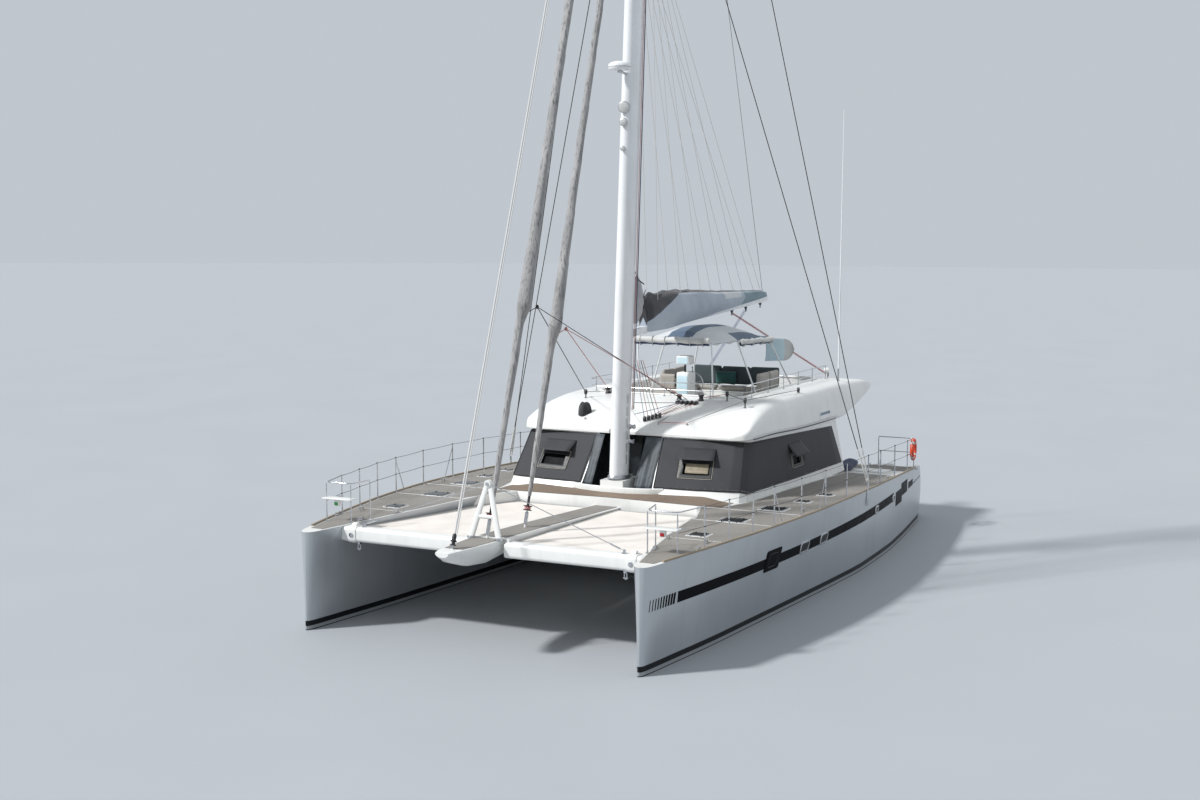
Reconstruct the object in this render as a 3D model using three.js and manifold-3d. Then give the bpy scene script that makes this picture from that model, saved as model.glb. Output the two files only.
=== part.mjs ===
// Sailing catamaran of about 22 m with a hardtop flybridge, afloat.
// Millimetres. +Z is up from the waterline, the bows point to -Y and port is +X.
// The origin is on the centreline at the waterline, about amidships.

import * as THREE from 'three';
import { mergeVertices } from 'three/addons/utils/BufferGeometryUtils.js';
import Module from 'manifold-3d';

const wasm = await Module();
wasm.setup();

// Driving dimensions

const GAP = 0.3;
// Far outside the boat, for cutting blocks
const FAR = 13000;
const ABOVE_DECK = 3000;

const HULL_X = 4300;
const BOW_Y = -11000;
const STERN_ROUND_Y = 9000;
const STERN_ROUNDING = 420;
const SHEER = { bow: 2340, rise: 200, fall: 240, pitch: 10000 };

// y, half breadth at the deck, half breadth at the waterline, depth of the canoe body
const HULL_STATIONS = [
  [-11000, 25, 15, 250], [-10960, 110, 50, 420], [-10850, 180, 80, 560],
  [-10600, 255, 120, 700], [-10300, 315, 160, 800], [-9600, 465, 245, 930],
  [-8900, 610, 335, 1020], [-7800, 810, 460, 1080], [-6800, 985, 550, 1120],
  [-5700, 1125, 650, 1150], [-4150, 1270, 790, 1180], [-2500, 1350, 935, 1200],
  [-800, 1365, 1080, 1200], [1200, 1325, 1195, 1180], [3600, 1210, 1165, 1110],
  [5500, 1060, 1045, 1000], [7000, 930, 905, 880], [8000, 830, 800, 740],
  [9000, 700, 690, 560], [9700, 600, 560, 400], [10100, 500, 430, 250],
  [10300, 380, 300, 120],
];
// Heights of a section's points: above water as a part of the freeboard, below as a part of the depth
const TOPSIDE_LEVELS = [1, 0.66, 0.33, 0];
const BOTTOM_LEVELS = [0.3, 0.6, 0.85, 0.97, 1];

// y where each stern step starts, height of its tread
const STERN_STEPS = [[8550, 1400], [8950, 1070], [9300, 740], [9650, 410]];
const STERN_STEP_HALF = 400;
// Boss under the hull that holds the rudder's stock
const RUDDER_BOSS = { radius: 90, top: -200, cover: 40 };

const ENGINE_ROOM = { half: 520, y0: 5620, y1: 6880, floor: -450, deck: 260 };
const ENGINE_HATCH = { half: 380, y0: 5750, y1: 6650, thickness: 40, overlap: 45 };
const ENGINE = { width: 620, length: 1100, height: 780 };

// x, y, width, length of a deck hatch on the port hull, bow first
const DECK_HATCHES = [
  [4160, -7420, 460, 430], [4210, -5390, 640, 600], [4520, -3380, 650, 600],
  [4780, -1890, 390, 350], [4920, -440, 390, 350],
];
const DECK_HATCH_THICKNESS = 28;

// y and depth of the keel's root and tip chords
const KEEL = {
  rootFront: -1900, rootBack: 1700, rootZ: -700, rootHalf: 190, tipFront: -1300, tipBack: 1350, bottom: -1750,
  tipHalf: 130,
};
const RUDDER = {
  y: 8150, top: -790, bottom: -1640, front: 190, back: 560, half: 42, tipFront: 130, tipBack: 470,
  tipHalf: 30, stock: 45,
};
const DRIVE = {
  y: 6250, front: 170, back: 210, top: -600, hubZ: -1180, half: 70, bulbRadius: 95, bulbLength: 620,
};
const PROPELLER = { hubRadius: 62, hubLength: 190, blades: 3, bladeHalf: 9, twist: 50 };
// distance from the hub's axis, width of a blade
const BLADE_STATIONS = [[40, 72], [150, 120], [270, 54]];

const DECK_FRONT = { middle: -3750, side: -3900, gussetX: 2620, gussetY: -5400, hullX: 3250 };
const WELL = { half: 2700, y0: -2150, y1: 8050, sole: 1500 };
const PLATFORM_BACK = 8400;
const UNDERSIDE = 980;
// y, z along the bridgedeck's underside, stern first
const BRIDGEDECK_BELLY = [
  [8150, 1150], [7200, UNDERSIDE], [-1900, UNDERSIDE], [-3300, 1500], [-3950, 2020], [-5600, 2060],
];
const BRIDGEDECK_HALF = 3600;
const MAST_STEP = { half: 330, front: -3480, back: -2480, low: 2300, top: 2770 };

const BEAM = { y: -9850, halfDepth: 175, top: 2340, bottom: 1985, half: 4200, radius: 90 };
// y, half width, height of the top face, height of the keel line of the longeron
const LONGERON_STATIONS = [
  [-11840, 170, 2400, 2300], [-11600, 250, 2410, 2150], [-11000, 330, 2400, 1960],
  [-10300, 410, 2390, 1900], [-9400, 430, 2370, 1980], [-7500, 420, 2300, 2000],
  [-5500, 410, 2210, 1980], [-3700, 400, 2130, 1960],
];
// part of the half width, part of the way down from the top face
const LONGERON_SECTION = [[0.96, 0], [1, 0.07], [0.9, 0.55], [0.45, 0.97]];
const TACK = { length: 60, sunk: 150, radius: 26 };
// The saddle ties the crossbeam's halves over the longeron
const SADDLE = { halfX: 505, halfY: 60, low: 2394, high: 2404, legIn: 495, legOut: 560, legLow: 2200 };
const BEAM_NOTCH_HALF = 500;
const STRIKER = {
  y: -9830, footY: -10020, top: 3630, footX: 360, footZ: 2400, tube: 55, rungZ: 2880, rung: 30, stay: 9,
  stayX: 3420, shoe: 85, crown: 75,
};
const TRAMPOLINE = { y0: -9765, y1: -3700, front: 2250, back: 2085, thickness: 16, x0: 380 };

const CABIN_LOW = 2400;
const CABIN_HIGH = 3900;
const CABIN_WALL = 70;
// The walls are made from CABIN_BOTTOM to CABIN_TOP and cut to the deck and the roof
const CABIN_BOTTOM = 2100;
const CABIN_TOP = 4400;
// Glass in a rabbet on the walls' inner face, from z0 to z1 and as far aft as back
const GLAZING = { rabbet: 6, proud: 12, z0: 2560, z1: 3760, back: 4950 };
const DOOR_RAIL = { inset: 100, sunk: 20, proud: 60, z0: 20, z1: 70 };
const SILL = 60;
// x, y at CABIN_LOW, then x, y at CABIN_HIGH: the port half of the cabin's outline
const CABIN_OUTLINE = [
  [1000, -2100, 900, -1600], [1050, -3300, 930, -2260], [2300, -3180, 2150, -2180],
  [3150, -3010, 2950, -2060], [3380, -2900, 3160, -1960], [3470, -2600, 3220, -1700],
  [3580, 1200, 3310, 1200], [3620, 5200, 3320, 5200],
];
const BULKHEAD = { y0: 5110, y1: 5190, half: 2690, doorHalf: 1900, doorTop: 3420 };
const SIDE_WINDOWS = [[-2250, -400], [-250, 1600], [1750, 4500]];
const SIDE_WINDOW_REACH = { x0: 3050, x1: 3900, z0: 2620, z1: 3380 };
const FRONT_WINDOW = { x0: 1300, x1: 3050, z0: 2720, z1: 3700 };
const RECESS_WINDOW = { x0: 90, x1: 850, z0: 2720, z1: 3700 };
const FRONT_WINDOW_REACH = { y0: -3600, y1: -1300 };
const COVER = { thickness: 12, x0: 1080, x1: 4200 };
// y, z of the corners of a window cover, seen from the side
const COVER_SIDE_VIEW = [
  [-4000, 2600], [-2900, 2590], [5070, 2360], [4700, 3500], [1500, 3640], [-1900, 3800], [-4000, 3900],
];
// box of each vent opening through the port cover: x, y and z from, x, y and z to
const COVER_VENTS = [[1850, -3300, 2950, 2390, -2100, 3210], [2850, 1320, 2770, 4050, 1780, 3150]];

// y, half width, height of the lower edge, height of the top
const HARDTOP_STATIONS = [
  [-2330, 2900, 3870, 3930], [-2200, 3250, 3865, 4040], [-1950, 3380, 3880, 4180],
  [-1400, 3400, 3860, 4390], [-700, 3400, 3830, 4570], [200, 3400, 3780, 4680],
  [1700, 3400, 3700, 4720], [3700, 3400, 3650, 4720], [5600, 3400, 3630, 4710],
  [7000, 3400, 3840, 4680], [8300, 3400, 4150, 4600], [9050, 3330, 4330, 4450],
];
// inset of a section point from the full half width on a deep section, part of the height
const HARDTOP_SECTION = [[120, 0], [0, 0.06], [10, 0.3], [55, 0.6], [150, 0.84], [330, 0.96], [760, 1]];
const HARDTOP_DEEP = 900;
const HARDTOP_CROWN = 40;
const FLY_WELL = { half: 2250, y0: 150, y1: 6900, sole: 4120, corner: 500 };

const CONSOLE = {
  x: 330, y0: 450, y1: 1000, half: 300, top: 5250, slope: 160, dash: 300, screen: 5800, screenHalf: 170,
  screenFront: 20, screenBack: 150, hubRadius: 45, hubReach: 100,
};
const WHEEL = {
  x: 330, y: 1190, z: 4960, radius: 330, rim: 16, spokes: 5, spoke: 9, hubRadius: 48, hubBack: 45,
};
const HELM_SEAT = { x: -900, y: 2050, width: 620, depth: 520, seat: 4620, back: 5150, rest: 140 };
const SOFA = { x0: -1500, x1: 1750, y0: 3000, y1: 5300, depth: 620, seat: 4560, back: 5180, rest: 170 };
const BIMINI = { half: 1150, y0: 520, y1: 5400, z0: 6200, z1: 6080, crown: 420, tube: 22, edge: 30 };
const BIMINI_CLOTH = 14;
// y of the foot, y of the top, x of the foot of each pair of bimini posts
const BIMINI_POSTS = [[800, 620, 1150], [2850, 2600, 1850], [6100, 5250, 1850]];

const MAST = { baseY: -3020, rake: 0.0714, top: 30500, halfX: 225, halfY: 375, sunk: 300 };
// Lengths of the mast's fittings along the stays that they hold
const STAY_TANG = 1750;
const SHROUD_TANG = 1300;
const TANG_RADIUS = 30;
const RADAR = { z: 13480, radius: 300, standOff: 90, bracketHalf: 60, bracketDepth: 70, sunk: 250 };
// radius and height above its base of the radar dome's outline
const DOME = [[0, 0], [240, 0], [300, 70], [285, 150], [180, 230], [0, 230]];
const BOOM = { frontZ: 6520, endZ: 7070, hingeY: -2240, front: -2180, end: 8000, halfX: 120, depth: 200 };
const GOOSENECK = { barrel: 42, neckHalf: 35, neckIn: 20, reach: 60, lug: 40, lugHalf: 45, lugLength: 350 };
// y, half width, height above the boom's top face of the stowed sail's bag
const BAG_STATIONS = [
  [-1500, 130, 560], [-1200, 230, 700], [0, 290, 800], [1200, 300, 740],
  [3600, 270, 520], [6000, 220, 320], [7500, 170, 190], [7900, 110, 120],
];
// part of the half width, part of the height
const BAG_SECTION = [[0.45, 0], [0.95, 0.3], [1, 0.5], [0.75, 0.75], [0.15, 1]];
// The strap on the hull's side and the tang above it that the shrouds are pinned to
const CHAINPLATE = {
  x: 5650, y: 1040, z: 2330, inner: -22, strapOuter: -4, strapHalf: 45, strapLow: -500, strapHigh: 20,
  tangOuter: 18, tangHalf: 40, tangHigh: 150,
};
const SHROUD_TOPS = [22000, 29500];
const STAY_RADIUS = 14;
const SHROUD_RADIUS = 11;
const TURNBUCKLE = { radius: 17, from: 60, to: 640 };

// A furling drum's ends, measured from drumHeight along the stay
const DRUM = { low: -170, high: -60 };
// tack of each stay, height at which its line meets the mast, furling drum
const FORESTAYS = [
  { name: 'genoa_furled', tackY: -9920, tackZ: 2400, mastZ: 27600, drumRadius: 120, drumHeight: 620 },
  { name: 'staysail_furled', tackY: -8160, tackZ: 2350, mastZ: 21600, drumRadius: 105, drumHeight: 560 },
  { name: 'bowsprit_furler', tackY: -11400, tackZ: 2430, mastZ: 30100, drumRadius: 70, drumHeight: 230 },
];
// part of the length, radius of the rolled sail on it
const ROLLED_SAIL = {
  genoa_furled: [
    [0.035, 60], [0.06, 100], [0.15, 130], [0.23, 240], [0.30, 205], [0.6, 150], [0.94, 90], [0.97, 40],
  ],
  staysail_furled: [
    [0.04, 60], [0.07, 95], [0.15, 120], [0.22, 215], [0.3, 180], [0.6, 130], [0.93, 80], [0.96, 40],
  ],
  bowsprit_furler: [[0.02, 24], [0.985, 24]],
};

const STANCHION_Y = [-8750, -7750, -6700, -5650, -4100, -2450, -700, 1450, 2900, 4900, 7000];
const RAIL = { height: 950, middle: 500, inset: 90, post: 14, wire: 5, base: 38, baseHeight: 22 };
// x is measured from the hull's middle; the seat board is seatZ above the deck
const PULPIT = {
  y: -9700, outer: 310, inner: -400, backY: -9050, backInner: -500, seatZ: 560, seatIn: -460, seatOut: 350,
  seatHalf: 150, seatThickness: 30,
};
const PUSHPIT = { y: 8300, inner: -450 };
const LIFE_RING = { y: 7680, radius: 290, tube: 62, z: 640 };

const COCKPIT_SOFA = { half: 1900, y0: 7150, y1: 7950, seat: 1960, back: 2330, rest: 180 };
const COCKPIT_TABLE = {
  half: 900, y0: 5950, y1: 6750, top: 2230, thickness: 40, legX: 500, leg: 45, foot: 160, footHeight: 30,
};
// How far one solid is sunk into the one it is joined to
const LAP = 50;

const WHITE = { color: 0xf1f1ee, roughness: 0.35, metalness: 0 };
const HULL_GREY = { color: 0xa9adb2, roughness: 0.3, metalness: 0.4 };
const STEEL = { color: 0xc9ccd0, roughness: 0.25, metalness: 0.9 };
const DARK_GLASS = { color: 0x1b2024, roughness: 0.1, metalness: 0 };
const CHARCOAL_CLOTH = { color: 0x3a3b3e, roughness: 0.9, metalness: 0 };
const CANVAS = { color: 0xb9c2cc, roughness: 0.85, metalness: 0 };
const SAIL_GREY = { color: 0x8d9096, roughness: 0.9, metalness: 0 };
const NET = { color: 0xe8e4d8, roughness: 0.9, metalness: 0 };
const CUSHION = { color: 0xcfc9bd, roughness: 0.9, metalness: 0 };
const ORANGE = { color: 0xe23b1d, roughness: 0.6, metalness: 0 };
const ANTIFOUL = { color: 0x1c1e22, roughness: 0.7, metalness: 0 };
const BRONZE = { color: 0xb08d57, roughness: 0.35, metalness: 0.9 };
const ENGINE_GREY = { color: 0x77807f, roughness: 0.5, metalness: 0.5 };
const TEAK = { color: 0x8f8478, roughness: 0.8, metalness: 0 };

// Solids and meshes

const boat = new THREE.Group();

const vec = (x, y, z) => new THREE.Vector3(x, y, z);
const lerp = THREE.MathUtils.lerp;

// A closed geometry as a solid that can be joined and cut
function solid(geometry) {
  const bare = geometry.clone();
  for (const name of Object.keys(bare.attributes)) {
    if (name !== 'position') bare.deleteAttribute(name);
  }
  const merged = mergeVertices(bare, 1e-3);
  const triVerts = Uint32Array.from(merged.index.array);
  const vertProperties = Float32Array.from(merged.attributes.position.array);
  return new wasm.Manifold(new wasm.Mesh({ numProp: 3, vertProperties, triVerts }));
}

function geometryOf(body) {
  const mesh = body.getMesh();
  const geometry = new THREE.BufferGeometry();
  geometry.setAttribute('position', new THREE.BufferAttribute(mesh.vertProperties, 3));
  geometry.setIndex(new THREE.BufferAttribute(mesh.triVerts, 1));
  geometry.computeVertexNormals();
  return geometry;
}

// Turns every face of an indexed geometry over
function flipped(geometry) {
  const index = Array.from(geometry.index.array);
  for (let i = 0; i < index.length; i += 3) {
    [index[i + 1], index[i + 2]] = [index[i + 2], index[i + 1]];
  }
  geometry.setIndex(index);
  return geometry;
}

// The image of an indexed geometry on the other side of the centreline
const mirrored = (geometry) => flipped(geometry.clone().scale(-1, 1, 1));

// Several solids as one; a solid's largest separate part; a solid with cutters taken away
const joined = (parts) => parts.slice(1).reduce((all, part) => all.add(part), parts[0]);
const biggest = (body) => body.decompose().reduce((best, p) => (p.volume() > best.volume() ? p : best));
const without = (body, cutters) => cutters.reduce((rest, cutter) => rest.subtract(cutter), body);

function add(name, geometry, look) {
  const mesh = new THREE.Mesh(geometry, new THREE.MeshStandardMaterial(look));
  mesh.name = name;
  boat.add(mesh);
  return mesh;
}

// A box from its low corner to its high corner
function block(x0, y0, z0, x1, y1, z1) {
  const box = new THREE.BoxGeometry(x1 - x0, y1 - y0, z1 - z0);
  return box.translate((x0 + x1) / 2, (y0 + y1) / 2, (z0 + z1) / 2);
}

// A round bar between two points
function bar(from, to, radius, sides = 8, endRadius = radius) {
  const axis = to.clone().sub(from);
  const rod = new THREE.CylinderGeometry(endRadius, radius, axis.length(), sides);
  rod.applyQuaternion(new THREE.Quaternion().setFromUnitVectors(vec(0, 1, 0), axis.clone().normalize()));
  const middle = from.clone().add(to).multiplyScalar(0.5);
  return rod.translate(middle.x, middle.y, middle.z);
}

// A closed skin over rings that have the same number of points, with flat ends
function loft(rings) {
  const count = rings[0].length;
  const points = rings.flat();
  const centre = (ring) => ring.reduce((sum, p) => sum.add(p), vec(0, 0, 0)).multiplyScalar(1 / count);
  const first = points.push(centre(rings[0])) - 1;
  const last = points.push(centre(rings[rings.length - 1])) - 1;
  const index = [];
  for (let r = 0; r + 1 < rings.length; r += 1) {
    for (let i = 0; i < count; i += 1) {
      const a = r * count + i;
      const b = r * count + (i + 1) % count;
      index.push(a, b, b + count, a, b + count, a + count);
    }
  }
  const end = (rings.length - 1) * count;
  for (let i = 0; i < count; i += 1) {
    index.push(first, (i + 1) % count, i);
    index.push(last, end + i, end + (i + 1) % count);
  }
  const geometry = new THREE.BufferGeometry().setFromPoints(points);
  geometry.setIndex(index);
  return signedVolume(geometry) > 0 ? geometry : flipped(geometry);
}

function signedVolume(geometry) {
  const at = geometry.attributes.position;
  const index = geometry.index.array;
  const corner = (i) => new THREE.Vector3().fromBufferAttribute(at, index[i]);
  let sum = 0;
  for (let i = 0; i < index.length; i += 3) {
    sum += corner(i).dot(corner(i + 1).cross(corner(i + 2))) / 6;
  }
  return sum;
}

// An outline of [a, b] pairs as a shape
const outlineShape = (pairs) => new THREE.Shape(pairs.map(([a, b]) => new THREE.Vector2(a, b)));

// A plan outline raised from z0 to z1
function raised(pairs, z0, z1) {
  const plate = new THREE.ExtrudeGeometry(outlineShape(pairs), { depth: z1 - z0, bevelEnabled: false });
  return plate.translate(0, 0, z0);
}

// A side view, drawn as [y, z], carried across from x0 to x1
function carriedAcross(shape, x0, x1) {
  const plate = new THREE.ExtrudeGeometry(shape, { depth: x1 - x0, curveSegments: 4, bevelEnabled: false });
  const turn = new THREE.Matrix4().makeBasis(vec(0, 1, 0), vec(0, 0, 1), vec(1, 0, 0));
  return plate.applyMatrix4(turn).translate(x0, 0, 0);
}
const across = (pairs, x0, x1) => carriedAcross(outlineShape(pairs), x0, x1);

// A rectangle with round corners
function roundedShape(a0, b0, a1, b1, radius) {
  const shape = new THREE.Shape();
  const quarter = Math.PI / 2;
  shape.absarc(a1 - radius, b0 + radius, radius, -quarter, 0);
  shape.absarc(a1 - radius, b1 - radius, radius, 0, quarter);
  shape.absarc(a0 + radius, b1 - radius, radius, quarter, 2 * quarter);
  shape.absarc(a0 + radius, b0 + radius, radius, 2 * quarter, 3 * quarter);
  return shape;
}

// Hulls

function sheer(y) {
  const t = (y - BOW_Y) / SHEER.pitch;
  return SHEER.bow + SHEER.rise * t - SHEER.fall * t * t;
}

function stationAt(y, column) {
  const next = Math.max(1, HULL_STATIONS.findIndex((row) => row[0] >= y));
  const [a, b] = [HULL_STATIONS[next - 1], HULL_STATIONS[next]];
  return lerp(a[column], b[column], (y - a[0]) / (b[0] - a[0]));
}

const deckHalf = (y) => stationAt(y, 1);

// Height of the deck, which is flat from one station to the next
function deckZ(y) {
  const next = Math.max(1, HULL_STATIONS.findIndex((row) => row[0] >= y));
  const [a, b] = [HULL_STATIONS[next - 1][0], HULL_STATIONS[next][0]];
  return lerp(sheer(a), sheer(b), (y - a) / (b - a));
}

function hullRing([y, deck, water, depth]) {
  const side = TOPSIDE_LEVELS.map((part) => [water + (deck - water) * part ** 1.25, part * sheer(y)]);
  side.push(...BOTTOM_LEVELS.map((part) => [water * Math.sqrt(1 - part ** 2.6), -part * depth]));
  const keelPoint = side.pop();
  const half = [...side, keelPoint, ...side.map(([x, z]) => [-x, z]).reverse()];
  const after = Math.max(0, (y - STERN_ROUND_Y) / (HULL_STATIONS.at(-1)[0] - STERN_ROUND_Y));
  return half.map(([x, z]) => {
    const level = (z - 850) / 900;
    return vec(HULL_X + x, y - after * STERN_ROUNDING * level * level, z);
  });
}

function hullSolid() {
  const body = solid(loft(HULL_STATIONS.map(hullRing)));
  const cuts = STERN_STEPS.map(([y, z]) => block(
    HULL_X - STERN_STEP_HALF, y, z, HULL_X + STERN_STEP_HALF, FAR, ABOVE_DECK,
  ));
  const room = ENGINE_ROOM;
  cuts.push(block(HULL_X - room.half, room.y0, room.floor, HULL_X + room.half, room.y1,
    sheer(room.y1) - room.deck));
  const hatch = ENGINE_HATCH;
  cuts.push(block(HULL_X - hatch.half, hatch.y0, 0, HULL_X + hatch.half, hatch.y1, ABOVE_DECK));
  const bossFoot = vec(HULL_X, RUDDER.y, RUDDER.top + RUDDER_BOSS.cover);
  const boss = bar(vec(HULL_X, RUDDER.y, RUDDER_BOSS.top), bossFoot, RUDDER_BOSS.radius, 16);
  return without(body, cuts.map(solid)).add(solid(boss));
}

const portHull = hullSolid();
const portHullGeometry = geometryOf(portHull);
const portSide = solid(block(0, -FAR, -FAR, FAR, FAR, 3 * FAR));

// The port half of a solid and its mirror image, as one
function symmetric(body) {
  const half = body.intersect(portSide);
  return half.add(half.mirror([1, 0, 0]));
}
const shifted = (body, x, y, z) => body.translate([x, y, z]);

// A solid together with copies of it that are shifted a hair, to cut what is seated on it
function hairWider(body, shifts) {
  return [body, ...shifts.map(([x, y, z]) => shifted(body, x * GAP, y * GAP, z * GAP))];
}

// What stands against both hulls is cut back from them, a hair clear, one half as the other's image
function clearOfHulls(body) {
  const half = without(body.intersect(portSide), hairWider(portHull, [[-1, 0, 0], [0, 0, 1]]));
  return half.add(half.mirror([1, 0, 0]));
}

// Adds the port geometry and its mirror image
function addPair(name, geometry, look) {
  add(`${name}_port`, geometry, look);
  add(`${name}_starboard`, mirrored(geometry), look);
}

addPair('hull', portHullGeometry, HULL_GREY);

// Appendages, engines and their hatches

// A streamlined outline with its nose forward, as [x, y] pairs
function foil(front, back, half) {
  const chord = back - front;
  const stops = [[0.04, 0.45], [0.15, 0.85], [0.35, 1], [0.7, 0.6], [1, 0.06]];
  const side = stops.map(([along, wide]) => [half * wide, front + chord * along]);
  return [[0, front], ...side, ...side.map(([x, y]) => [-x, y]).reverse()];
}

const foilRing = (pairs, x, z) => pairs.map(([px, py]) => vec(x + px, py, z));

const keelLoft = loft([
  foilRing(foil(KEEL.rootFront, KEEL.rootBack, KEEL.rootHalf), HULL_X, KEEL.rootZ),
  foilRing(foil(KEEL.tipFront, KEEL.tipBack, KEEL.tipHalf), HULL_X, KEEL.bottom),
]);
addPair('keel', geometryOf(solid(keelLoft).subtract(shifted(portHull, 0, 0, -GAP))), ANTIFOUL);

const bladeTop = RUDDER.top - 10;
const rudderFoil = (front, back, half) => foil(RUDDER.y - front, RUDDER.y + back, half);
const rudderBlade = loft([
  foilRing(rudderFoil(RUDDER.front, RUDDER.back, RUDDER.half), HULL_X, bladeTop),
  foilRing(rudderFoil(RUDDER.tipFront, RUDDER.tipBack, RUDDER.tipHalf), HULL_X, RUDDER.bottom),
]);
const stockTop = RUDDER.top + RUDDER_BOSS.cover - GAP;
const stockFoot = vec(HULL_X, RUDDER.y, bladeTop - 200);
const rudderStock = bar(stockFoot, stockFoot.clone().setZ(stockTop), RUDDER.stock, 16);
addPair('rudder', geometryOf(solid(rudderBlade).add(solid(rudderStock))), ANTIFOUL);

const driveFoil = (z) => foilRing(foil(DRIVE.y - DRIVE.front, DRIVE.y + DRIVE.back, DRIVE.half), HULL_X, z);
const driveBulb = bar(vec(HULL_X, DRIVE.y - DRIVE.bulbLength / 2, DRIVE.hubZ),
  vec(HULL_X, DRIVE.y + DRIVE.bulbLength / 2, DRIVE.hubZ), DRIVE.bulbRadius, 16, PROPELLER.hubRadius + 8);
const driveLeg = solid(loft([driveFoil(DRIVE.top), driveFoil(DRIVE.hubZ)])).add(solid(driveBulb));
addPair('drive_leg', geometryOf(driveLeg.subtract(shifted(portHull, 0, 0, -GAP))), ANTIFOUL);

function propeller() {
  const start = DRIVE.y + DRIVE.bulbLength / 2 + GAP;
  const hub = bar(vec(HULL_X, start, DRIVE.hubZ), vec(HULL_X, start + PROPELLER.hubLength, DRIVE.hubZ),
    PROPELLER.hubRadius, 16, PROPELLER.hubRadius * 0.5);
  const parts = [solid(hub)];
  for (let i = 0; i < PROPELLER.blades; i += 1) {
    const blade = loft(BLADE_STATIONS.map(([r, width]) => (
      foil(-width / 2, width / 2, PROPELLER.bladeHalf).map(([px, py]) => vec(px, py, r))
    )));
    blade.rotateZ(THREE.MathUtils.degToRad(PROPELLER.twist));
    blade.rotateY((i * 2 * Math.PI) / PROPELLER.blades);
    parts.push(solid(blade.translate(HULL_X, start + PROPELLER.hubLength / 2, DRIVE.hubZ)));
  }
  return geometryOf(joined(parts));
}
addPair('propeller', propeller(), BRONZE);

const engineMiddle = (ENGINE_ROOM.y0 + ENGINE_ROOM.y1) / 2;
const engineFloor = ENGINE_ROOM.floor + GAP;
addPair('engine', block(HULL_X - ENGINE.width / 2, engineMiddle - ENGINE.length / 2, engineFloor,
  HULL_X + ENGINE.width / 2, engineMiddle + ENGINE.length / 2, engineFloor + ENGINE.height), ENGINE_GREY);

// A flat lid on the deck, pitched as the deck is there, for both hulls
function deckLid(name, x, y, width, length, thickness, look) {
  const slope = (deckZ(y + length / 2) - deckZ(y - length / 2)) / length;
  for (const [side, s] of [['port', 1], ['starboard', -1]]) {
    const lid = new THREE.BoxGeometry(width, length, thickness);
    const mesh = add(name.replace('SIDE', side), lid, look);
    mesh.position.set(s * x, y, deckZ(y) + thickness / 2 + GAP);
    mesh.rotation.x = Math.atan(slope);
  }
}

DECK_HATCHES.forEach(([x, y, width, length], i) => {
  deckLid(`deck_hatch_SIDE_${i + 1}`, x, y, width, length, DECK_HATCH_THICKNESS, DARK_GLASS);
});
const lidY = (ENGINE_HATCH.y0 + ENGINE_HATCH.y1) / 2;
const lidWidth = 2 * (ENGINE_HATCH.half + ENGINE_HATCH.overlap);
const lidLength = ENGINE_HATCH.y1 - ENGINE_HATCH.y0 + 2 * ENGINE_HATCH.overlap;
deckLid('engine_hatch_SIDE', HULL_X, lidY, lidWidth, lidLength, ENGINE_HATCH.thickness, TEAK);

// Bridgedeck with the saloon and cockpit well

function bridgedeckSolid() {
  const frontY = BRIDGEDECK_BELLY.at(-1)[0];
  const stops = HULL_STATIONS.map((row) => row[0]).filter((y) => y > frontY && y < PLATFORM_BACK);
  const top = [frontY, ...stops, PLATFORM_BACK].map((y) => [y, deckZ(y)]);
  const side = solid(across([...top, ...BRIDGEDECK_BELLY], -BRIDGEDECK_HALF, BRIDGEDECK_HALF));
  const d = DECK_FRONT;
  const half = [[0, d.middle], [d.gussetX, d.side], [d.hullX, d.gussetY], [BRIDGEDECK_HALF, d.gussetY],
    [BRIDGEDECK_HALF, PLATFORM_BACK]];
  const plan = [...half, ...half.slice(1).map(([x, y]) => [-x, y]).reverse()];
  const body = side.intersect(solid(raised(plan, 0, ABOVE_DECK)));
  const well = block(-WELL.half, WELL.y0, WELL.sole, WELL.half, WELL.y1, ABOVE_DECK);
  const m = MAST_STEP;
  const step = block(-m.half, m.front, m.low, m.half, m.back, m.top);
  return biggest(clearOfHulls(body.subtract(solid(well)).add(solid(step))));
}
const bridgedeck = bridgedeckSolid();
add('bridgedeck', geometryOf(bridgedeck), WHITE);

// Longeron, crossbeam, striker and trampolines

function longeronRing([y, half, top, keel]) {
  const side = LONGERON_SECTION.map(([out, down]) => [half * out, lerp(top, keel, down)]);
  const port = side.map(([x, z]) => vec(x, y, z));
  const starboard = side.map(([x, z]) => vec(-x, y, z)).reverse();
  return [vec(0, y, top), ...port, vec(0, y, keel), ...starboard];
}
const longeronBody = symmetric(solid(loft(LONGERON_STATIONS.map(longeronRing))));
const longeron = without(longeronBody, hairWider(bridgedeck, [[0, -1, 0]]));

// A stay's straight line from its tack to the mast, as points at a distance along it
function mastAxisY(z) {
  return MAST.baseY + MAST.rake * (z - MAST_STEP.top);
}
function stayLine(from, to) {
  const along = to.clone().sub(from).normalize();
  return { length: from.distanceTo(to), at: (s) => from.clone().addScaledVector(along, s) };
}
for (const stay of FORESTAYS) {
  stay.line = stayLine(vec(0, stay.tackY, stay.tackZ), vec(0, mastAxisY(stay.mastZ), stay.mastZ));
}
const tackBosses = FORESTAYS.map(({ line }) => (
  solid(bar(line.at(-TACK.sunk), line.at(TACK.length), TACK.radius, 8))
));
const longeronWithTacks = joined([longeron, ...tackBosses]);
add('longeron', geometryOf(longeronWithTacks), WHITE);

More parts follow.
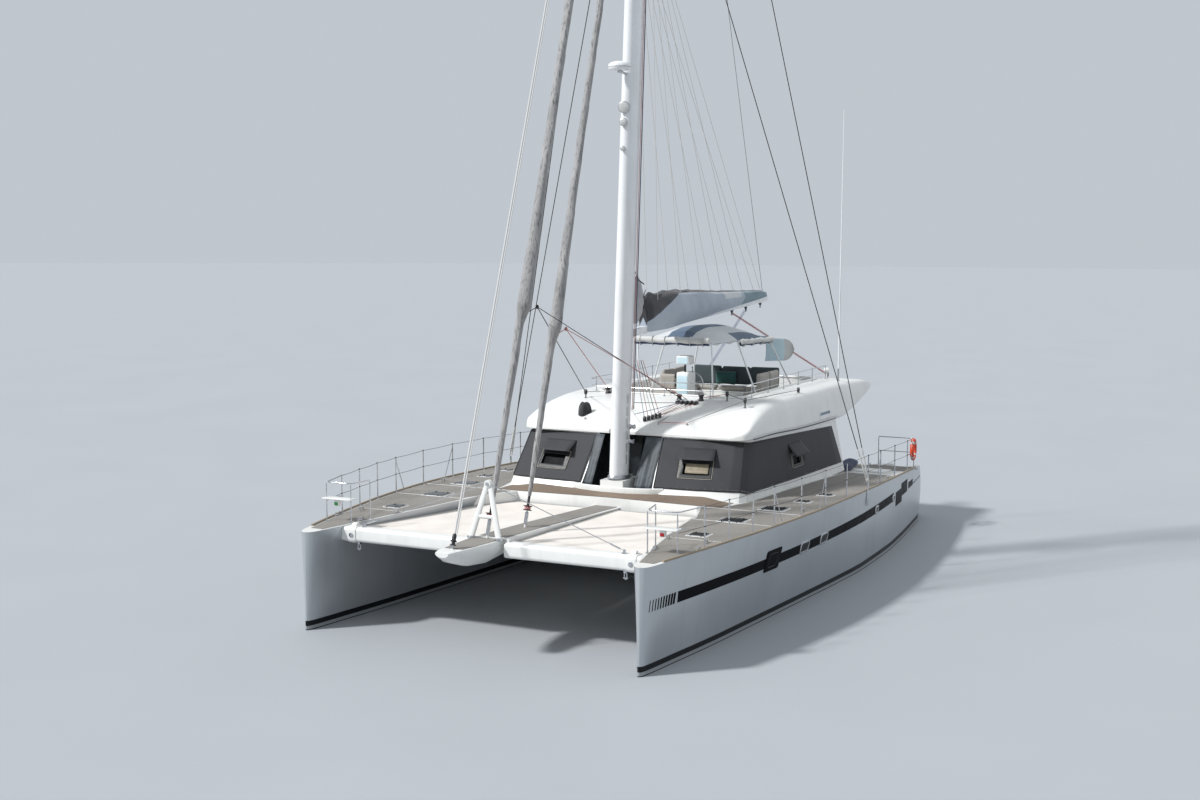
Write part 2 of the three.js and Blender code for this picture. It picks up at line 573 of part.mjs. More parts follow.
function crossbeamSolid() {
  const b = BEAM;
  const shape = roundedShape(b.y - b.halfDepth, b.bottom, b.y + b.halfDepth, b.top, b.radius);
  const whole = clearOfHulls(solid(carriedAcross(shape, -b.half, b.half)));
  const n = BEAM_NOTCH_HALF;
  return whole.subtract(solid(block(-n, b.y - n, 0, n, b.y + n, ABOVE_DECK)));
}
const [saddleFront, saddleBack] = [BEAM.y - SADDLE.halfY, BEAM.y + SADDLE.halfY];
const saddle = block(-SADDLE.halfX, saddleFront, SADDLE.low, SADDLE.halfX, saddleBack, SADDLE.high);
const saddleLegs = [[SADDLE.legIn, SADDLE.legOut], [-SADDLE.legOut, -SADDLE.legIn]].map(([x0, x1]) => (
  solid(block(x0, saddleFront, SADDLE.legLow, x1, saddleBack, SADDLE.high))
));
const beamCore = joined([crossbeamSolid(), solid(saddle), ...saddleLegs]);
const crossbeam = without(beamCore, hairWider(longeronWithTacks, [[1, 0, 0], [-1, 0, 0], [0, 0, 1]]));
add('crossbeam', geometryOf(crossbeam), WHITE);

function strikerSolid() {
  const s = STRIKER;
  const top = vec(0, s.y, s.top);
  const parts = [];
  for (const side of [-1, 1]) {
    const foot = vec(side * s.footX, s.footY, s.footZ);
    parts.push(bar(foot, top, s.tube, 10));
    parts.push(bar(foot.clone().setZ(s.footZ - 20), foot.clone().setZ(s.footZ + 30), s.shoe, 12));
    const stayFoot = vec(side * s.stayX, BEAM.y, BEAM.top + GAP);
    parts.push(bar(stayFoot.clone().setZ(BEAM.top + 30), top, s.stay, 6));
    parts.push(bar(stayFoot, stayFoot.clone().setZ(BEAM.top + 90), 45, 10));
  }
  const rise = (s.rungZ - s.footZ) / (s.top - s.footZ);
  const rungY = lerp(s.footY, s.y, rise);
  const rungX = s.footX * (1 - rise);
  parts.push(bar(vec(-rungX, rungY, s.rungZ), vec(rungX, rungY, s.rungZ), s.rung, 8));
  parts.push(bar(vec(0, s.y, s.top - 60), vec(0, s.y, s.top + 50), s.crown, 12));
  return joined(parts.map(solid));
}
const strikerSeats = [...hairWider(longeronWithTacks, [[0, 0, 1]]), ...hairWider(crossbeam, [[0, 0, 1]])];
add('striker', geometryOf(biggest(without(strikerSolid(), strikerSeats))), WHITE);

function trampolineSolid() {
  const t = TRAMPOLINE;
  const view = [[t.y0, t.front], [t.y1, t.back], [t.y1, t.back - t.thickness], [t.y0, t.front - t.thickness]];
  const seats = [...hairWider(portHull, [[-1, 0, 0]]), ...hairWider(bridgedeck, [[0, -1, 0], [-1, 0, 0]]),
    ...hairWider(longeronWithTacks, [[1, 0, 0]]), ...hairWider(crossbeam, [[0, 1, 0]])];
  return biggest(without(solid(across(view, t.x0, HULL_X)), seats));
}
addPair('trampoline', geometryOf(trampolineSolid()), NET);

// Hardtop with the flybridge well

function hardtopRing([y, half, low, top]) {
  const depth = top - low;
  const scale = Math.min(1, depth / HARDTOP_DEEP);
  const side = HARDTOP_SECTION.map(([inset, part]) => [half - inset * scale, low + depth * part]);
  const crown = [[0, top + HARDTOP_CROWN * scale]];
  const left = side.map(([x, z]) => [-x, z]).reverse();
  return [[0, low], ...side, ...crown, ...left].map(([x, z]) => vec(x, y, z));
}

function flyWell() {
  const w = FLY_WELL;
  const shape = roundedShape(-w.half, w.y0, w.half, w.y1, w.corner);
  const well = new THREE.ExtrudeGeometry(shape, { depth: ABOVE_DECK, curveSegments: 5, bevelEnabled: false });
  return well.translate(0, 0, w.sole);
}
const hardtop = symmetric(solid(loft(HARDTOP_STATIONS.map(hardtopRing))).subtract(solid(flyWell())));
add('hardtop', geometryOf(hardtop), WHITE);

// Cabin walls, glazing and window covers

// The cabin's outline at a height, pushed in by a distance, all the way round
function cabinRing(z, inset) {
  const rise = (z - CABIN_LOW) / (CABIN_HIGH - CABIN_LOW);
  const half = CABIN_OUTLINE.map(([x0, y0, x1, y1]) => [lerp(x0, x1, rise), lerp(y0, y1, rise)]);
  const ring = [...half, ...half.map(([x, y]) => [-x, y]).reverse()];
  return ring.map((point, i) => {
    const before = ring[(i + ring.length - 1) % ring.length];
    const after = ring[(i + 1) % ring.length];
    const normal = (a, b) => {
      const length = Math.hypot(b[0] - a[0], b[1] - a[1]);
      return [(a[1] - b[1]) / length, (b[0] - a[0]) / length];
    };
    const [n, m] = [normal(before, point), normal(point, after)];
    const scale = inset / (1 + n[0] * m[0] + n[1] * m[1]);
    return vec(point[0] + (n[0] + m[0]) * scale, point[1] + (n[1] + m[1]) * scale, z);
  });
}
function cabinShape(inset) {
  return symmetric(solid(loft([CABIN_BOTTOM, CABIN_TOP].map((z) => cabinRing(z, inset)))));
}

function cabinWalls() {
  const b = BULKHEAD;
  const shell = cabinShape(0).subtract(cabinShape(CABIN_WALL));
  const aft = solid(block(-b.half, b.y0, WELL.sole + GAP, b.half, b.y1, CABIN_TOP));
  const cuts = [block(-b.doorHalf, b.y0 - b.half, WELL.sole + SILL, b.doorHalf, b.y1 + b.half, b.doorTop)];
  for (const s of [-1, 1]) {
    const order = (a, c) => (s > 0 ? [a, c] : [-c, -a]);
    for (const [y0, y1] of SIDE_WINDOWS) {
      const [x0, x1] = order(SIDE_WINDOW_REACH.x0, SIDE_WINDOW_REACH.x1);
      cuts.push(block(x0, y0, SIDE_WINDOW_REACH.z0, x1, y1, SIDE_WINDOW_REACH.z1));
    }
    for (const w of [FRONT_WINDOW, RECESS_WINDOW]) {
      const [x0, x1] = order(w.x0, w.x1);
      cuts.push(block(x0, FRONT_WINDOW_REACH.y0, w.z0, x1, FRONT_WINDOW_REACH.y1, w.z1));
    }
  }
  const walls = without(shell.add(aft), cuts.map(solid));
  const r = DOOR_RAIL;
  const railEnd = b.half - r.inset;
  const rail = block(-railEnd, b.y1 - r.sunk, b.doorTop + r.z0, railEnd, b.y1 + r.proud, b.doorTop + r.z1);
  return without(clearOfHulls(walls.add(solid(rail))), [...hairWider(bridgedeck, [[0, 0, 1]]),
    ...hairWider(hardtop, [[0, 0, -1]])]);
}
const cabin = biggest(cabinWalls());
add('cabin_walls', geometryOf(cabin), WHITE);

function cabinGlazing() {
  const g = GLAZING;
  const band = cabinShape(CABIN_WALL - g.rabbet).subtract(cabinShape(CABIN_WALL + g.proud));
  const reach = solid(block(0, -FAR, g.z0, FAR, g.back, g.z1));
  const around = [[-1, 0, 0], [1, 0, 0], [0, 1, 0], [0, -1, 0], [0, 0, 1], [0, 0, -1]];
  const seats = [...hairWider(cabin, around), ...hairWider(hardtop, [[0, 0, -1]]),
    ...hairWider(bridgedeck, [[0, 0, 1]])];
  const half = biggest(without(band.intersect(reach), seats));
  return half.add(half.mirror([1, 0, 0]));
}
add('cabin_glazing', geometryOf(cabinGlazing()), DARK_GLASS);

function windowCover() {
  const skin = cabinShape(-GAP - COVER.thickness).subtract(cabinShape(-GAP));
  const view = solid(across(COVER_SIDE_VIEW, COVER.x0, COVER.x1));
  const body = without(skin.intersect(view), COVER_VENTS.map((box) => solid(block(...box))));
  const seats = [...hairWider(cabin, [[1, 0, 0], [0, -1, 0]]), ...hairWider(hardtop, [[0, 0, -1]])];
  return biggest(without(body, seats));
}
addPair('window_cover', geometryOf(windowCover()), CHARCOAL_CLOTH);

// Port half of the doorway: a fixed pane in the bulkhead. Starboard half: the door, which slides over it
const PANE = { x0: 10, front: 15, back: 40 };
const DOOR = { x1: 60, lap: 20, clear: 10, thickness: 35, low: 75 };
const paneEdge = BULKHEAD.doorHalf - GAP;
const paneLow = WELL.sole + SILL + GAP;
add('aft_glazing', block(PANE.x0, BULKHEAD.y0 + PANE.front, paneLow, paneEdge, BULKHEAD.y0 + PANE.back,
  BULKHEAD.doorTop - GAP), DARK_GLASS);
const doorY = BULKHEAD.y1 + DOOR.clear;
add('saloon_door', block(-BULKHEAD.doorHalf - DOOR.lap, doorY, WELL.sole + DOOR.low, DOOR.x1,
  doorY + DOOR.thickness, BULKHEAD.doorTop + DOOR_RAIL.z0 - GAP), DARK_GLASS);

// Flybridge and cockpit furniture

const soleFly = FLY_WELL.sole + GAP;
function consoleSolid() {
  const c = CONSOLE;
  const profile = [[c.y0, soleFly], [c.y1, soleFly], [c.y1, c.top - c.dash], [c.y1 - c.slope, c.top],
    [c.y0, c.top]];
  const screen = block(c.x - c.screenHalf, c.y0 + c.screenFront, c.top - 50, c.x + c.screenHalf,
    c.y0 + c.screenBack, c.screen);
  const hubFrom = vec(WHEEL.x, c.y1 - c.hubReach, WHEEL.z);
  const hub = bar(hubFrom, hubFrom.clone().setY(WHEEL.y - WHEEL.hubBack), c.hubRadius, 12);
  return joined([across(profile, c.x - c.half, c.x + c.half), screen, hub].map(solid));
}
add('helm_console', geometryOf(consoleSolid()), WHITE);

function wheelGeometry() {
  const rim = new THREE.TorusGeometry(WHEEL.radius, WHEEL.rim, 6, 24);
  rim.rotateX(Math.PI / 2);
  const hub = bar(vec(0, -WHEEL.hubBack + GAP, 0), vec(0, 30, 0), WHEEL.hubRadius, 12);
  const parts = [solid(rim), solid(hub)];
  for (let i = 0; i < WHEEL.spokes; i += 1) {
    const angle = Math.PI / 2 + (i * 2 * Math.PI) / WHEEL.spokes;
    const tip = vec(Math.cos(angle) * WHEEL.radius, 0, Math.sin(angle) * WHEEL.radius);
    parts.push(solid(bar(vec(0, 0, 0), tip, WHEEL.spoke, 6)));
  }
  return geometryOf(joined(parts));
}
add('steering_wheel', wheelGeometry(), STEEL).position.set(WHEEL.x, WHEEL.y, WHEEL.z);

function seatBlock({ x, y, width, depth, seat, back, rest: restDepth }) {
  const base = block(x - width / 2, y - depth / 2, soleFly, x + width / 2, y + depth / 2, seat);
  const restFront = y + depth / 2 - restDepth;
  const rest = block(x - width / 2, restFront, seat - LAP, x + width / 2, y + depth / 2, back);
  return geometryOf(solid(base).add(solid(rest)));
}
add('helm_seat', seatBlock(HELM_SEAT), CUSHION);

function flySofa() {
  const s = SOFA;
  const seat = solid(block(s.x0, s.y0, soleFly, s.x1, s.y1, s.seat));
  const open = solid(block(s.x0 + s.depth, -FAR, 0, s.x1 - s.depth, s.y1 - s.depth, FAR));
  const backs = solid(block(s.x0, s.y0, s.seat - LAP, s.x1, s.y1, s.back));
  const room = solid(block(s.x0 + s.rest, -FAR, 0, s.x1 - s.rest, s.y1 - s.rest, FAR));
  return geometryOf(seat.subtract(open).add(backs.subtract(room)));
}
add('flybridge_sofa', flySofa(), CUSHION);

function cockpitSofa() {
  const s = COCKPIT_SOFA;
  const seat = solid(block(-s.half, s.y0, WELL.sole + GAP, s.half, s.y1, s.seat));
  const rest = solid(block(-s.half, s.y1 - s.rest, s.seat - LAP, s.half, s.y1, s.back));
  return geometryOf(seat.add(rest));
}
add('cockpit_sofa', cockpitSofa(), CUSHION);

function cockpitTable() {
  const t = COCKPIT_TABLE;
  const middle = (t.y0 + t.y1) / 2;
  const parts = [block(-t.half, t.y0, t.top - t.thickness, t.half, t.y1, t.top)];
  for (const s of [-1, 1]) {
    const foot = vec(s * t.legX, middle, WELL.sole + GAP);
    parts.push(bar(foot.clone().setZ(WELL.sole + 20), foot.clone().setZ(t.top - 10), t.leg, 12));
    parts.push(bar(foot, foot.clone().setZ(WELL.sole + t.footHeight), t.foot, 16));
  }
  return geometryOf(joined(parts.map(solid)));
}
add('cockpit_table', cockpitTable(), TEAK);

// Bimini: height of the cloth's underside over the flybridge
function biminiZ(x, y) {
  const b = BIMINI;
  const along = (y - b.y0) / (b.y1 - b.y0);
  const arch = 0.25 + 3 * along * (1 - along);
  const ends = Math.min(1, along * 6, (1 - along) * 6);
  return lerp(b.z0, b.z1, along) + b.crown * arch * ends * (1 - (x / b.half) ** 2);
}
function biminiCloth() {
  const rows = 12;
  const columns = 8;
  const ring = (y) => {
    const xs = Array.from({ length: columns + 1 }, (_, i) => lerp(-BIMINI.half, BIMINI.half, i / columns));
    const under = xs.map((x) => vec(x, y, biminiZ(x, y)));
    const over = xs.map((x) => vec(x, y, biminiZ(x, y) + BIMINI_CLOTH)).reverse();
    return [...under, ...over];
  };
  return loft(Array.from({ length: rows + 1 }, (_, i) => ring(lerp(BIMINI.y0, BIMINI.y1, i / rows))));
}
add('bimini_canopy', biminiCloth(), CANVAS);

function biminiFrame() {
  const b = BIMINI;
  const parts = [];
  const under = (y) => biminiZ(b.half, y) - b.tube - GAP;
  for (const s of [-1, 1]) {
    const rail = [b.y0 + b.edge, b.y1 - b.edge].map((y) => vec(s * b.half, y, under(y)));
    parts.push(bar(rail[0], rail[1], b.tube, 6));
    for (const [footY, topY, footX] of BIMINI_POSTS) {
      parts.push(bar(vec(s * footX, footY, soleFly - b.tube), vec(s * b.half, topY, under(topY)), b.tube, 6));
    }
  }
  for (const y of [b.y0 + b.edge, b.y1 - b.edge]) {
    parts.push(bar(vec(-b.half, y, under(y)), vec(b.half, y, under(y)), b.tube, 6));
  }
  const seats = [...hairWider(solid(biminiCloth()), [[0, 0, -1]]), ...hairWider(hardtop, [[0, 0, 1]])];
  return biggest(without(joined(parts.map(solid)), seats));
}
add('bimini_frame', geometryOf(biminiFrame()), STEEL);

// Mast, boom and bag

const mastEllipse = new THREE.Shape();
mastEllipse.absellipse(0, 0, MAST.halfX, MAST.halfY, 0, Math.PI * 2);
function mastSolid() {
  const footZ = MAST_STEP.top - MAST.sunk;
  const depth = (MAST.top - footZ) * Math.hypot(1, MAST.rake);
  const body = new THREE.ExtrudeGeometry(mastEllipse, { depth, curveSegments: 12, bevelEnabled: false });
  body.rotateX(-Math.atan(MAST.rake));
  body.translate(0, mastAxisY(footZ), footZ);
  const tang = (line, length) => bar(line.at(line.length - length), line.at(line.length), TANG_RADIUS, 8);
  const tangs = FORESTAYS.map((stay) => tang(stay.line, STAY_TANG));
  for (const s of [-1, 1]) {
    tangs.push(...shroudLines(s).map((line) => tang(line, SHROUD_TANG)));
  }
  const g = GOOSENECK;
  const boomTopZ = BOOM.frontZ + BOOM.depth;
  const lugHeights = [[BOOM.frontZ - g.lug, BOOM.frontZ - GAP], [boomTopZ + GAP, boomTopZ + g.lug]];
  const lugs = lugHeights.map(([z0, z1]) => (
    block(-g.lugHalf, BOOM.hingeY - g.lugLength, z0, g.lugHalf, BOOM.hingeY + g.lugHalf, z1)
  ));
  const foot = solid(block(-FAR, -FAR, 0, FAR, FAR, MAST_STEP.top + GAP));
  return joined([body, ...tangs, ...lugs].map(solid)).subtract(foot);
}

function shroudLines(s) {
  const foot = vec(s * CHAINPLATE.x, CHAINPLATE.y, CHAINPLATE.z + 120);
  return SHROUD_TOPS.map((z) => stayLine(foot, vec(0, mastAxisY(z), z)));
}
const mast = mastSolid();
add('mast', geometryOf(mast), WHITE);

function boomSolid() {
  const b = BOOM;
  const profile = [[b.front, b.frontZ], [b.end, b.endZ], [b.end, b.endZ + b.depth],
    [b.front, b.frontZ + b.depth]];
  const g = GOOSENECK;
  const barrel = bar(vec(0, b.hingeY, b.frontZ), vec(0, b.hingeY, b.frontZ + b.depth), g.barrel, 16);
  const neck = block(-g.neckHalf, b.hingeY, b.frontZ + g.neckIn, g.neckHalf, b.front + g.reach,
    b.frontZ + b.depth - g.neckIn);
  return joined([across(profile, -b.halfX, b.halfX), barrel, neck].map(solid));
}
add('boom', geometryOf(boomSolid()), WHITE);

const boomTop = (y) => lerp(BOOM.frontZ, BOOM.endZ, (y - BOOM.front) / (BOOM.end - BOOM.front)) + BOOM.depth;
const bag = loft(BAG_STATIONS.map(([y, half, height]) => {
  const low = boomTop(y) + GAP;
  const port = BAG_SECTION.map(([x, z]) => vec(x * half, y, low + z * height));
  return [...port, ...port.map((p) => p.clone().setX(-p.x)).reverse()];
}));
add('mainsail_bag', bag, CANVAS);

function radarSolid() {
  const r = RADAR;
  const y = mastAxisY(r.z) - MAST.halfY;
  const domeY = y - r.radius - r.standOff;
  const dome = new THREE.LatheGeometry(DOME.map(([radius, z]) => new THREE.Vector2(radius, z)), 20);
  dome.rotateX(Math.PI / 2).translate(0, domeY, r.z);
  const bracket = block(-r.bracketHalf, domeY - r.bracketHalf, r.z - r.bracketDepth,
    r.bracketHalf, y + r.sunk, r.z + 10);
  return without(solid(dome).add(solid(bracket)), hairWider(mast, [[0, -1, 0]]));
}
add('radar', geometryOf(biggest(radarSolid())), WHITE);

// Stays: each is one straight line, its ends a hair from the fittings that hold it

// A turned body about a straight line, from [distance along the line, radius] pairs
function turned(line, profile, sides) {
  const beam = vec(1, 0, 0);
  const ahead = beam.clone().cross(line.at(1).sub(line.at(0))).normalize();
  const spoke = (i) => {
    const angle = (i * 2 * Math.PI) / sides;
    return beam.clone().multiplyScalar(Math.cos(angle)).addScaledVector(ahead, Math.sin(angle));
  };
  const spokes = Array.from({ length: sides }, (_, i) => spoke(i));
  return loft(profile.map(([s, r]) => spokes.map((way) => line.at(s).addScaledVector(way, r))));
}

for (const stay of FORESTAYS) {
  const end = stay.line.length - STAY_TANG - GAP;
  const [drumLow, drumHigh] = [stay.drumHeight + DRUM.low, stay.drumHeight + DRUM.high];
  const rolled = ROLLED_SAIL[stay.name].map(([part, radius]) => [part * end, radius]);
  const profile = [[TACK.length + GAP, STAY_RADIUS], [drumLow, STAY_RADIUS], [drumLow, stay.drumRadius],
    [drumHigh, stay.drumRadius], [drumHigh, STAY_RADIUS], [rolled[0][0], STAY_RADIUS], ...rolled,
    [rolled.at(-1)[0], STAY_RADIUS], [end, STAY_RADIUS]];
  add(stay.name, turned(stay.line, profile, 10), SAIL_GREY);
}

function shroudsSolid() {
  const c = CHAINPLATE;
  const parts = [];
  for (const line of shroudLines(1)) {
    parts.push(bar(line.at(0), line.at(line.length - SHROUD_TANG - GAP), SHROUD_RADIUS, 6));
    parts.push(bar(line.at(TURNBUCKLE.from), line.at(TURNBUCKLE.to), TURNBUCKLE.radius, 8));
  }
  parts.push(block(c.x + c.inner, c.y - c.strapHalf, c.z + c.strapLow, c.x + c.strapOuter, c.y + c.strapHalf,
    c.z + c.strapHigh));
  parts.push(block(c.x + c.inner, c.y - c.tangHalf, c.z, c.x + c.tangOuter, c.y + c.tangHalf,
    c.z + c.tangHigh));
  return without(joined(parts.map(solid)), hairWider(portHull, [[1, 0, 0], [0, 0, 1]]));
}
addPair('shrouds', geometryOf(biggest(shroudsSolid())), STEEL);

// Guardrails, pulpit and pushpit

// x of the guardrail along the port hull's outer edge
const railX = (y) => HULL_X + deckHalf(y) - RAIL.inset;

function guardrailSolid() {
  const parts = [];
  const post = (x, y) => {
    const z = deckZ(y);
    parts.push(bar(vec(x, y, z + 6), vec(x, y, z + RAIL.height), RAIL.post, 6));
    parts.push(bar(vec(x, y, z - 10), vec(x, y, z + RAIL.baseHeight), RAIL.base, 6));
  };
  const p = PULPIT;
  const bow = [[HULL_X + p.backInner, p.backY], [HULL_X + p.inner, p.y], [HULL_X + p.outer, p.y]];
  const side = STANCHION_Y.map((y) => [railX(y), y]);
  const stern = [[railX(PUSHPIT.y), PUSHPIT.y], [HULL_X + PUSHPIT.inner, PUSHPIT.y]];
  for (const [x, y] of [...bow, ...side, ...stern]) {
    post(x, y);
  }
  for (const height of [RAIL.height, RAIL.middle]) {
    const at = (x, y) => vec(x, y, deckZ(y) + height);
    const wire = [bow[2], ...side, stern[0]].map(([x, y]) => at(x, y));
    for (let i = 0; i + 1 < wire.length; i += 1) {
      const firm = i === wire.length - 2;
      parts.push(bar(wire[i], wire[i + 1], firm ? RAIL.post : RAIL.wire, 4));
    }
    parts.push(bar(at(...stern[0]), at(...stern[1]), RAIL.post, 8));
  }
  const top = bow.map(([x, y]) => vec(x, y, deckZ(y) + RAIL.height));
  parts.push(bar(top[0], top[1], RAIL.post, 8));
  parts.push(bar(top[1], top[2], RAIL.post, 8));
  const seatZ = deckZ(p.y) + p.seatZ;
  parts.push(block(HULL_X + p.seatIn, p.y - p.seatHalf, seatZ, HULL_X + p.seatOut, p.y + p.seatHalf,
    seatZ + p.seatThickness));
  return without(joined(parts.map(solid)), hairWider(portHull, [[0, 0, 1]]));
}
addPair('guardrail', geometryOf(guardrailSolid()), STEEL);

// The life ring hangs outside the last stretch of rail, turned as that rail is
const [railFrom, railTo] = [STANCHION_Y.at(-1), PUSHPIT.y];
const turn = Math.atan2(railX(railFrom) - railX(railTo), railTo - railFrom);
const railMiddle = lerp(railX(railFrom), railX(railTo), (LIFE_RING.y - railFrom) / (railTo - railFrom));
const standOff = RAIL.post + LIFE_RING.tube + GAP;
const ring = new THREE.TorusGeometry(LIFE_RING.radius, LIFE_RING.tube, 8, 20).rotateY(Math.PI / 2);
const lifeRing = add('life_ring', ring, ORANGE);
lifeRing.rotation.z = turn;
lifeRing.position.set(railMiddle + standOff * Math.cos(turn), LIFE_RING.y + standOff * Math.sin(turn),
  deckZ(LIFE_RING.y) + LIFE_RING.z);

export default boat;
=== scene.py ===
# %% [markdown]
# A cruising catamaran of about 22 m, afloat at its waterline.
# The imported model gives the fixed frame: every piece below sits where that frame says, in metres,
# with +Z up from the water, the bows towards -Y and the port hull on +X.

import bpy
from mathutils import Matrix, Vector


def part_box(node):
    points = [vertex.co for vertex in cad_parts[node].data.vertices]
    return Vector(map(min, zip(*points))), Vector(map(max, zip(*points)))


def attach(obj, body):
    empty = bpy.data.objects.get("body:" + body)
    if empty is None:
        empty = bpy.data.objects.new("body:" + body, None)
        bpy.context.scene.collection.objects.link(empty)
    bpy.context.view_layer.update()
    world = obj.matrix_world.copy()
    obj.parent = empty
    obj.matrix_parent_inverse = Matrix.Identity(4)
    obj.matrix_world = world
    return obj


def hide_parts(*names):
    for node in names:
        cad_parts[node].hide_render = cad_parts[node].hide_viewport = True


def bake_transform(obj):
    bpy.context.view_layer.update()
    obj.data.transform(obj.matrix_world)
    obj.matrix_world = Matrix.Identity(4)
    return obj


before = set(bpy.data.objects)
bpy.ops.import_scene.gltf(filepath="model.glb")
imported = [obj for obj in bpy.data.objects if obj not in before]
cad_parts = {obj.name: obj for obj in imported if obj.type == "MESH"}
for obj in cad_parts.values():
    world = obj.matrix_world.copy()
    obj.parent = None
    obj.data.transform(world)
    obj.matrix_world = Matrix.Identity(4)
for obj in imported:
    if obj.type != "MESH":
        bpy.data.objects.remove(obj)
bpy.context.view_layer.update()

# %% Libraries
from math import cos, pi, radians, sin

import bmesh
import bpy
import numpy as np
from mathutils import Matrix

# %% [markdown]
# Almost everything on a boat is a skin over sections or a profile carried along a path.
# So one form is enough for the shapes: a grid of points with rows and columns, and a UV pair at
# each point. Where a grid closes on itself, its first column is repeated as its last, and where
# it ends in a pole, a whole row lies in one point: merging the doubles closes both.

# %% Grids
def unit(vectors):
    """Vectors divided by their length."""
    vectors = np.asarray(vectors, float)
    return vectors / np.maximum(np.linalg.norm(vectors, axis=-1, keepdims=True), 1e-12)


def coords(*columns):
    """Coordinates spread to one shape and put together: (x, y, z) gives points, (u, v) a UV map."""
    return np.stack(np.broadcast_arrays(*columns), axis=-1)


def surface(points):
    """A grid (rows, columns, 3) and its UV: metres across each row, and metres along the rows."""
    points = np.asarray(points, float)
    across = np.linalg.norm(np.diff(points, axis=1), axis=2)
    along = np.linalg.norm(np.diff(points, axis=0), axis=2).mean(1)
    u = np.pad(np.cumsum(across, axis=1), ((0, 0), (1, 0)))
    return points, coords(u, np.pad(np.cumsum(along), (1, 0))[:, None])


def shut(points):
    """A grid whose first and last row are each followed by a row drawn together in its middle."""
    points = np.asarray(points, float)
    first, last = points[:1], points[-1:]
    middle = [np.broadcast_to(row[:, :-1].mean(1, keepdims=True), row.shape) for row in (first, last)]
    return np.concatenate([middle[0], points, middle[1]])


# %% Outlines and paths
def circle(sides):
    """The points (cos t, sin t) over one whole turn, the first repeated as the last."""
    t = np.linspace(0, 2 * pi, sides + 1)
    return coords(np.cos(t), np.sin(t))


def rounded(width, height, radius, steps=4):
    """A rectangle about the middle: each corner is its centre plus radius times (cos, sin)."""
    t = np.linspace(0, pi / 2, steps + 1)
    signs = [(1, -1), (1, 1), (-1, 1), (-1, -1)]
    arcs = [coords(sx * (width / 2 - radius) + radius * np.cos(t + (turn - 1) * pi / 2),
                   sy * (height / 2 - radius) + radius * np.sin(t + (turn - 1) * pi / 2))
            for turn, (sx, sy) in enumerate(signs)]
    return np.vstack([*arcs, arcs[0][:1]])


def framed(a0, a1, b0, b1, radius, steps=4, grow=(0, 0)):
    """A rounded rectangle from a0 to a1 and from b0 to b1, its ends moved out by grow each way."""
    outline = rounded(a1 - a0 + 2 * grow[0], b1 - b0 + 2 * grow[1], radius, steps)
    return outline + ((a0 + a1) / 2, (b0 + b1) / 2)


def straight(a, b, count=2):
    """Evenly spaced points from a to b."""
    return np.linspace(np.asarray(a, float), np.asarray(b, float), count)


def through(points, steps):
    """A Catmull-Rom path: on each stretch a cubic whose slopes come from the neighbouring points."""
    p = np.asarray(points, float)
    p = np.vstack([2 * p[0] - p[1], p, 2 * p[-1] - p[-2]])
    t = np.linspace(0, 1, steps, endpoint=False)[:, None]
    a, b, c, d = p[:-3, None], p[1:-2, None], p[2:-1, None], p[3:, None]
    curve = b + 0.5 * t * (c - a + t * (2 * a - 5 * b + 4 * c - d + t * (3 * (b - c) + d - a)))
    return np.vstack([curve.reshape(-1, p.shape[1]), p[-2:-1]])


def bent(points, radius, steps=5):
    """Straight stretches with each corner replaced by a quadratic curve that starts radius before it."""
    p = np.asarray(points, float)
    t = np.linspace(0, 1, steps)[:, None]
    before = p[1:-1] + unit(p[:-2] - p[1:-1]) * radius
    after = p[1:-1] + unit(p[2:] - p[1:-1]) * radius
    curves = [(1 - t) ** 2 * a + 2 * t * (1 - t) * corner + t ** 2 * b
              for a, corner, b in zip(before, p[1:-1], after)]
    return np.vstack([p[:1], *curves, p[-1:]])


def eased(at, stops, values):
    """A smooth line through a table: a cubic on each stretch. Its slope at a stop is the harmonic
    mean of the slopes beside it, and zero where they turn round, so it never overshoots."""
    at, stops, values = (np.asarray(x, float) for x in (at, stops, values))
    width = np.diff(stops)
    slope = np.diff(values) / width
    same_way = slope[:-1] * slope[1:] > 0
    total = np.where(same_way, slope[:-1] + slope[1:], 1)
    inner = np.where(same_way, 2 * slope[:-1] * slope[1:] / total, 0)
    tangent = np.concatenate([slope[:1], inner, slope[-1:]])
    i = np.clip(np.searchsorted(stops, at) - 1, 0, len(stops) - 2)
    t = (at - stops[i]) / width[i]
    rise = t * t * (3 - 2 * t)
    start = tangent[i] * width[i] * t * (1 - t) ** 2
    end = tangent[i + 1] * width[i] * t * t * (t - 1)
    return values[i] + (values[i + 1] - values[i]) * rise + start + end


def table_line(table, column, at):
    """The smooth line through one column of a table whose first column is the place."""
    return eased(at, table[:, 0], table[:, column])


def between(stops, count):
    """From each stop to the next, count evenly spaced values, and the last stop at the end."""
    runs = [np.linspace(a, b, count, endpoint=False) for a, b in zip(stops[:-1], stops[1:])]
    return np.concatenate(runs + [stops[-1:]])


# %% Profiles carried along paths
def sweep(path, outline, size=1.0, up=None, closed=False):
    """Each point is path + size * (a * side + b * over), where side is along x up and over is
    side x along. Without an up, it is the direction in which the path is flattest."""
    path = np.asarray(path, float)
    if closed:
        along = unit(np.roll(path, -1, axis=0) - np.roll(path, 1, axis=0))
    else:
        along = unit(np.gradient(path, axis=0))
    if up is None:
        up = np.linalg.svd(path - path.mean(0))[2][-1]
    side = unit(np.cross(along, up))
    over = np.cross(side, along)
    outline = np.asarray(outline, float)
    scale = np.broadcast_to(size, len(path))[:, None, None]
    ring = side[:, None] * outline[None, :, :1] + over[:, None] * outline[None, :, 1:]
    points = path[:, None] + scale * ring
    return surface(np.concatenate([points, points[:1]]) if closed else shut(points))


def tube(path, radius, sides=10, **more):
    """A round bar: a circle carried along a path. The radius may change along it."""
    return sweep(path, circle(sides), radius, **more)


def bar(a, b, radius, sides=10, count=2):
    """A straight round bar or taut line from a to b."""
    return tube(straight(a, b, count), radius, sides)


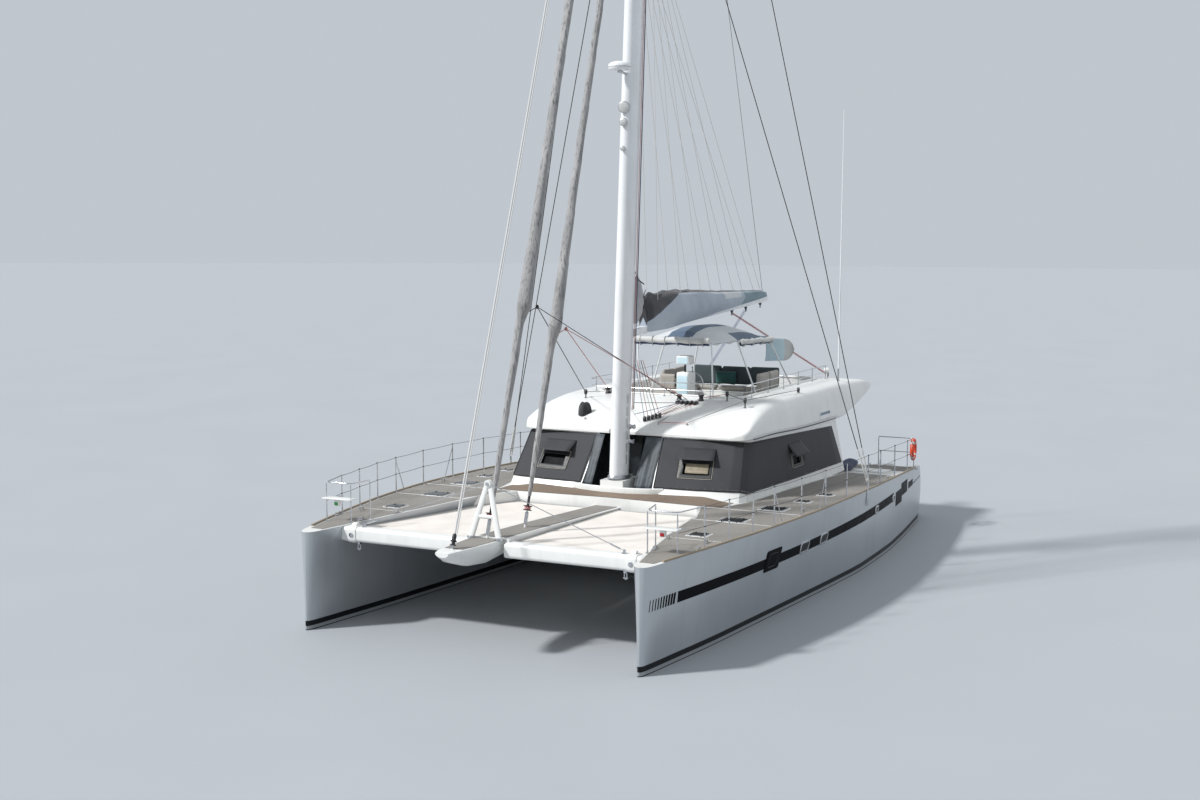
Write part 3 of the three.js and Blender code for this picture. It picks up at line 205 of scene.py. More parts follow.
def lathe(profile, base, axis=(0, 0, 1), sides=24):
    """A turned body: base + height * axis + radius * (cos t, sin t) over (radius, height) pairs."""
    profile = np.asarray(profile, float)
    axis = unit(axis)
    side = unit(np.cross(axis, (0.0, 1.0, 0.0) if abs(axis[1]) < 0.9 else (1.0, 0.0, 0.0)))
    ring = circle(sides) @ np.stack([side, np.cross(axis, side)])
    points = np.asarray(base, float) + profile[:, 1, None, None] * axis + profile[:, 0, None, None] * ring
    return surface(shut(points))


def block(low, high, edge, steps=2):
    """A box with round upright corners and softened top and bottom edges, from corner to corner."""
    low, high = np.asarray(low, float), np.asarray(high, float)
    size = high - low
    edge = min(edge, 0.45 * size.min())
    t = np.linspace(0, pi / 2, steps + 1)
    inset = edge * np.concatenate([1 - np.sin(t), (1 - np.sin(t))[::-1]])
    z = np.concatenate([low[2] + edge * (1 - np.cos(t)), (high[2] - edge * (1 - np.cos(t)))[::-1]])
    rings = [rounded(size[0] - 2 * d, size[1] - 2 * d, max(edge - d, 1e-4) + 1e-4, steps) for d in inset]
    plan = np.stack(rings) + (low + high)[:2] / 2
    return surface(shut(coords(plan[..., 0], plan[..., 1], z[:, None])))


# %% [markdown]
# Fittings such as hatches, portlights and pads lie on curved skins. They share one form: a plate
# drawn flat as an outline, with `place(a, b, h)` carrying each flat point onto the skin at a height.
# The plate's face is worked out in rings from its middle, so it follows the skin under it.

# %% Plates and strips on a skin
def scaled_about(outline, amount):
    """An outline drawn in towards its middle by a distance, by scaling each way."""
    low, high = outline.min(0), outline.max(0)
    factor = np.maximum((high - low - 2 * amount) / (high - low), 0.02)
    return (outline - (low + high) / 2) * factor + (low + high) / 2


def plate(outline, place, height, sink, lip=0.004, hole=None):
    """A closed plate: rings of the outline, its top at height with an edge rounded by lip, its
    foot sunk below the skin. With a hole, the rings run from that inner outline out and back."""
    outline = np.asarray(outline, float)
    middle = (outline.min(0) + outline.max(0)) / 2
    if hole is None:
        top = [(middle + (outline - middle) * part, height) for part in (0, 0.35, 0.7)]
        foot = [(middle + (outline - middle) * part, -sink) for part in (0.5, 0)]
    else:
        top = [(hole, -sink), (hole, height - lip), (scaled_about(hole, -lip), height)]
        foot = [(hole, -sink)]
    rim = [(scaled_about(outline, lip), height), (scaled_about(outline, lip * 0.3), height - lip * 0.3),
           (outline, height - lip), (outline, -sink)]
    rings = [place(flat[:, 0], flat[:, 1], np.full(len(flat), h)) for flat, h in top + rim + foot]
    return surface(np.stack(rings))


def strip(place, along, loop):
    """A band along a skin: at each stop the closed loop of (b, h) pairs, its ends closed."""
    along = np.asarray(along, float)
    loop = np.broadcast_to(loop, (len(along), *np.shape(loop)[-2:]))
    return surface(shut(place(along[:, None] + 0 * loop[..., 0], loop[..., 0], loop[..., 1])))


def moved(shape, by):
    """A grid moved by a vector."""
    return shape[0] + np.asarray(by, float), shape[1]


def turned(shape, axis, angle):
    """A grid turned about one of the frame's axes: each point times the rotation's matrix."""
    return shape[0] @ np.array(Matrix.Rotation(angle, 3, axis)).T, shape[1]


# %% [markdown]
# A piece is one Blender object. Its grids become one mesh, whose doubles are merged and whose
# faces are then turned outwards. A name with SIDE in it makes the port piece and its mirror image,
# so both hulls always match.

# %% Pieces
MERGE_DISTANCE, COPY_MERGE = 2e-5, 1e-5
BEVEL_ANGLE, COPY_SHARP = 40, 30


def linked(name, data):
    """A new object with this mesh, light or camera, linked to the scene."""
    obj = bpy.data.objects.new(name, data)
    bpy.context.scene.collection.objects.link(obj)
    return obj


def dress(mesh, looks):
    """Gives a mesh these materials and no others. Its faces' material indices go back to 0."""
    mesh.materials.clear()
    for look in looks:
        mesh.materials.append(look)


def mesh_of(name, parts):
    """One mesh from (grid, material) pairs: four-cornered faces, UV at each corner."""
    points, faces, uvs, kinds, looks = [], [], [], [], []
    start = 0
    for (grid, uv), look in parts:
        rows, columns = grid.shape[:2]
        index = np.arange(rows * columns).reshape(rows, columns)
        quads = np.stack([index[:-1, :-1], index[:-1, 1:], index[1:, 1:], index[1:, :-1]], -1).reshape(-1, 4)
        if look not in looks:
            looks.append(look)
        points.append(grid.reshape(-1, 3))
        uvs.append(uv.reshape(-1, 2)[quads].reshape(-1, 2))
        faces.append(quads + start)
        kinds.append(np.full(len(quads), looks.index(look)))
        start += rows * columns
    mesh = bpy.data.meshes.new(name)
    mesh.from_pydata(np.concatenate(points), [], np.concatenate(faces).tolist())
    mesh.uv_layers.new(name="UVMap").data.foreach_set("uv", np.concatenate(uvs).ravel())
    dress(mesh, looks)
    mesh.polygons.foreach_set("material_index", np.concatenate(kinds))
    tidy_mesh(mesh)
    return mesh


def tidy_mesh(mesh):
    """Merges doubles, drops faces with no area and turns the rest outwards."""
    work = bmesh.new()
    work.from_mesh(mesh)
    bmesh.ops.remove_doubles(work, verts=work.verts, dist=MERGE_DISTANCE)
    bmesh.ops.dissolve_degenerate(work, dist=MERGE_DISTANCE / 2, edges=work.edges)
    bmesh.ops.recalc_face_normals(work, faces=work.faces)
    work.to_mesh(mesh)
    work.free()


def apply_modifiers(obj):
    """Replaces an object's mesh by what its modifiers make of it."""
    bpy.context.view_layer.update()
    graph = bpy.context.evaluated_depsgraph_get()
    obj.data = bpy.data.meshes.new_from_object(obj.evaluated_get(graph))
    obj.modifiers.clear()


def cut_away(obj, rounds):
    """Cuts closed grids out of an object with the exact solver, one round of grids at a time."""
    tools = [linked("cutter", mesh_of("cutter", [(grid, None) for grid in grids])) for grids in rounds]
    for tool in tools:
        cut = obj.modifiers.new("cut", "BOOLEAN")
        cut.operation, cut.solver, cut.object = "DIFFERENCE", "EXACT", tool
    apply_modifiers(obj)
    for tool in tools:
        bpy.data.objects.remove(tool)


def paint_faces(mesh, rule):
    """Sets each face's material by a rule on the faces' centres and normals."""
    centre, normal = np.empty((2, len(mesh.polygons) * 3))
    mesh.polygons.foreach_get("center", centre)
    mesh.polygons.foreach_get("normal", normal)
    mesh.polygons.foreach_set("material_index",
                              rule(centre.reshape(-1, 3), normal.reshape(-1, 3)).astype(int))


def settle(obj, body, stands_for):
    """Puts a finished object in the scene, on its body, in place of its CAD nodes."""
    if obj.name not in bpy.context.scene.collection.objects:
        bpy.context.scene.collection.objects.link(obj)
    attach(obj, body)
    if stands_for:
        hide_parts(*stands_for)
    return obj


def finish_edges(obj, sharp, thickness=0, bevel=0):
    """Smooth shading with sharp edges by angle, then the live modifiers."""
    obj.data.shade_smooth()
    obj.data.set_sharp_from_angle(angle=radians(sharp))
    if thickness:
        wall = obj.modifiers.new("cloth thickness", "SOLIDIFY")
        wall.thickness, wall.offset = thickness, 0
    if bevel:
        edge = obj.modifiers.new("soft edges", "BEVEL")
        edge.width, edge.segments, edge.limit_method = bevel, 2, "ANGLE"
        edge.angle_limit = radians(BEVEL_ANGLE)
        edge.harden_normals = True


def piece(name, parts, body="hull_assembly", stands_for=(), sharp=35, thickness=0,
          bevel=0, cut=(), paint=None, looks=()):
    """Makes a piece, or with SIDE in its name the port one and its mirror image."""
    sides = ("port", "starboard") if "SIDE" in name else ("",)
    first = linked(name.replace("SIDE", sides[0]), mesh_of(name, parts))
    if cut:
        cut_away(first, cut)
    if paint:
        dress(first.data, looks)
        paint_faces(first.data, paint)
    finish_edges(first, sharp, thickness, bevel)
    made = [first]
    if len(sides) == 2:
        twin = first.copy()
        twin.name = name.replace("SIDE", "starboard")
        twin.data = first.data.copy()
        twin.data.transform(Matrix.Scale(-1, 4, (1, 0, 0)))
        twin.data.flip_normals()
        made.append(twin)
    for obj, side in zip(made, sides):
        settle(obj, body.replace("SIDE", side), [n.replace("SIDE", side) for n in stands_for])
    return made if len(sides) == 2 else first


def finished_copy(node, look, bevel, body="hull_assembly", name=None, paint=None, looks=()):
    """A CAD node's shape with its loose triangles merged, its flat faces made whole and its edges
    softened. The node itself stays as it is, hidden behind this copy."""
    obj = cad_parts[node].copy()
    obj.data = obj.data.copy()
    obj.parent = None
    for key in list(obj.keys()):
        del obj[key]
    obj.name = name or node + "_shell"
    work = bmesh.new()
    work.from_mesh(obj.data)
    bmesh.ops.remove_doubles(work, verts=work.verts, dist=COPY_MERGE)
    bmesh.ops.dissolve_limit(work, angle_limit=radians(1), verts=work.verts, edges=work.edges)
    work.to_mesh(obj.data)
    work.free()
    dress(obj.data, looks or (look,))
    if paint:
        paint_faces(obj.data, paint)
    obj.hide_render = obj.hide_viewport = False
    finish_edges(obj, COPY_SHARP, bevel=bevel)
    return settle(obj, body, [node])


# %% [markdown]
# A finish is a Principled shader whose colour, roughness and bump vary over the surface.
# The effects that several finishes share are node groups, built once: mottling, run marks,
# woven threads and deck planks. A group only puts out masks and heights. The shader and the
# values that are the same all over stay in each material.

# %% Node helpers
def node(tree, kind, inputs=None, **settings):
    """Adds a node. An input that is a socket is linked, anything else is set as its value."""
    made = tree.nodes.new(kind)
    for key, value in settings.items():
        setattr(made, key, value)
    for key, value in (inputs or {}).items():
        if isinstance(value, bpy.types.NodeSocket):
            tree.links.new(value, made.inputs[key])
        else:
            made.inputs[key].default_value = value
    return made


def math_node(tree, operation, a, b=0.0):
    """One arithmetic step."""
    return node(tree, "ShaderNodeMath", {0: a, 1: b}, operation=operation).outputs[0]


def spread(tree, value, low, high, from_low=0.0, from_high=1.0):
    """A value stretched from one range to another."""
    given = {"Value": value, "From Min": from_low, "From Max": from_high, "To Min": low, "To Max": high}
    return node(tree, "ShaderNodeMapRange", given).outputs["Result"]


def new_group(name, inputs, outputs):
    """An empty node group with named sockets, and its two ends."""
    tree = bpy.data.node_groups.new(name, "ShaderNodeTree")
    for label, kind, value in inputs:
        socket = tree.interface.new_socket(label, in_out="INPUT", socket_type="NodeSocket" + kind)
        if value is not None:
            socket.default_value = value
    for label in outputs:
        tree.interface.new_socket(label, in_out="OUTPUT", socket_type="NodeSocketFloat")
    return tree, tree.nodes.new("NodeGroupInput").outputs, tree.nodes.new("NodeGroupOutput")


# %% Shared effects
def mottle_group():
    """Soft blotches: layered noise, stretched to fill 0 to 1."""
    tree, given, out = new_group("Mottle", [("Vector", "Vector", None), ("Scale", "Float", 3.0)], ["Mask"])
    noise = node(tree, "ShaderNodeTexNoise",
                 {"Vector": given["Vector"], "Scale": given["Scale"], "Detail": 4.0})
    tree.links.new(spread(tree, noise.outputs["Fac"], 0, 1, 0.3, 0.7), out.inputs["Mask"])
    return tree


def runs_group():
    """Marks that water leaves down a side: noise squeezed sideways and stretched in height."""
    tree, given, out = new_group("Run marks", [("Vector", "Vector", None), ("Width", "Float", 5.0)], ["Mask"])
    squeezed = node(tree, "ShaderNodeVectorMath", {0: given["Vector"], 1: (1.0, 1.0, 0.06)},
                    operation="MULTIPLY")
    noise = node(tree, "ShaderNodeTexNoise",
                 {"Vector": squeezed.outputs[0], "Scale": given["Width"], "Detail": 3.0})
    tree.links.new(spread(tree, noise.outputs["Fac"], 0, 1, 0.52, 0.78), out.inputs["Mask"])
    return tree


def weave_group():
    """Threads over and under: the product of two sine waves across the UV, in threads a metre."""
    tree, given, out = new_group("Weave", [("Vector", "Vector", None), ("Threads", "Float", 300.0)],
                                 ["Height"])
    parts = node(tree, "ShaderNodeSeparateXYZ", {0: given["Vector"]})
    waves = []
    for axis in ("X", "Y"):
        angle = math_node(tree, "MULTIPLY",
                          math_node(tree, "MULTIPLY", parts.outputs[axis], given["Threads"]), pi)
        waves.append(math_node(tree, "ABSOLUTE", math_node(tree, "SINE", angle)))
    tree.links.new(math_node(tree, "MAXIMUM", *waves), out.inputs["Height"])
    return tree


def planks_group():
    """Planks along V: U in plank widths gives each plank's number, and a seam at its edges."""
    tree, given, out = new_group("Planks", [("Vector", "Vector", None), ("Width", "Float", 0.055),
                                            ("Seam", "Float", 0.1)], ["Seam", "Tone", "Grain"])
    parts = node(tree, "ShaderNodeSeparateXYZ", {0: given["Vector"]})
    count = math_node(tree, "DIVIDE", parts.outputs["X"], given["Width"])
    seam = math_node(tree, "LESS_THAN", math_node(tree, "FRACT", count), given["Seam"])
    number = math_node(tree, "FLOOR", count)
    stagger = math_node(tree, "FLOOR",
                        math_node(tree, "ADD", math_node(tree, "DIVIDE", parts.outputs["Y"], 2.2),
                                                 math_node(tree, "MULTIPLY", number, 0.37)))
    seed = node(tree, "ShaderNodeCombineXYZ", {"X": number, "Y": stagger})
    tone = node(tree, "ShaderNodeTexWhiteNoise", {"Vector": seed.outputs[0]}, noise_dimensions="3D")
    fibres = node(tree, "ShaderNodeVectorMath", {0: given["Vector"], 1: (60.0, 2.5, 1.0)},
                  operation="MULTIPLY")
    grain = node(tree, "ShaderNodeTexNoise", {"Vector": fibres.outputs[0], "Scale": 1.5, "Detail": 5.0})
    for label, value in (("Seam", seam), ("Tone", tone.outputs["Value"]), ("Grain", grain.outputs["Fac"])):
        tree.links.new(value, out.inputs[label])
    return tree


MOTTLE, RUNS, WEAVE, PLANKS = mottle_group(), runs_group(), weave_group(), planks_group()
print("effects", [g.name for g in (MOTTLE, RUNS, WEAVE, PLANKS)])


# %% A material and its usual links
class Finish:
    """A material being made: its node tree, its shader and the links that most finishes share."""

    def __init__(self, name, **sockets):
        self.material = bpy.data.materials.new(name)
        self.material.use_nodes = True
        self.tree = self.material.node_tree
        self.shader = self.tree.nodes["Principled BSDF"]
        for key, value in sockets.items():
            self.shader.inputs[key.replace("_", " ").title().replace("Ior", "IOR")].default_value = value
        self.place = node(self.tree, "ShaderNodeTexCoord")

    def effect(self, group, outlet, along="Object", **values):
        """A group's output with its values set, read along Object or UV coordinates."""
        made = node(self.tree, "ShaderNodeGroup", node_tree=group)
        self.tree.links.new(self.place.outputs[along], made.inputs["Vector"])
        for key, value in values.items():
            made.inputs[key].default_value = value
        return made.outputs[outlet]

    def mottle(self, scale):
        """Blotches that lie about one over scale metres apart."""
        return self.effect(MOTTLE, "Mask", Scale=scale)

    def math(self, operation, a, b):
        """One arithmetic step in this material's tree."""
        return math_node(self.tree, operation, a, b)

    def colour(self, mask, first, second, over=None):
        """Mixes two colours, or a colour over an earlier mix, by a mask."""
        mix = node(self.tree, "ShaderNodeMix", {"Factor": mask}, data_type="RGBA")
        a, b = (i for i in mix.inputs if i.type == "RGBA")
        for socket, value in ((a, over or first), (b, second)):
            if isinstance(value, bpy.types.NodeSocket):
                self.tree.links.new(value, socket)
            else:
                socket.default_value = (*value, 1.0)
        result = next(o for o in mix.outputs if o.type == "RGBA")
        self.tree.links.new(result, self.shader.inputs["Base Color"])
        return result

    def rough(self, mask, low, high):
        """Roughness from low to high as the mask goes from 0 to 1."""
        self.tree.links.new(spread(self.tree, mask, low, high), self.shader.inputs["Roughness"])

    def bump(self, height, distance, strength=1.0):
        """Bump of a height in metres, on top of any bump made before."""
        made = node(self.tree, "ShaderNodeBump",
                    {"Height": height, "Distance": distance, "Strength": strength})
        before = self.shader.inputs["Normal"]
        if before.is_linked:
            self.tree.links.new(before.links[0].from_socket, made.inputs["Normal"])
        self.tree.links.new(made.outputs["Normal"], before)


# %% [markdown]
# The topsides are metallic silver. Low on them run a black stripe, a pale one and the black of the
# bottom paint. These lie at fixed heights above the water, so the paint reads the object's own Z.

def toned(colour, factor):
    """A colour made lighter or darker."""
    return tuple(factor * c for c in colour)


# %% Hull paint
BOOT_TOP = {"pale_low": 0.02, "pale_high": 0.10, "black_high": 0.225}


def hull_paint():
    paint = Finish("hull_paint", coat_roughness=0.12, specular_ior_level=0.2)
    z = node(paint.tree, "ShaderNodeSeparateXYZ", {0: paint.place.outputs["Object"]}).outputs["Z"]
    blotch = paint.mottle(0.7)
    silver = paint.colour(blotch, (0.46, 0.485, 0.51), (0.50, 0.525, 0.55))
    marks = paint.math("MULTIPLY", paint.effect(RUNS, "Mask", Width=3.0), 0.22)
    silver = paint.colour(marks, None, (0.33, 0.34, 0.34), over=silver)
    below_black = paint.math("LESS_THAN", z, BOOT_TOP["black_high"])
    striped = paint.colour(below_black, None, (0.006, 0.007, 0.009), over=silver)
    above_low = paint.math("GREATER_THAN", z, BOOT_TOP["pale_low"])
    pale = paint.math("MULTIPLY", above_low, paint.math("LESS_THAN", z, BOOT_TOP["pale_high"]))
    paint.colour(pale, None, (0.30, 0.32, 0.33), over=striped)
    topsides = paint.math("SUBTRACT", 1.0, below_black)
    for socket, value in (("Metallic", 0.6), ("Coat Weight", 0.25)):
        paint.tree.links.new(paint.math("MULTIPLY", topsides, value), paint.shader.inputs[socket])
    paint.rough(blotch, 0.30, 0.38)
    paint.bump(paint.mottle(0.35), 0.004, 0.2)
    return paint.material


# %% White finishes
def white_finish(name, light, dark, rough, grain_scale=90.0, grain_depth=0.0004, streak=0.25):
    """Gelcoat or paint: nearly white, greyer in blotches and runs, with an orange-peel bump."""
    paint = Finish(name, coat_weight=0.25, coat_roughness=0.15)
    blotch = paint.mottle(1.3)
    base = paint.colour(blotch, light, toned(light, 0.93))
    marks = paint.math("MULTIPLY", paint.effect(RUNS, "Mask", Width=6.0), streak)
    paint.colour(marks, None, dark, over=base)
    paint.rough(blotch, rough, rough + 0.12)
    paint.bump(paint.mottle(grain_scale), grain_depth, 0.5)
    return paint.material


# %% [markdown]
# The decks are laid teak gone grey in the sun, with dark seams. Newer teak on the rail is tan.
# Planks follow the deck's outer edge, so the pattern reads the UV map: U is metres from that edge.

# %% Wood
def wood(name, light, dark, plank, seam_share, seam_colour, rough=0.7):
    timber = Finish(name)
    grain, tone, seam = (timber.effect(PLANKS, outlet, "UV", Width=plank, Seam=seam_share)
                         for outlet in ("Grain", "Tone", "Seam"))
    base = timber.colour(grain, light, dark)
    base = timber.colour(timber.math("MULTIPLY", tone, 0.35), None, toned(light, 0.72), over=base)
    worn = timber.math("MULTIPLY", timber.mottle(0.9), 0.45)
    base = timber.colour(worn, None, toned(light, 1.25), over=base)
    timber.colour(seam, None, seam_colour, over=base)
    timber.rough(grain, rough - 0.1, rough + 0.15)
    timber.bump(grain, 0.0008, 0.6)
    timber.bump(timber.math("SUBTRACT", 1.0, seam), 0.0015, 0.5)
    return timber.material


# %% Cloth
def cloth(name, light, dark, threads, depth, rough=0.9, blotch_scale=1.5, sheen=0.2, fold=0.006, wrinkle=0.0):
    """Woven cloth: threads by UV as bump with painted shade in the gaps, blotches of fading, soft wrinkles.
    A wrinkle width adds upright creases, with painted shade in their valleys."""
    fabric = Finish(name, sheen_weight=sheen)
    weave = fabric.effect(WEAVE, "Height", "UV", Threads=threads)
    faded = fabric.mottle(blotch_scale)
    base = fabric.colour(faded, dark, light)
    # painted shade: the gaps between the threads are darker
    gap_shade = spread(fabric.tree, weave, 0.5, 0.0, 0.0, 0.5)
    base = fabric.colour(gap_shade, None, toned(dark, 0.35), over=base)
    if wrinkle:
        creases = fabric.effect(RUNS, "Mask", Width=wrinkle)
        # painted shade: the creases are darker in their valleys
        fabric.colour(creases, None, toned(dark, 0.45), over=base)
        fabric.bump(fabric.math("SUBTRACT", 1.0, creases), 0.02, 0.6)
    fabric.rough(faded, rough - 0.1, rough)
    fabric.bump(weave, depth, 0.5)
    fabric.bump(fabric.mottle(2.2), fold, 0.35)
    return fabric.material


# %% Metal, plastic, glass and rope
def plain_finish(name, first, second, scale, rough, depth=0.0003, **sockets):
    """A finish with blotches of two tones, uneven roughness and a fine bump."""
    made = Finish(name, **sockets)
    blotch = made.mottle(scale)
    made.colour(blotch, first, second)
    made.rough(blotch, rough, rough + 0.12)
    made.bump(made.mottle(scale * 12), depth, 0.4)
    return made.material


ROPE_TWIST = 55.0


def rope(name, main, fleck):
    """Laid rope: the sine of U plus V times ROPE_TWIST, as fleck colour and as bump."""
    line = Finish(name)
    parts = node(line.tree, "ShaderNodeSeparateXYZ", {0: line.place.outputs["UV"]})
    turn = line.math("MULTIPLY", line.math("ADD", parts.outputs["X"], parts.outputs["Y"]), ROPE_TWIST)
    ridge = line.math("ABSOLUTE", line.math("SINE", turn, 0.0), 0.0)
    line.colour(line.math("GREATER_THAN", ridge, 0.85), main, fleck)
    line.rough(ridge, 0.75, 0.95)
    line.bump(ridge, 0.0015, 0.7)
    return line.material


# %% The boat's finishes
SILVER = hull_paint()
GELCOAT = white_finish("white_gelcoat", (0.80, 0.80, 0.775), (0.55, 0.54, 0.49), 0.28)
DECK_WHITE = white_finish("non_skid_deck", (0.70, 0.70, 0.67), (0.42, 0.41, 0.37), 0.55, 240.0, 0.001)
MAST_WHITE = white_finish("mast_paint", (0.80, 0.81, 0.82), (0.50, 0.50, 0.48), 0.25, 60.0, 0.0002, 0.35)
# painted shade: a dark grey on the insides of the engine rooms and the hatch wells
SHADE_LINING = white_finish("shaded_lining", (0.30, 0.30, 0.29), (0.16, 0.16, 0.15), 0.6)
TEAK = wood("weathered_teak", (0.285, 0.265, 0.24), (0.175, 0.16, 0.14), 0.055, 0.1, (0.03, 0.028, 0.025))
FORE_TEAK = wood("brown_teak", (0.23, 0.175, 0.13), (0.12, 0.085, 0.06), 0.055, 0.1, (0.03, 0.026, 0.022))
TAN_WOOD = wood("tan_rail_wood", (0.33, 0.27, 0.20), (0.22, 0.17, 0.12), 5.0, 0.0, (0.1, 0.07, 0.05), 0.55)
VARNISHED = wood("varnished_table", (0.33, 0.17, 0.07), (0.16, 0.07, 0.03), 0.08, 0.03, (0.05, 0.03, 0.02),
                 0.3)
NET_CLOTH = cloth("cream_net", (0.80, 0.74, 0.68), (0.70, 0.645, 0.585), 22.0, 0.004, fold=0.02)
CHARCOAL = cloth("charcoal_mesh", (0.040, 0.041, 0.045), (0.024, 0.025, 0.029), 160.0, 0.0006, 0.8,
                 sheen=0.04, fold=0.01)
BINDING = cloth("black_binding", (0.016, 0.016, 0.018), (0.010, 0.010, 0.012), 260.0, 0.0005, 0.8)
CANVAS = cloth("blue_grey_canvas", (0.42, 0.47, 0.53), (0.33, 0.38, 0.44), 300.0, 0.0004, 0.85, 0.8)
PALE_CANVAS = cloth("pale_canvas", (0.62, 0.64, 0.64), (0.50, 0.52, 0.53), 300.0, 0.0004, 0.85, 0.8)
NAVY_CANVAS = cloth("navy_canvas", (0.035, 0.05, 0.12), (0.018, 0.028, 0.07), 300.0, 0.0004, 0.9)
SAIL_DARK = cloth("folded_sail", (0.05, 0.05, 0.055), (0.02, 0.02, 0.024), 260.0, 0.0006, 0.8)
FURLED_GREY = cloth("furled_sail", (0.37, 0.36, 0.355), (0.24, 0.236, 0.235), 220.0, 0.0006, 0.85, 1.2,
                    fold=0.02, wrinkle=22.0)
LIGHT_SAILCLOTH = cloth("light_sailcloth", (0.42, 0.41, 0.42), (0.30, 0.30, 0.31), 220.0, 0.0006, 0.85, 2.0,
                        wrinkle=14.0)
BIMINI_BLUE = cloth("bimini_canvas", (0.085, 0.135, 0.20), (0.05, 0.085, 0.14), 300.0, 0.0004, 0.85, 0.8)
TEAL_GREY = cloth("teal_grey_canvas", (0.20, 0.29, 0.33), (0.14, 0.21, 0.25), 300.0, 0.0004, 0.85, 0.8)
SAIL_WHITE = cloth("white_sailcloth", (0.62, 0.62, 0.60), (0.50, 0.50, 0.48), 200.0, 0.0006, 0.7)
BEIGE = cloth("beige_upholstery", (0.44, 0.41, 0.37), (0.34, 0.315, 0.28), 420.0, 0.0005, 0.9)
SLATE = cloth("slate_upholstery", (0.055, 0.075, 0.08), (0.035, 0.05, 0.055), 420.0, 0.0005, 0.9)
TEAL = cloth("teal_upholstery", (0.02, 0.10, 0.095), (0.012, 0.055, 0.055), 420.0, 0.0005, 0.9)
ORANGE_RED = plain_finish("orange_cover", (0.75, 0.075, 0.015), (0.55, 0.04, 0.01), 9.0, 0.5)
REFLECTIVE = plain_finish("pale_tape", (0.62, 0.62, 0.60), (0.5, 0.5, 0.48), 20.0, 0.35)
STEEL = plain_finish("polished_steel", (0.63, 0.64, 0.66), (0.50, 0.51, 0.53), 14.0, 0.14, metallic=1.0)
ALUMINIUM = plain_finish("satin_aluminium", (0.58, 0.59, 0.60), (0.47, 0.48, 0.49), 18.0, 0.32, metallic=0.9)
BLACK_GLASS = plain_finish("black_glass", (0.003, 0.0035, 0.004), (0.006, 0.007, 0.008), 3.0, 0.08, 0.0001,
                           specular_ior_level=0.25)
SMOKED = plain_finish("smoked_acrylic", (0.008, 0.010, 0.012), (0.015, 0.018, 0.02), 5.0, 0.10, 0.0001,
                      specular_ior_level=0.3)
BAND_BLACK = plain_finish("black_band", (0.003, 0.0035, 0.0045), (0.006, 0.007, 0.009), 3.0, 0.35, 0.0001,
                          specular_ior_level=0.03)
BLACK_PLASTIC = plain_finish("black_plastic", (0.012, 0.012, 0.013), (0.03, 0.03, 0.032), 25.0, 0.42)
PALE_BLUE = plain_finish("pale_blue_panel", (0.50, 0.66, 0.72), (0.57, 0.70, 0.75), 2.0, 0.45)
BLUE_LENS = plain_finish("blue_grey_lens", (0.10, 0.16, 0.22), (0.15, 0.22, 0.28), 6.0, 0.12)
BLIND = plain_finish("pale_blind", (0.20, 0.17, 0.11), (0.32, 0.28, 0.20), 7.0, 0.6)
PIPING = plain_finish("vent_piping", (0.36, 0.33, 0.27), (0.46, 0.43, 0.37), 20.0, 0.6)
RED_LENS = plain_finish("red_lens", (0.45, 0.008, 0.012), (0.3, 0.004, 0.008), 30.0, 0.1)
GREEN_LENS = plain_finish("green_lens", (0.006, 0.22, 0.05), (0.004, 0.14, 0.03), 30.0, 0.1)
ANTIFOUL = plain_finish("antifouling", (0.012, 0.014, 0.018), (0.03, 0.034, 0.036), 6.0, 0.7, 0.0015)
BRONZE = plain_finish("cast_bronze", (0.42, 0.26, 0.10), (0.28, 0.17, 0.07), 16.0, 0.28, metallic=0.95)
ENGINE_ENAMEL = plain_finish("engine_enamel", (0.12, 0.15, 0.15), (0.08, 0.10, 0.10), 8.0, 0.4)
BLACK_ROPE = rope("black_rope", (0.014, 0.014, 0.016), (0.05, 0.05, 0.055))
GREY_ROPE = rope("grey_rope", (0.24, 0.24, 0.23), (0.12, 0.12, 0.12))
WHITE_ROPE = rope("white_rope", (0.60, 0.58, 0.54), (0.40, 0.39, 0.36))
PALE_ROPE = rope("pale_grey_rope", (0.66, 0.65, 0.64), (0.46, 0.46, 0.45))
RED_ROPE = rope("red_rope", (0.42, 0.03, 0.03), (0.55, 0.50, 0.46))
BLUE_ROPE = rope("blue_rope", (0.03, 0.08, 0.26), (0.50, 0.50, 0.52))
print("finishes", len(bpy.data.materials))

# %% [markdown]
# The hulls are long and slender with round bows and sterns that rake forward at deck level.
# A hull is a skin over cross-sections. Their breadths and depths come from a short table, and a
# smooth line through each column gives as many sections as the skin needs. Lofting by hand would
# give the same form with far more numbers.

# %% Hull lines
HULL_X = 4.3
STERN_ROUND_Y, STERN_END_Y, STERN_ROUNDING = 9.0, 10.3, 0.42
STERN_MIDDLE_Z, STERN_REACH_Z = 0.85, 0.9
SECTIONS_EACH = 6
SHEER = {"bow": 2.34, "rise": 0.20, "fall": 0.24, "bow_y": -11.0, "pitch": 10.0}
# y, half breadth at the deck, half breadth at the waterline, depth of the canoe body
STATIONS = np.array([
    (-11.0, 0.025, 0.015, 0.25), (-10.96, 0.11, 0.05, 0.42), (-10.85, 0.18, 0.08, 0.56),
    (-10.6, 0.255, 0.12, 0.70), (-10.3, 0.315, 0.16, 0.80), (-9.6, 0.465, 0.245, 0.93),
    (-8.9, 0.61, 0.335, 1.02), (-7.8, 0.81, 0.46, 1.08), (-6.8, 0.985, 0.55, 1.12),
    (-5.7, 1.125, 0.65, 1.15), (-4.15, 1.27, 0.79, 1.18), (-2.5, 1.35, 0.935, 1.20),
    (-0.8, 1.365, 1.08, 1.20), (1.2, 1.325, 1.195, 1.18), (3.6, 1.21, 1.165, 1.11),
    (5.5, 1.06, 1.045, 1.0), (7.0, 0.93, 0.905, 0.88), (8.0, 0.83, 0.80, 0.74),
    (9.0, 0.70, 0.69, 0.56), (9.7, 0.60, 0.56, 0.40), (10.1, 0.50, 0.43, 0.25), (10.3, 0.38, 0.30, 0.12),
])


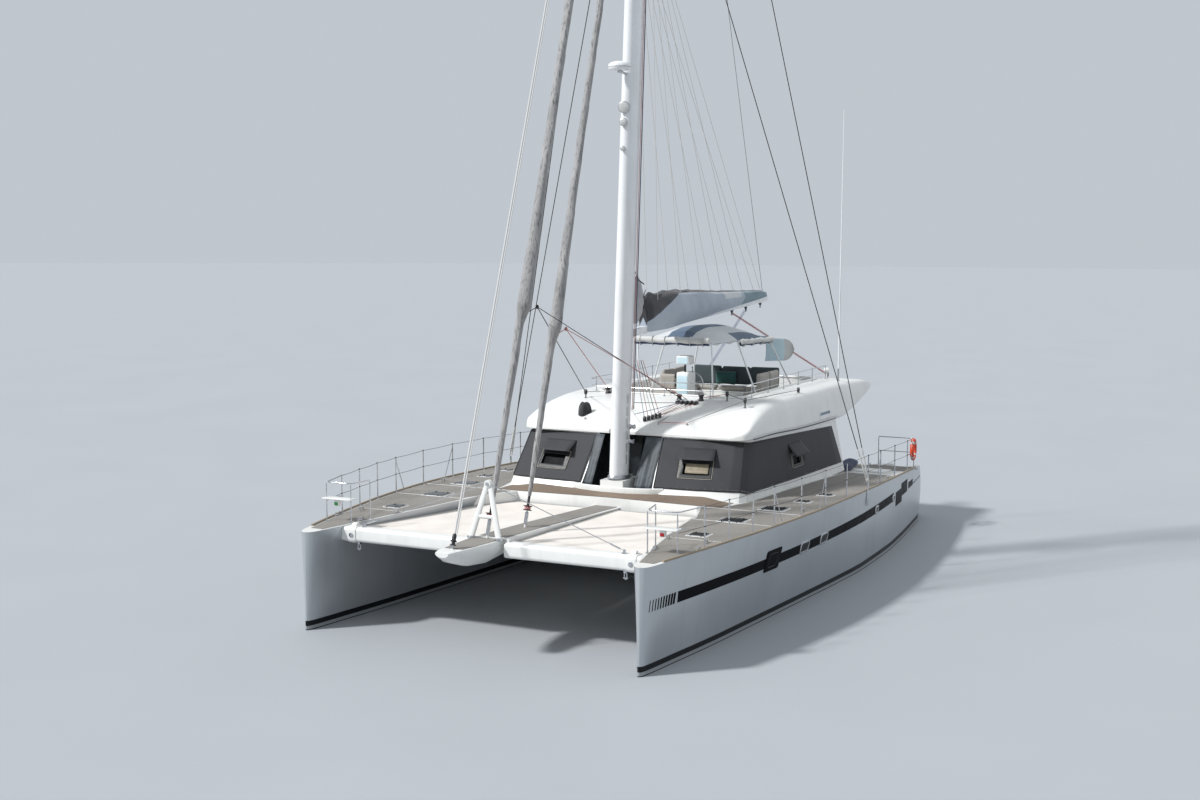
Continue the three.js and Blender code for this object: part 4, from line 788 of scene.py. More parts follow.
def sheer(y):
    """Height of the deck: bow + rise * t - fall * t squared, t being tens of metres from the bow."""
    t = (np.asarray(y, float) - SHEER["bow_y"]) / SHEER["pitch"]
    return SHEER["bow"] + SHEER["rise"] * t - SHEER["fall"] * t * t


def deck_half(y):
    return table_line(STATIONS, 1, y)


def side_half(y, z):
    """Half breadth above water: from the waterline's to the deck's as (z / sheer) to the power 1.25."""
    water = table_line(STATIONS, 2, y)
    part = np.clip(np.asarray(z) / sheer(y), 0, 1.05)
    return water + (deck_half(y) - water) * part ** 1.25


# %% The hull skin
STEPS = [(8.55, 1.40), (8.95, 1.07), (9.30, 0.74), (9.65, 0.41)]
STEP_HALF = 0.40
ROOM = {"half": 0.52, "y0": 5.62, "y1": 6.88, "floor": -0.45, "under_deck": 0.26}
TRUNK = {"half": 0.38, "y0": 5.75, "y1": 6.65}
# x, y, width, length of a deck hatch on the port hull, bow first
HATCHES = [(4.16, -7.42, 0.46, 0.43), (4.21, -5.39, 0.64, 0.60), (4.52, -3.38, 0.65, 0.60),
           (4.78, -1.89, 0.39, 0.35), (4.92, -0.44, 0.39, 0.35)]
HATCH_THICK, HATCH_WELL, WELL_MARGIN = 0.028, 0.07, 0.055
TOP_Z = 3.0


def hull_skin():
    """Rings round the hull: across the deck, down the topside by height, round the bottom as
    water * sqrt(1 - part ** 2.6), and up again. The stern's top is pulled forward as a parabola."""
    y = between(STATIONS[:, 0], SECTIONS_EACH)[:, None]
    water, depth = table_line(STATIONS, 2, y), table_line(STATIONS, 3, y)
    level = np.linspace(1, 0, 14)[None]
    side_z = level * sheer(y)
    dip = np.sin(np.linspace(0, pi / 2, 12))[None, 1:]
    bottom_x = water * np.sqrt(np.maximum(1 - dip ** 2.6, 0))
    x = np.hstack([side_half(y, side_z), bottom_x])
    z = np.hstack([side_z, -dip * depth])
    deck_x = np.linspace(-1, 1, 7)[None, 1:-1] * deck_half(y)
    x = np.hstack([deck_x, x, -x[:, -2::-1], deck_x[:, :1]])
    z = np.hstack([sheer(y) + 0 * deck_x, z, z[:, -2::-1], sheer(y)])
    after = np.maximum(0, (y - STERN_ROUND_Y) / (STERN_END_Y - STERN_ROUND_Y))
    swept_y = y - after * STERN_ROUNDING * ((z - STERN_MIDDLE_Z) / STERN_REACH_Z) ** 2
    return surface(shut(coords(HULL_X + x, swept_y, z)))


def hatch_wells(low, margin=0.0):
    """A tool for each hatch opening, inside the lid's outline by WELL_MARGIN less margin."""
    inset = WELL_MARGIN - margin
    return [block((x - w / 2 + inset, y - l / 2 + inset, float(sheer(y)) + low),
                  (x + w / 2 - inset, y + l / 2 - inset, TOP_Z), 0.03) for x, y, w, l in HATCHES]


def hull_tool(half, y0, y1, z0, z1, edge=0.015):
    """A box about the port hull's middle, to be cut away."""
    return [block((HULL_X - half, y0, z0), (HULL_X + half, y1, z1), edge)]


STEP_CUTS = [hull_tool(STEP_HALF, y, 12.0, z, TOP_Z, 0.03) for y, z in STEPS]
ROOM_CUT = hull_tool(ROOM["half"], ROOM["y0"], ROOM["y1"], ROOM["floor"],
                     float(sheer(ROOM["y1"])) - ROOM["under_deck"])
TRUNK_CUT = hull_tool(TRUNK["half"], TRUNK["y0"], TRUNK["y1"], 0.0, TOP_Z)
# how level a deck face is, and how near a face's middle is to a wall or a floor that it belongs to
LEVEL, NEAR, NEAR_WALL = 0.9, 0.01, 0.004


def hull_faces(centre, normal):
    """0 topside, 1 deck and steps, 2 painted shade, a dark grey, inside the engine room and the hatch
    openings.
    """
    x, y, z = centre.T
    depth, across = sheer(y) - z, abs(x - HULL_X)
    on_deck = (normal[:, 2] > LEVEL) & (depth < 2 * NEAR)
    in_steps = (across < STEP_HALF + NEAR_WALL) & (y > STEPS[0][0] - NEAR) & (z > STEPS[-1][1] - NEAR)
    in_room = (across < ROOM["half"] + NEAR_WALL) & (y > ROOM["y0"] - NEAR) & (y < ROOM["y1"] + NEAR)
    in_room &= (z > ROOM["floor"] - NEAR) & (depth > 2 * NEAR)
    in_well = (depth > 0.003) & (depth < HATCH_WELL + NEAR) & (y < 0) & (across < deck_half(y) - 0.05)
    return np.where(in_room | in_well, 2, np.where(on_deck | in_steps, 1, 0))


hulls = piece("hull_skin_SIDE", [(hull_skin(), SILVER)], stands_for=["hull_SIDE"],
              cut=[*STEP_CUTS, ROOM_CUT + hatch_wells(-HATCH_WELL), TRUNK_CUT], paint=hull_faces,
              looks=[SILVER, DECK_WHITE, SHADE_LINING])
print("hull faces", [len(h.data.polygons) for h in hulls])

# %% [markdown]
# A black stripe, slashes near the bow, dark windows and chromed portlights decorate the topsides.
# They are thin plates that lie on the skin: `on_side` carries a flat (y, z) drawing onto it.


# %% Stripes and windows in the hull's side
def on_side(y, z, h):
    """The port hull's outer side at (y, z), moved out by h along (1, -dx/dy, -dx/dz)."""
    y, z, h = (np.asarray(v, float) for v in np.broadcast_arrays(y, z, h))
    step = 0.02
    lean_y = (side_half(y + step, z) - side_half(y - step, z)) / (2 * step)
    lean_z = (side_half(y, z + step) - side_half(y, z - step)) / (2 * step)
    return coords(HULL_X + side_half(y, z), y, z) + unit(coords(1, -lean_y, -lean_z)) * h[..., None]


SKIN_HIGH, SKIN_SINK = 0.003, 0.012
BAND_Y = (-9.75, 4.4)
BAND_LOW, BAND_HIGH = (1.36, 1.41), (1.61, 1.66)
# y from, y to, z from, z to of the stepped black panels near the stern
AFT_PANELS = [(4.72, 5.70, 1.19, 1.61), (5.60, 6.60, 1.36, 1.75), (6.80, 7.60, 1.40, 1.60),
              (7.5, 9.3, 1.43, 1.455)]
SLASHES = {"count": 10, "first": -10.80, "pitch": 0.101, "slant": 0.10, "low": 1.36, "high": 1.61}


def band_loop(low, high, count=5):
    """The (z, h) pairs round a band from low to high: out on the skin, and back below it."""
    return np.array([(low, -SKIN_SINK), *((v, SKIN_HIGH) for v in np.linspace(low, high, count)),
                     (high, -SKIN_SINK), (low, -SKIN_SINK)])


def side_band():
    y = np.linspace(*BAND_Y, 90)
    low, high = np.interp(y, BAND_Y, BAND_LOW), np.interp(y, BAND_Y, BAND_HIGH)
    panels = [strip(on_side, np.linspace(y0, y1, 12), band_loop(z0, z1)) for y0, y1, z0, z1 in AFT_PANELS]
    return [strip(on_side, y, np.stack([band_loop(a, b) for a, b in zip(low, high)])), *panels]


def slash(i):
    """One slash: a strip up the side, wider the further aft, that leans aft by slant."""
    s = SLASHES
    middle, half = s["first"] + i * s["pitch"], 0.010 + 0.0032 * i
    lean = lambda z, y, h: on_side(y + s["slant"] * (z - s["low"]), z, h)
    return strip(lean, np.linspace(s["low"], s["high"], 4), band_loop(middle - half, middle + half, 2))


band = [(g, BAND_BLACK) for g in side_band() + [slash(i) for i in range(SLASHES["count"])]]
piece("hull_stripe_SIDE", band)

# %% Portlights
# y from, y to, z from, z to of the large window and of the chromed portlights
SIDE_WINDOW = (-5.87, -5.07, 1.27, 1.80)
PORTLIGHTS = [(-3.88, -3.33, 1.36, 1.67), (-2.57, -2.05, 1.36, 1.66), (2.10, 2.45, 1.39, 1.63),
              (4.22, 4.58, 1.39, 1.61)]
CHROME_RIM = 0.045


def side_plate(y0, y1, z0, z1, height, corner, rim=None):
    """A rounded plate on the topside, or with rim a frame of that width."""
    hole = None if rim is None else framed(y0, y1, z0, z1, max(corner - rim, 0.02), 6, (-rim, -rim))
    return plate(framed(y0, y1, z0, z1, corner, 6), on_side, height, SKIN_SINK, hole=hole)


lights = [(side_plate(*SIDE_WINDOW, 0.012, 0.06), BAND_BLACK),
          (side_plate(-5.70, -5.24, 1.36, 1.71, 0.018, 0.09, 0.02), SMOKED),
          (side_plate(8.0, 8.12, 1.40, 1.52, 0.014, 0.058, 0.018), STEEL)]
for y0, y1, z0, z1 in PORTLIGHTS:
    lights += [(side_plate(y0, y1, z0, z1, 0.020, 0.10, CHROME_RIM), STEEL),
               (side_plate(y0 + 0.03, y1 - 0.03, z0 + 0.03, z1 - 0.03, 0.010, 0.08), BLACK_GLASS)]
piece("portlights_SIDE", lights)

# %% [markdown]
# The decks are teak panels with a pale margin round them. A panel's planks run beside the hull's
# outer edge, so its U is the distance from that edge. Panels are slabs: a top grid that runs back
# under itself. The hatch openings are cut through them as through the hull.


# %% Teak decks
TEAK_HIGH, TEAK_THICK = 0.008, 0.02
EDGE_MARGIN, DECK_MARGIN = 0.13, 0.07


def thick(top, uv):
    """A closed slab: every row of the top grid comes back below itself, lower by TEAK_THICK."""
    low = top - (0, 0, TEAK_THICK)
    loop = shut(np.concatenate([top, low[:, ::-1], top[:, :1]], axis=1))
    around = np.concatenate([uv, uv[:, ::-1], uv[:, :1]], axis=1)
    return loop, np.concatenate([around[:1], around, around[-1:]])


# y and the inboard edge of the deck from the crossbeam aft, where the bridgedeck joins the hull
INBOARD = np.array([(-5.62, 3.29), (-5.42, 3.27), (-3.98, 2.78), (-3.9, 2.78)])


def outer_edge(y):
    return HULL_X + deck_half(y) - EDGE_MARGIN


def inner_edge(y):
    hull_edge = HULL_X - deck_half(y) + DECK_MARGIN
    return np.where(np.asarray(y) < INBOARD[0, 0], hull_edge, np.interp(y, INBOARD[:, 0], INBOARD[:, 1]))


def deck_panel(y0, y1, inner, outer=outer_edge, count=40):
    y = np.linspace(y0, y1, count)[:, None]
    x = inner(y) + (outer(y) - inner(y)) * np.linspace(0, 1, 10)
    return thick(coords(x, y, sheer(y) + TEAK_HIGH), coords(outer(y) - x, y))


CABIN_SIDE = np.array([(-3.82, 3.30), (-3.3, 3.42), (-2.4, 3.62), (1.2, 3.73), (5.0, 3.77)])
side_deck = lambda y: np.interp(y, CABIN_SIDE[:, 0], CABIN_SIDE[:, 1])
aft_deck = lambda y: 2.98 + 0 * np.asarray(y)
stern_deck = lambda y: np.maximum(HULL_X - deck_half(y) + 0.12, 3.4)
bow_inner = lambda y: np.minimum(inner_edge(y), outer_edge(y) - 0.02)
panels = [deck_panel(-10.55, -7.98, bow_inner), deck_panel(-7.90, -5.70, bow_inner),
          deck_panel(-5.60, -3.98, inner_edge), deck_panel(-3.86, 5.10, side_deck, count=70),
          deck_panel(5.18, 5.60, aft_deck), deck_panel(6.80, 8.05, aft_deck),
          deck_panel(5.60, 6.80, aft_deck, lambda y: 3.84 + 0 * y), deck_panel(8.12, 8.50, stern_deck)]
piece("teak_deck_SIDE", [(g, TEAK) for g in panels], cut=[hatch_wells(-0.1, 0.02)])


# its half width, its front edge at the middle and how far that runs forward by bulge_x, its rise
WALK = {"half": 3.27, "front": -3.70, "bulge": 0.13, "bulge_x": 2.62, "rise": 0.12, "fade": 0.9}
# x, y of the cabin's foot behind it
WALK_BACK = np.array([(0, -3.47), (0.85, -3.38), (1.35, -3.14), (2.4, -3.10), (3.0, -3.02), (3.27, -3.0)])


def cross_deck():
    """The brown teak walk in front of the cabin: planks across the boat, U from its front edge.
    It rises towards the cabin's foot by rise * part * t * t * (3 - 2 t), t falling to 0 at both ends."""
    x = np.linspace(-WALK["half"], WALK["half"], 60)[:, None]
    part = np.linspace(0, 1, 6)
    front = WALK["front"] - WALK["bulge"] * np.minimum(abs(x) / WALK["bulge_x"], 1)
    y = front + (np.interp(abs(x), *WALK_BACK.T) - front) * part
    t = np.clip((WALK["half"] - abs(x)) / WALK["fade"], 0, 1)
    rise = WALK["rise"] * part * t * t * (3 - 2 * t)
    return thick(coords(x, y, sheer(y) + TEAK_HIGH + rise), coords(y - front, x))


piece("cross_deck_teak", [(cross_deck(), FORE_TEAK)])

# %% Step treads and toe rails
treads = []
for (y0, z), (y1, _) in zip(STEPS, [*STEPS[1:], (9.98, 0)]):
    y = np.linspace(y0 + 0.05, y1 - 0.04, 3)[:, None]
    x = HULL_X + np.linspace(-1, 1, 3) * (STEP_HALF - 0.05)
    treads.append((thick(coords(x, y, z + TEAK_HIGH), coords(y, x)), TEAK))
piece("step_treads_SIDE", treads)

TOE = {"inset": 0.04, "wide": 0.05, "high": 0.045, "y0": -10.35, "y1": 8.45}


def on_deck(x, y, h=0.0):
    return coords(x, y, sheer(y) + h)


def beside_edge(y, inset, h):
    """A line on the deck, set in from its outer edge and raised by h."""
    return on_deck(HULL_X + deck_half(y) - inset, y, h)


toe = sweep(beside_edge(np.linspace(TOE["y0"], TOE["y1"], 70), TOE["inset"], TOE["high"] / 2),
            rounded(TOE["wide"], TOE["high"], 0.01), up=(0, 0, 1))
piece("toe_rail_SIDE", [(toe, TAN_WOOD)])

# %% [markdown]
# Ten flush hatches light the hulls. Each is a smoked acrylic lens in a pale frame and opens about
# its front edge, so each lid is a piece of its own on its own body. The surround stays on deck.

# %% Deck hatches
SURROUND = 0.035
surrounds = []
for number, (x, y, width, length) in enumerate(HATCHES, start=1):
    flat = lambda grow, corner: rounded(width + 2 * grow, length + 2 * grow, corner, 5) + (x, y)
    surrounds.append((plate(flat(SURROUND, 0.07), on_deck, 0.012, 0.02, 0.004, flat(0.003, 0.05)), GELCOAT))
    lens = plate(flat(-0.035, 0.04), on_deck, HATCH_THICK, -0.016, 0.003)
    rim = plate(flat(0, 0.05), on_deck, HATCH_THICK - 0.003, -0.004, 0.006, flat(-0.033, 0.035))
    bars = [plate(rounded(0.05, 0.09, 0.012) + (x + s * width * 0.3, y - length / 2 + 0.045), on_deck,
                  HATCH_THICK + 0.008, -0.01) for s in (-1, 1)]
    knobs = [lathe([(0.022, 0), (0.022, 0.01), (0.012, 0.016)],
                   (x + s * width * 0.28, y + length / 2 - 0.075, float(sheer(y)) + HATCH_THICK - 0.002))
             for s in (-1, 1)]
    lid = f"deck_hatch_SIDE_{number}"
    piece(f"hatch_lid_SIDE_{number}",
          [(lens, SMOKED), (rim, ALUMINIUM), *((b, BLACK_PLASTIC) for b in bars + knobs)],
          body=lid, stands_for=[lid])
piece("hatch_surrounds_SIDE", surrounds)

# %% [markdown]
# Between the bows lie the crossbeam, the longeron with its teak walkway, the striker that holds
# the beam up against the stays' pull, and two nets. The beam and the bridgedeck are plain moulded
# shapes, so their CAD solids are right as they stand. A merged copy with soft edges is enough.


# %% Crossbeam, bridgedeck and longeron
def flat_deck(centre, normal):
    """1 on faces that lie flat and high, where people walk, and 0 elsewhere."""
    step = (abs(centre[:, 0]) < 0.4) & (centre[:, 2] > 2.7)
    return ((normal[:, 2] > 0.97) & (centre[:, 2] > 1.45) & ~step).astype(int)


finished_copy("bridgedeck", GELCOAT, 0.02, paint=flat_deck, looks=(GELCOAT, DECK_WHITE))
finished_copy("crossbeam", GELCOAT, 0.015)
finished_copy("longeron", GELCOAT, 0.012)

BEAM = {"y": -9.85, "half_deep": 0.175, "top": 2.34, "low": 1.985, "radius": 0.09, "end": 3.78}
# y, half width and height of the longeron's top
LONGERON = np.array([(-11.84, 0.17, 2.40), (-11.6, 0.25, 2.41), (-11.0, 0.33, 2.40), (-10.3, 0.41, 2.39),
                     (-9.4, 0.43, 2.37), (-7.5, 0.42, 2.30), (-5.5, 0.41, 2.21), (-3.75, 0.40, 2.13)])


def longeron_top(y, x, h):
    return coords(x, y, np.interp(y, LONGERON[:, 0], LONGERON[:, 2]) + h)


walk_y = np.linspace(-11.35, -3.78, 40)[:, None]
walk_x = 0.8 * np.interp(walk_y, LONGERON[:, 0], LONGERON[:, 1]) * np.linspace(-1, 1, 7)
walk = thick(longeron_top(walk_y, walk_x, 0.012), coords(walk_x, walk_y))
piece("longeron_walk", [(walk, TEAK)])

# %% Fittings of the beam
beam_ring = rounded(2 * BEAM["half_deep"] + 0.05, BEAM["top"] - BEAM["low"] + 0.05, BEAM["radius"] + 0.02, 5)
beam_middle = (BEAM["top"] + BEAM["low"]) / 2
eye_y, pin_z = BEAM["y"] - 0.10, BEAM["low"] - 0.16
clamp = sweep(straight((3.55, BEAM["y"], beam_middle), (BEAM["end"], BEAM["y"], beam_middle), 5), beam_ring,
              np.array([0.97, 1, 1, 1, 0.97]), up=(0, 0, 1))
bolt = lathe([(0.055, 0), (0.055, 0.018), (0.03, 0.03)], (3.66, BEAM["y"] - 0.2, beam_middle), (0, -1, 0))
lug = sweep(straight((3.60, BEAM["y"], BEAM["top"]), (3.72, BEAM["y"], BEAM["top"]), 2), circle(20), 0.09,
            up=(0, 0, 1))
ring = circle(24)[:-1]
bow_eye = coords(3.5 + 0.03 * ring[:, 1], eye_y, BEAM["low"] - 0.09 + 0.10 * ring[:, 0])
shackle = tube(bow_eye, 0.014, 8, closed=True)
pin = bar((3.44, eye_y, pin_z), (3.56, eye_y, pin_z), 0.016)
under_eye = block((3.46, eye_y - 0.04, BEAM["low"] - 0.05), (3.54, eye_y + 0.04, BEAM["low"] + 0.02), 0.012)
piece("beam_ends_SIDE", [(clamp, GELCOAT), (bolt, STEEL), (lug, GELCOAT), (shackle, STEEL), (pin, STEEL),
                         (under_eye, STEEL)])

# %% [markdown]
# The striker is a white A-frame with one rung. Each leg is a flattened oval profile carried
# straight to the crown, and its stays run down to shoes near the ends of the beam.

# %% Striker
STRIKER = {"y": -9.83, "foot_y": -10.02, "foot_x": 0.36, "foot_z": 2.40, "top": 3.63, "rung_z": 2.88,
           "stay_x": 3.42}
oval = circle(20) * (0.072, 0.038)
crown_at = np.array((0.0, STRIKER["y"], STRIKER["top"]))
striker = [(lathe([(0.0, -0.075), (0.085, -0.07), (0.085, 0.045), (0.06, 0.07), (0.0, 0.075)],
                  crown_at, (0, 1, 0)), GELCOAT),
           (lathe([(0.04, 0), (0.04, 0.01)], crown_at - (0, 0.085, 0), (0, -1, 0)), STEEL)]
rung_part = (STRIKER["rung_z"] - STRIKER["foot_z"]) / (STRIKER["top"] - STRIKER["foot_z"])
rung_x = STRIKER["foot_x"] * (1 - rung_part)
rung_y = STRIKER["foot_y"] + (STRIKER["y"] - STRIKER["foot_y"]) * rung_part
striker.append((sweep(straight((-rung_x, rung_y, STRIKER["rung_z"]), (rung_x, rung_y, STRIKER["rung_z"]), 3),
                      circle(14) * (0.03, 0.045), up=(0, 0, 1)), GELCOAT))
for s in (-1, 1):
    foot = np.array((s * STRIKER["foot_x"], STRIKER["foot_y"], STRIKER["foot_z"] + 0.01))
    end = np.array((s * STRIKER["stay_x"], BEAM["y"], BEAM["top"] + 0.06))
    up_stay = crown_at - end
    striker += [(sweep(straight(foot, crown_at + (s * 0.03, 0, 0), 6), oval, np.linspace(1.1, 0.9, 6),
                       up=(0, 1, 0)), GELCOAT),
                (lathe([(0.1, 0), (0.1, 0.02), (0.075, 0.045)], foot - (0, 0, 0.012)), STEEL),
                (bar(end, crown_at, 0.011, 8), STEEL),
                (bar(end + 0.03 * up_stay, end + 0.10 * up_stay, 0.02), STEEL),
                (lathe([(0.06, -0.07), (0.06, -0.05), (0.035, -0.03), (0.035, 0.015), (0.02, 0.03)], end),
                 STEEL)]
piece("striker_frame", striker, stands_for=["striker"])

# %% [markdown]
# The nets are knitted sheets laced to the hulls, the beam and the longeron. A net is a grid
# between its inner and outer edge that sags a little in the middle, and its lacing is a cord that
# zigzags over the gap.

# %% Trampolines
NET = {"y0": -9.64, "y1": -3.99, "front_z": 2.245, "back_z": 2.085, "sag": 0.03, "gap": 0.045}
GUSSET = np.array([(-5.4, 3.25), (-3.9, 2.62)])


def net_edges(y):
    """x of the net's inner and outer edge: beside the longeron, and beside the hull or the gusset."""
    inner = np.interp(y, LONGERON[:, 0], LONGERON[:, 1]) + NET["gap"]
    hull = HULL_X - side_half(y, 2.15)
    gusset = np.where(y > GUSSET[0, 0], np.interp(y, GUSSET[:, 0], GUSSET[:, 1]), 9)
    return inner, np.minimum(hull, gusset) - NET["gap"]


def net_point(y, part):
    inner, outer = net_edges(y)
    along = (y - NET["y0"]) / (NET["y1"] - NET["y0"])
    sag = NET["sag"] * np.sin(pi * np.clip(along, 0, 1)) * np.sin(pi * np.clip(part, 0, 1))
    z = NET["front_z"] + (NET["back_z"] - NET["front_z"]) * along - sag
    return coords(inner + (outer - inner) * part, y, z)


net_y = np.linspace(NET["y0"], NET["y1"], 60)[:, None]
net = net_point(net_y, np.linspace(0, 1, 36))
nets = piece("net_SIDE", [(surface(net), NET_CLOTH)], stands_for=["trampoline_SIDE"],
             thickness=0.006)

# %% Net borders and lacing
LACE_PITCH, LACE_REACH, BORDER = 0.11, 0.04, 0.06
LACE_INSET, LACE_HIGH, BORDER_HIGH = 0.03, 0.012, 0.004


def lacing(path_in, path_out):
    """A zigzag: the points of two edges taken in turn."""
    zigzag = np.empty((2 * len(path_in), 3))
    zigzag[0::2], zigzag[1::2] = path_in + (0, 0, LACE_HIGH), path_out + (0, 0, LACE_HIGH)
    return tube(zigzag, 0.006, 5, up=(0, 0, 1))


def border(path):
    return sweep(path + (0, 0, BORDER_HIGH), rounded(BORDER, 0.010, 0.004, 2), up=(0, 0, 1)), SAIL_WHITE


laces, borders = [], []
side_y = np.arange(NET["y0"] + 0.1, NET["y1"] - 0.05, LACE_PITCH)
for part, way in ((0.0, -1.0), (1.0, 1.0)):
    edge = net_point(side_y, np.full(len(side_y), part))
    laces.append((lacing(edge - (way * LACE_INSET, 0, 0), edge + (way * LACE_REACH, 0, 0)), WHITE_ROPE))
    borders.append(border(net_point(np.linspace(NET["y0"], NET["y1"], 40), np.full(40, part))))
for y, way in ((NET["y0"], -1.0), (NET["y1"], 1.0)):
    part = np.linspace(0.02, 0.98, 30)
    edge = net_point(np.full(30, y), part)
    laces.append((lacing(edge - (0, way * LACE_INSET, 0), edge + (0, way * 0.035, 0)), WHITE_ROPE))
    borders.append(border(edge))
piece("net_lacing_SIDE", laces + borders)

# %% [markdown]
# The cabin's walls and glass are carried over from the CAD as merged copies. Over the windows hang
# charcoal mesh covers. A cover follows the wall's outline a hand's breadth of a finger outside it,
# and it has two vents: a framed opening under a flap that is pinned at its top and stands off below.

# %% Cabin
def recess_faces(c, n):
    """1, the dark lining, on the walls beside and behind the mast, 0 elsewhere."""
    beside = (abs(c[:, 0]) < 1.12) & (c[:, 1] > -3.32) & (c[:, 1] < -1.0)
    return (beside & (c[:, 2] > 2.58) & (c[:, 2] < 3.95) & (n[:, 2] < 0.8)).astype(int)


finished_copy("cabin_walls", GELCOAT, 0.010, paint=recess_faces, looks=[GELCOAT, SMOKED])
for glazed in ("cabin_glazing", "aft_glazing"):
    dress(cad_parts[glazed].data, [SMOKED])

CABIN_LOW, CABIN_HIGH, WALL_LEAN = 2.4, 3.9, 0.45
# x, y of the cabin's outline at its foot, then at its top
CABIN = np.array([(1.0, -2.1, 0.9, -1.6), (1.05, -3.3, 0.93, -2.26), (2.3, -3.18, 2.15, -2.18),
                  (3.15, -3.01, 2.95, -2.06), (3.38, -2.9, 3.16, -1.96), (3.47, -2.6, 3.22, -1.7),
                  (3.58, 1.2, 3.31, 1.2), (3.62, 5.2, 3.32, 5.2)])


def on_cabin(s, z, h):
    """A point at outline position s (its corner's number and a part) and height z, moved out by h."""
    s, z, h = np.broadcast_arrays(s, z, h)
    rise = (z - CABIN_LOW) / (CABIN_HIGH - CABIN_LOW)
    number = np.arange(len(CABIN))
    low_x, low_y, top_x, top_y = (np.interp(s, number, column) for column in CABIN.T)
    cell = np.clip(np.floor(s - 1e-9).astype(int), 0, len(CABIN) - 2)
    run = unit(CABIN[cell + 1, :2] - CABIN[cell, :2])
    out = unit(coords(run[..., 1], -run[..., 0], WALL_LEAN))
    base = coords(low_x + (top_x - low_x) * rise, low_y + (top_y - low_y) * rise, z)
    return base + out * h[..., None]


def s_of_x(x):
    """The outline position on the front wall whose foot is at x."""
    return float(np.interp(x, CABIN[1:4, 0], (1, 2, 3)))


def s_of_y(y):
    """The outline position on the side wall whose foot is at y."""
    return float(np.interp(y, CABIN[4:, 1], np.arange(4, len(CABIN))))


# %% Window covers
COVER_OUT, COVER_THICK = 0.022, 0.004
COVER_LOW = np.array([(1.0, 2.60), (4.0, 2.59), (7.0, 2.36)])
COVER_TOP = np.array([(1.0, 3.83), (4.0, 3.80), (5.0, 3.77), (6.0, 3.66), (7.0, 3.49)])
COVER_S = (s_of_x(1.09), s_of_y(5.02), s_of_y(4.68))
# outline position from and to, height from and to of each vent's opening
VENTS = [(s_of_x(1.72), s_of_x(2.62), 2.90, 3.30), (s_of_y(0.85), s_of_y(1.62), 2.76, 3.12)]


def cover_heights(s):
    return np.interp(s, *COVER_LOW.T), np.interp(s, *COVER_TOP.T)


def cover_sheet():
    """One grid in outline position and height, in which the vents' edges are grid lines. It is
    handed on in blocks that leave the two vents out. The aft edge leans forward as it rises."""
    (a0, a1, al, ah), (b0, b1, bl, bh) = VENTS
    s = between([COVER_S[0], a0, a1, 3, 4, 5, b0, b1, COVER_S[1]], 8)[:, None]
    bottom, top = cover_heights(s)
    low, high = (np.interp(s, [a0, a1, b0, b1], [a, a, b, b]) for a, b in ((al, bl), (ah, bh)))
    z = np.hstack([bottom + (low - bottom) * np.linspace(0, 1, 7)[:-1],
                   low + (high - low) * np.linspace(0, 1, 6)[:-1],
                   high + (top - high) * np.linspace(0, 1, 8)])
    lean = np.clip((s - 6) / (COVER_S[1] - 6), 0, 1) * (z - 2.4) / 1.1
    billow = 0.006 * (1 + np.sin(2.3 * s + 1)) * np.sin(pi * (z - bottom) / (top - bottom))
    grid = on_cabin(s - lean * (COVER_S[1] - COVER_S[2]), z, COVER_OUT + billow)
    blocks = []
    for number, start in enumerate(range(0, len(s) - 1, 8)):
        columns = grid[start:start + 9]
        blocks += [columns[:, :7], columns[:, 11:]] if number in (1, 6) else [columns]
    return [surface(part) for part in blocks]


HOOD_OVERHANG, HOOD_BELLY = 0.05, 0.015


def hood(vent, pinned_z, low_z, reach):
    """The vent's flap: a sheet pinned at pinned_z that stands off by reach at low_z. Its middle is
    pushed out by HOOD_BELLY times a sine each way."""
    s = np.linspace(vent[0] - HOOD_OVERHANG, vent[1] + HOOD_OVERHANG, 8)[:, None]
    part = np.linspace(0, 1, 7)
    belly = HOOD_BELLY * np.sin(pi * part) * np.sin(pi * (s - s[0]) / np.ptp(s))
    out = COVER_OUT + COVER_THICK + reach * part ** 1.1 + belly
    return surface(on_cabin(s, pinned_z + (low_z - pinned_z) * part, out))


hoods = [hood(VENTS[0], 3.62, 3.27, 0.22), hood(VENTS[1], 3.42, 2.98, 0.24)]
covers = piece("window_cloth_SIDE", [(g, CHARCOAL) for g in cover_sheet() + hoods],
               stands_for=["window_cover_SIDE"], thickness=COVER_THICK, sharp=25)

# %% Bindings, vent frames and blinds
s_line = np.unique(np.concatenate([np.linspace(COVER_S[0], COVER_S[1] - 0.01, 60), [2, 3, 4, 5, 6]]))
low_edge = on_cabin(s_line, cover_heights(s_line)[0] + 0.02, COVER_OUT + 0.006)
z_line = np.linspace(0.02, 0.98, 12)
upright = lambda s: on_cabin(np.full(12, s), cover_heights(s)[0] + np.diff(cover_heights(s))[0] * z_line,
                             COVER_OUT + 0.008)
on_cover = lambda s, z, h: on_cabin(s, z, COVER_OUT + h)
behind_cover = lambda s, z, h: on_cabin(s, z, h - 0.03)
trim = [(tube(path, radius, 6), BINDING)
        for path, radius in ((low_edge, 0.011), (upright(COVER_S[0] + 0.01), 0.012), (upright(3.98), 0.014))]
for s0, s1, low, high in VENTS:
    inner = rounded((s1 - s0) * 0.80, (high - low) * 0.66, 0.015, 5) + ((s0 + s1) / 2, (low + high) / 2)
    rim = framed(s0, s1, low, high, 0.02, 5, (0.01, 0.02))
    edge = framed(s0, s1, low, high, 0.03, 5, (0.015, 0.03))[:-1]
    piping = tube(on_cover(edge[:, 0], edge[:, 1], 0.02), 0.007, 6, up=(0, -1, 0.4), closed=True)
    trim += [(plate(rim, on_cover, 0.022, 0.006, 0.003, inner), BLACK_PLASTIC),
             (plate(framed(s0, s1, low, high, 0.02, 5), behind_cover, 0.004, 0.01), BAND_BLACK),
             (piping, PIPING)]
